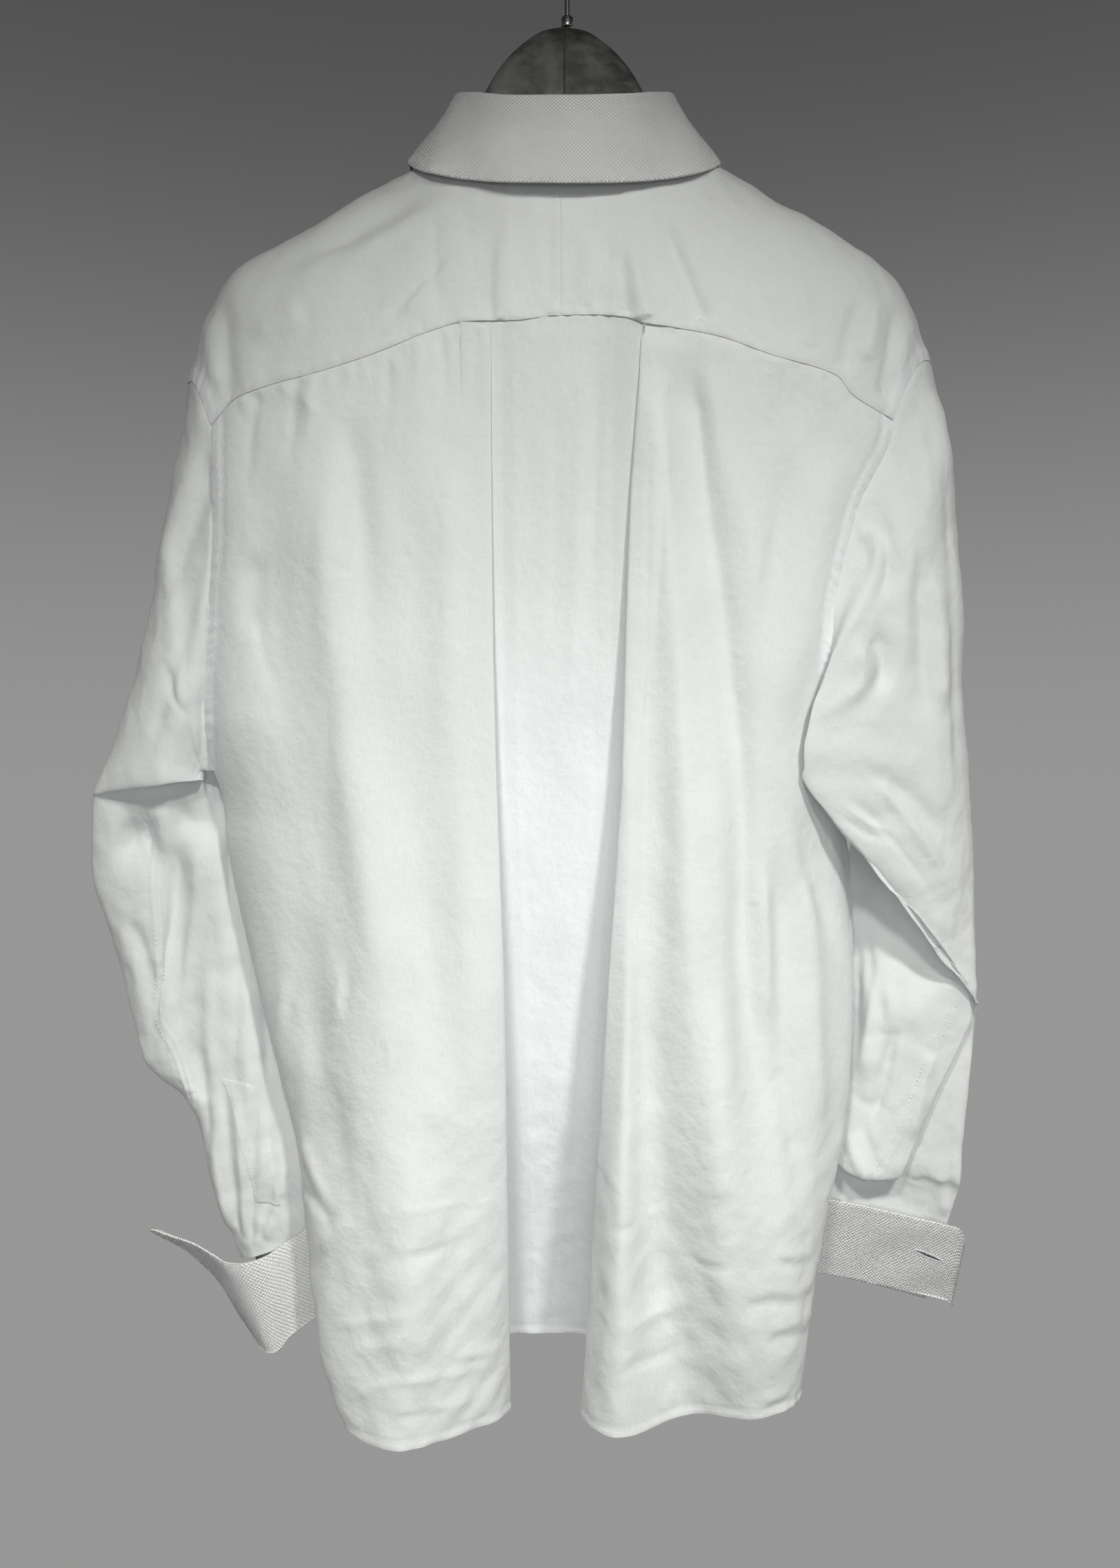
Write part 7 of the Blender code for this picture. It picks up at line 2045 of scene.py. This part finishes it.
        # tight turns at a fold's edge keep their form
        turning = 1 - np.clip(np.abs(np.einsum("rci,rci->rc", np.roll(n, 2, 1), np.roll(n, -2, 1))), 0, 1)
        lift *= 1 - 0.6 * ease(turning / 0.5)
        for line, wide in seams:
            spots, _ = on_surface(grid, n, dense(line, 4.0))
            gap, along = to_line(grid, spots)
            lift += np.where((gap < 12) & (n[..., 1] < 0.5), 0.6 * ease((wide - gap) / 1.0) + 0.34 * ease((wide + 2 - gap) / 2) * ripple(along, 6.5, seed + 5)
                             - 0.4 * np.exp(-((gap / 0.8) ** 2)), 0)
        lift -= 0.4 * np.exp(-top / 1.5)
        more = np.array([grid[0] + tangents * 3.2, grid[0] + tangents * 1.2])
        grid_t = np.concatenate([more, grid])
        n_t = np.concatenate([n[:1], n[:1], n])
        lift_t = np.concatenate([np.full((1, grid.shape[1]), -1.15), np.full((1, grid.shape[1]), -1.05), lift])
        obj, drawn = cloth(f"shirt_sleeve_{name}", grid_t, lift_t, n_t, white, wrap=True)
        drawn = drawn[2:]
        made[f"sleeve_{name}"] = (obj, grid, drawn, n, f"sleeve_{name}")
        for line, wide in seams:
            path, up = on_surface(drawn, n, dense(line, 3.0))
            across = unit(np.cross(unit(np.gradient(path, axis=0)), up))
            for off in (-2.4, 2.4):
                sew("sleeve_seams", path + across * off - up * 0.05, up, pitch=3.1, long=2.1, radius=0.30)
        # slit and its strip, near the cuff
        first_col = 50 if name == "left" else 150
        rows = slice(len(grid) - 62, len(grid) - 20)
        strip_cols = slice(first_col, first_col + 11)
        sgrid, sn = drawn[rows, strip_cols], n[rows, strip_cols]
        base = sgrid + sn * 0.8
        f2, l2, t2, b2 = arcs(base)
        lift = -0.25 * np.exp(-f2 / 0.5) - 0.25 * np.exp(-l2 / 0.5) - 0.3 * np.exp(-t2 / 0.6)
        obj, strip_out = cloth(f"sleeve_placket_strip_{name}", base, lift, sn, white, wall=0.5)
        made[f"strip_{name}"] = (obj, base, strip_out, sn, f"sleeve_placket_{name}")
        for values in (f2, l2):
            sew("sleeve_seams", row_path(values, 1.8, range(1, len(base) - 1), strip_out), row_path(values, 1.8, range(1, len(base) - 1), sn))

    # -------------------------------------------------- collar
    def collar(grid, name, sign, wall, edge_line, key_name):
        n = facing_of(grid, sign)
        first, last, top, bottom = arcs(grid)
        lift = 0.28 * waves(grid, 60.0, 121, stretch=(1, 1, 1)) * ease(top / 6)
        if name == "collar_leaf_cloth":
            ends = np.minimum(first, last)
            near = np.minimum(bottom, ends)
            lift -= 0.22 * np.exp(-(((near - edge_line) / 0.9) ** 2))
            lift += 0.16 * ease((edge_line - near) / 2.0) * ripple(first.mean(0)[None] + 0 * first, 11.0, 122)
            lift -= 0.55 * np.exp(-near / 0.55)
            lift += relief(photo(grid), [
                (0.9, (26, 26), (0.3, 0.3), [(690, 180), (700, 250)]),
                (-0.8, (22, 22), (0.3, 0.3), [(760, 175), (770, 250)]),
                (0.8, (26, 26), (0.3, 0.3), [(880, 180), (900, 250)]),
                (-0.6, (7, 9), (0.3, 0.3), [(655, 172), (700, 164), (760, 166)]),
                (-0.7, (16, 16), (0.3, 0.3), [(958, 170), (985, 240)]),
            ]) * toward(n[..., 1])
        obj, drawn = cloth(name, grid, lift, n, diamond, wall=wall, every=2)
        made[name] = (obj, grid, drawn, n, key_name)
        return first, last, top, bottom, drawn, n

    leaf = leaf_fine(46, 330)
    first, last, top, bottom, drawn, n = collar(leaf, "collar_leaf_cloth", 1.0, 1.7, 7.6, "collar_leaf")
    near_cols = [c for c in range(leaf.shape[1]) if first[-1, c] > 8 and last[-1, c] > 8]
    sew("collar_seams", level_path(bottom, 7.6, near_cols, drawn), level_path(bottom, 7.6, near_cols, n), pitch=2.5, long=1.8, radius=0.17)
    long_rows = [r for r in range(14, len(leaf)) if bottom[r, 0] > 7.6]
    for values in (first, last):
        sew("collar_seams", row_path(values, 7.6, long_rows, drawn), row_path(values, 7.6, long_rows, n), pitch=2.5, long=1.8, radius=0.17)
    stand = stand_fine(22, 300)
    first, last, top, bottom, drawn, n = collar(stand, "collar_stand_cloth", -1.0, 1.5, 0.0, "collar_stand")
    mid_cols = range(3, stand.shape[1] - 3)
    sew("collar_seams", level_path(top, 1.6, mid_cols, drawn), level_path(top, 1.6, mid_cols, n), pitch=2.5, long=1.8, radius=0.17)
    stand_drawn = drawn

    # -------------------------------------------------- cuffs
    for name, table, sign in (("left", CUFF_LEFT, -1.0), ("right", CUFF_RIGHT, 1.0)):
        rim, way, edge_n, length = cuff_lines(table, sign)
        span = arcs(rim[None])[0][0]
        total = span[-1]
        ends = np.minimum(span, total - span)
        corner = 11.0
        start = np.where(ends < corner, corner - np.sqrt(np.maximum(corner**2 - (corner - np.minimum(ends, corner)) ** 2, 0)), 0.0)
        deep = CUFF_DEEP - 1.5
        rows = []
        for t in np.linspace(0, 1, 40):
            rows.append(rim + way * (start + (deep - start) * t)[:, None])
        for a in np.linspace(0, math.pi, 11)[1:-1]:
            rows.append(rim + way * (deep + 1.5 * math.sin(a)) - edge_n * (1.5 * (1 - math.cos(a))))
        for t in np.linspace(0, 1, 22):
            v = deep + (9.0 + start - deep) * t
            rows.append(rim + way * (v if np.ndim(v) == 0 else v[:, None]) - edge_n * 3.0)
        grid = np.array(rows)
        n = facing_of(grid, sign)
        first, last, top, bottom = arcs(grid)
        lift = np.zeros(grid.shape[:2])
        leaf_rows = np.zeros(grid.shape[:2])
        leaf_rows[:40] = 1.0
        e = np.minimum(first, last)
        v_down = top + start[None]
        # distance from the leaf's free edge, round its rounded corners
        inner_corner = np.hypot(np.maximum(corner - e, 0), np.maximum(corner - v_down, 0))
        edge = np.where((e < corner) & (v_down < corner), corner - inner_corner, np.minimum(e, v_down))
        lift -= leaf_rows * (0.24 * np.exp(-(((edge - 4.2) / 0.8) ** 2)) + 0.45 * np.exp(-np.maximum(edge, 0) / 0.5))
        lift += leaf_rows * 0.14 * ease((4.2 - edge) / 1.5) * ripple(first.mean(0)[None] + 0 * first, 9.0, 131)
        lift += leaf_rows * 0.35 * waves(grid, 46.0, 132, stretch=(1, 1, 1)) * ease(edge / 8)
        obj, drawn = cloth(f"cuff_cloth_{name}", grid, lift, n, diamond, wall=1.05, every=1)
        made[f"cuff_{name}"] = (obj, grid, drawn, n, f"cuff_{name}")
        # stitching 4 mm inside the free edge: up one end, along the rim, down the other
        at, down = [], []
        for v in np.linspace(deep - 2, corner, 30):
            at.append(4.2)
            down.append(v)
        for a in np.linspace(0, math.pi / 2, 8)[1:]:
            at.append(corner - (corner - 4.2) * math.cos(a))
            down.append(corner - (corner - 4.2) * math.sin(a))
        side_at, side_down = np.array(at), np.array(down)
        middle = np.linspace(corner, total - corner, 220)
        s = np.concatenate([side_at, middle, total - side_at[::-1]])
        v = np.concatenate([side_down, np.full(len(middle), 4.2), side_down[::-1]])

        def on_leaf(s, v):
            """Points and normals on the leaf at lengths along the rim and below it."""
            c = np.interp(s, span, np.arange(len(span)))
            rows_at, out, up = None, [], []
            for ci, vi in zip(c, v):
                k = int(min(math.floor(ci), len(span) - 2))
                f = ci - k
                begin = mix(start[k], start[k + 1], f)
                r = np.clip((vi - begin) / (deep - begin), 0, 1) * 39
                j = int(min(math.floor(r), 38))
                g = r - j
                def pick(field):
                    a = mix(field[j, k], field[j, k + 1], f)
                    b = mix(field[j + 1, k], field[j + 1, k + 1], f)
                    return mix(a, b, g)
                out.append(pick(drawn))
                up.append(pick(n))
            return np.array(out), unit(np.array(up))

        path, up = on_leaf(s, v)
        sew("cuff_seams", path, up, pitch=2.5, long=1.8, radius=0.17)
        # buttonholes: one near each end of the leaf
        for s0 in (26.5, total - 26.5):
            slope = 2.0 if s0 < total / 2 else -2.0
            spots = [(s0 - 9.6, 28.0 + slope), (s0 + 9.6, 28.0 - slope)]
            buttonhole(f"buttonhole_{name}_{'a' if s0 < total / 2 else 'b'}", on_leaf, spots, thread_white)

    # -------------------------------------------------- buttons and placket details
    axis_rows = placket
    mids = (axis_rows[:, 4] + axis_rows[:, 5]) / 2
    order = np.argsort(mids[:, 2])
    for k in range(6):
        level = -300.0 - 100.0 * k
        y = np.interp(level, mids[order, 2], mids[order, 1])
        slope = (np.interp(level + 6, mids[order, 2], mids[order, 1]) - np.interp(level - 6, mids[order, 2], mids[order, 1])) / 12
        axis = unit(np.array([0.0, 1.0, -slope]))
        button(f"shirt_button_{k + 1}", np.array([0.0, y, level]) + axis * 0.25, axis, f"button_{k + 1}", thread_white)
        upright_hole(f"placket_hole_{k + 1}", np.array([0.0, y, level]), axis, thread_white)
    y = np.interp(0.0, np.sort(stand_drawn[11, -30:, 0]), stand_drawn[11, -30:, 1][np.argsort(stand_drawn[11, -30:, 0])])
    z = np.interp(0.0, np.sort(stand_drawn[11, -30:, 0]), stand_drawn[11, -30:, 2][np.argsort(stand_drawn[11, -30:, 0])])
    rise = (stand_drawn[-1, -12, 1] - stand_drawn[0, -12, 1]) / (stand_drawn[-1, -12, 2] - stand_drawn[0, -12, 2])
    axis = unit(np.array([0.0, 1.0, -rise]))
    button("shirt_button_collar", np.array([0.0, y, z]) + axis * 0.4, axis, "button_collar", thread_white)

    # -------------------------------------------------- stitches
    holders = {
        "hem": "shirt_back", "side_seams": "shirt_back", "armholes": "shirt_back", "centre_seam": "shirt_yoke_left",
        "front_seams": "shirt_yoke_right", "placket_seams": "shirt_placket", "sleeve_seams": "shirt_sleeve_left",
        "collar_seams": "collar_leaf_cloth", "cuff_seams": "cuff_cloth_left",
    }
    extra = {}
    for key_name, (points, faces, _) in STITCHES.items():
        obj = place(f"stitches_{key_name}", np.concatenate(points), faces, thread_white, sharp=70)
        extra.setdefault(holders[key_name], []).append(obj)
    for name, objs in LOOSE.items():
        extra.setdefault(name, []).extend(objs)

    # -------------------------------------------------- hide the CAD parts the pieces stand for
    for key_name, (obj, grid, drawn, n, node) in made.items():
        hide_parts(node)
        wraps = key_name.startswith("sleeve_")
        g = np.concatenate([drawn, drawn[:, :1]], 1) if wraps else drawn
        first, _, top, _ = arcs(g)
        wide, tall = float(first[:, -1].max()) / 1000, float(top[-1].max()) / 1000
        wide, tall = round(wide, 3), round(tall, 3)

    hanger()


# ---------------------------------------------------------------- camera, light, floor
def aimed(obj, target):
    way = np.asarray(target, float) - np.array(obj.location[:])
    flat = math.hypot(way[0], way[1])
    obj.rotation_euler = (math.atan2(flat, -way[2]), 0.0, math.atan2(way[1], way[0]) - math.pi / 2)


def lamp(name, at, target, wide, tall, watts, beam=180.0, colour=(1.0, 1.0, 1.0)):
    data = bpy.data.lights.new(name, "AREA")
    data.shape, data.size, data.size_y = "RECTANGLE", wide, tall
    data.energy, data.color = watts, colour
    data.spread = math.radians(beam)
    obj = bpy.data.objects.new(name, data)
    obj.location = at
    aimed(obj, target)
    bpy.context.scene.collection.objects.link(obj)


def stage():
    scene = bpy.context.scene
    data = bpy.data.cameras.new("camera")
    data.sensor_fit, data.sensor_width, data.lens = "AUTO", 36.0, 31.66
    camera = bpy.data.objects.new("camera", data)
    camera.location = (-0.0028, -0.920, -0.574)
    camera.rotation_euler = (math.pi / 2, 0.0, 0.0)
    scene.collection.objects.link(camera)
    scene.camera = camera
    scene.view_settings.view_transform = "Standard"

    world = bpy.data.worlds.new("studio")
    scene.world = world
    world.use_nodes = True
    tree = world.node_tree
    back = tree.nodes["Background"]
    # a plain grey surround, a little darker towards the top, as a lit studio wall is
    where = tree.nodes.new("ShaderNodeTexCoord")
    parts = tree.nodes.new("ShaderNodeSeparateXYZ")
    tree.links.new(where.outputs["Generated"], parts.inputs[0])
    ramp = tree.nodes.new("ShaderNodeMapRange")
    ramp.interpolation_type = "SMOOTHERSTEP"
    ramp.inputs["From Min"].default_value, ramp.inputs["From Max"].default_value = 0.62, -0.10
    ramp.inputs["To Min"].default_value, ramp.inputs["To Max"].default_value = 0.07, 0.31
    tree.links.new(parts.outputs["Z"], ramp.inputs["Value"])
    tint = tree.nodes.new("ShaderNodeCombineColor")
    for socket, share in zip(tint.inputs, (1.0, 1.01, 0.99)):
        times = tree.nodes.new("ShaderNodeMath")
        times.operation = "MULTIPLY"
        times.inputs[1].default_value = share
        tree.links.new(ramp.outputs["Result"], times.inputs[0])
        tree.links.new(times.outputs[0], socket)
    tree.links.new(tint.outputs[0], back.inputs[0])
    # seen behind the shirt it is mid grey; as light it is softer still
    rays = tree.nodes.new("ShaderNodeLightPath")
    power = tree.nodes.new("ShaderNodeMapRange")
    power.inputs["To Min"].default_value, power.inputs["To Max"].default_value = 0.30, 1.0
    tree.links.new(rays.outputs["Is Camera Ray"], power.inputs["Value"])
    tree.links.new(power.outputs["Result"], back.inputs[1])

    lamp("lamp_left", (-0.15, -1.2, 0.32), (-0.06, 0.0, -0.95), 0.14, 0.14, 1.22, 57.0, (1.0, 1.0, 0.955))
    lamp("lamp_right", (0.50, -1.15, 0.32), (0.02, 0.0, -0.95), 0.14, 0.14, 1.52, 57.0, (1.0, 1.0, 0.955))
    lamp("side_left", (-1.25, -0.40, -0.85), (-0.2, 0.0, -0.85), 0.5, 0.9, 0.32, 100.0, (1.0, 1.0, 1.0))
    lamp("side_right", (1.25, -0.40, -0.85), (0.2, 0.0, -0.85), 0.5, 0.9, 0.5, 100.0, (1.0, 1.0, 1.0))
    lamp("far_side", (0.25, 1.9, -0.15), (0.0, 0.0, -0.58), 1.2, 0.9, 3.2, 90.0, (1.0, 1.0, 0.99))
    lamp("collar_soft", (0.05, -1.1, 0.1), (0.0, -0.04, -0.13), 0.2, 0.2, 0.026, 20.0, (1.0, 1.0, 0.97))
    lamp("front_fill", (0.0, -1.7, -0.75), (0.0, 0.0, -0.88), 0.9, 0.7, 1.35, 70.0, (0.99, 1.0, 0.985))

    size = 2.2
    mesh = bpy.data.meshes.new("floor")
    low = -1.46
    mesh.from_pydata([(-size, -size, low), (size, -size, low), (size, 0.42, low), (-size, 0.42, low)], [], [(0, 1, 2, 3)])
    mesh.materials.append(studio_floor())
    floor = bpy.data.objects.new("floor", mesh)
    scene.collection.objects.link(floor)


main()
stage()
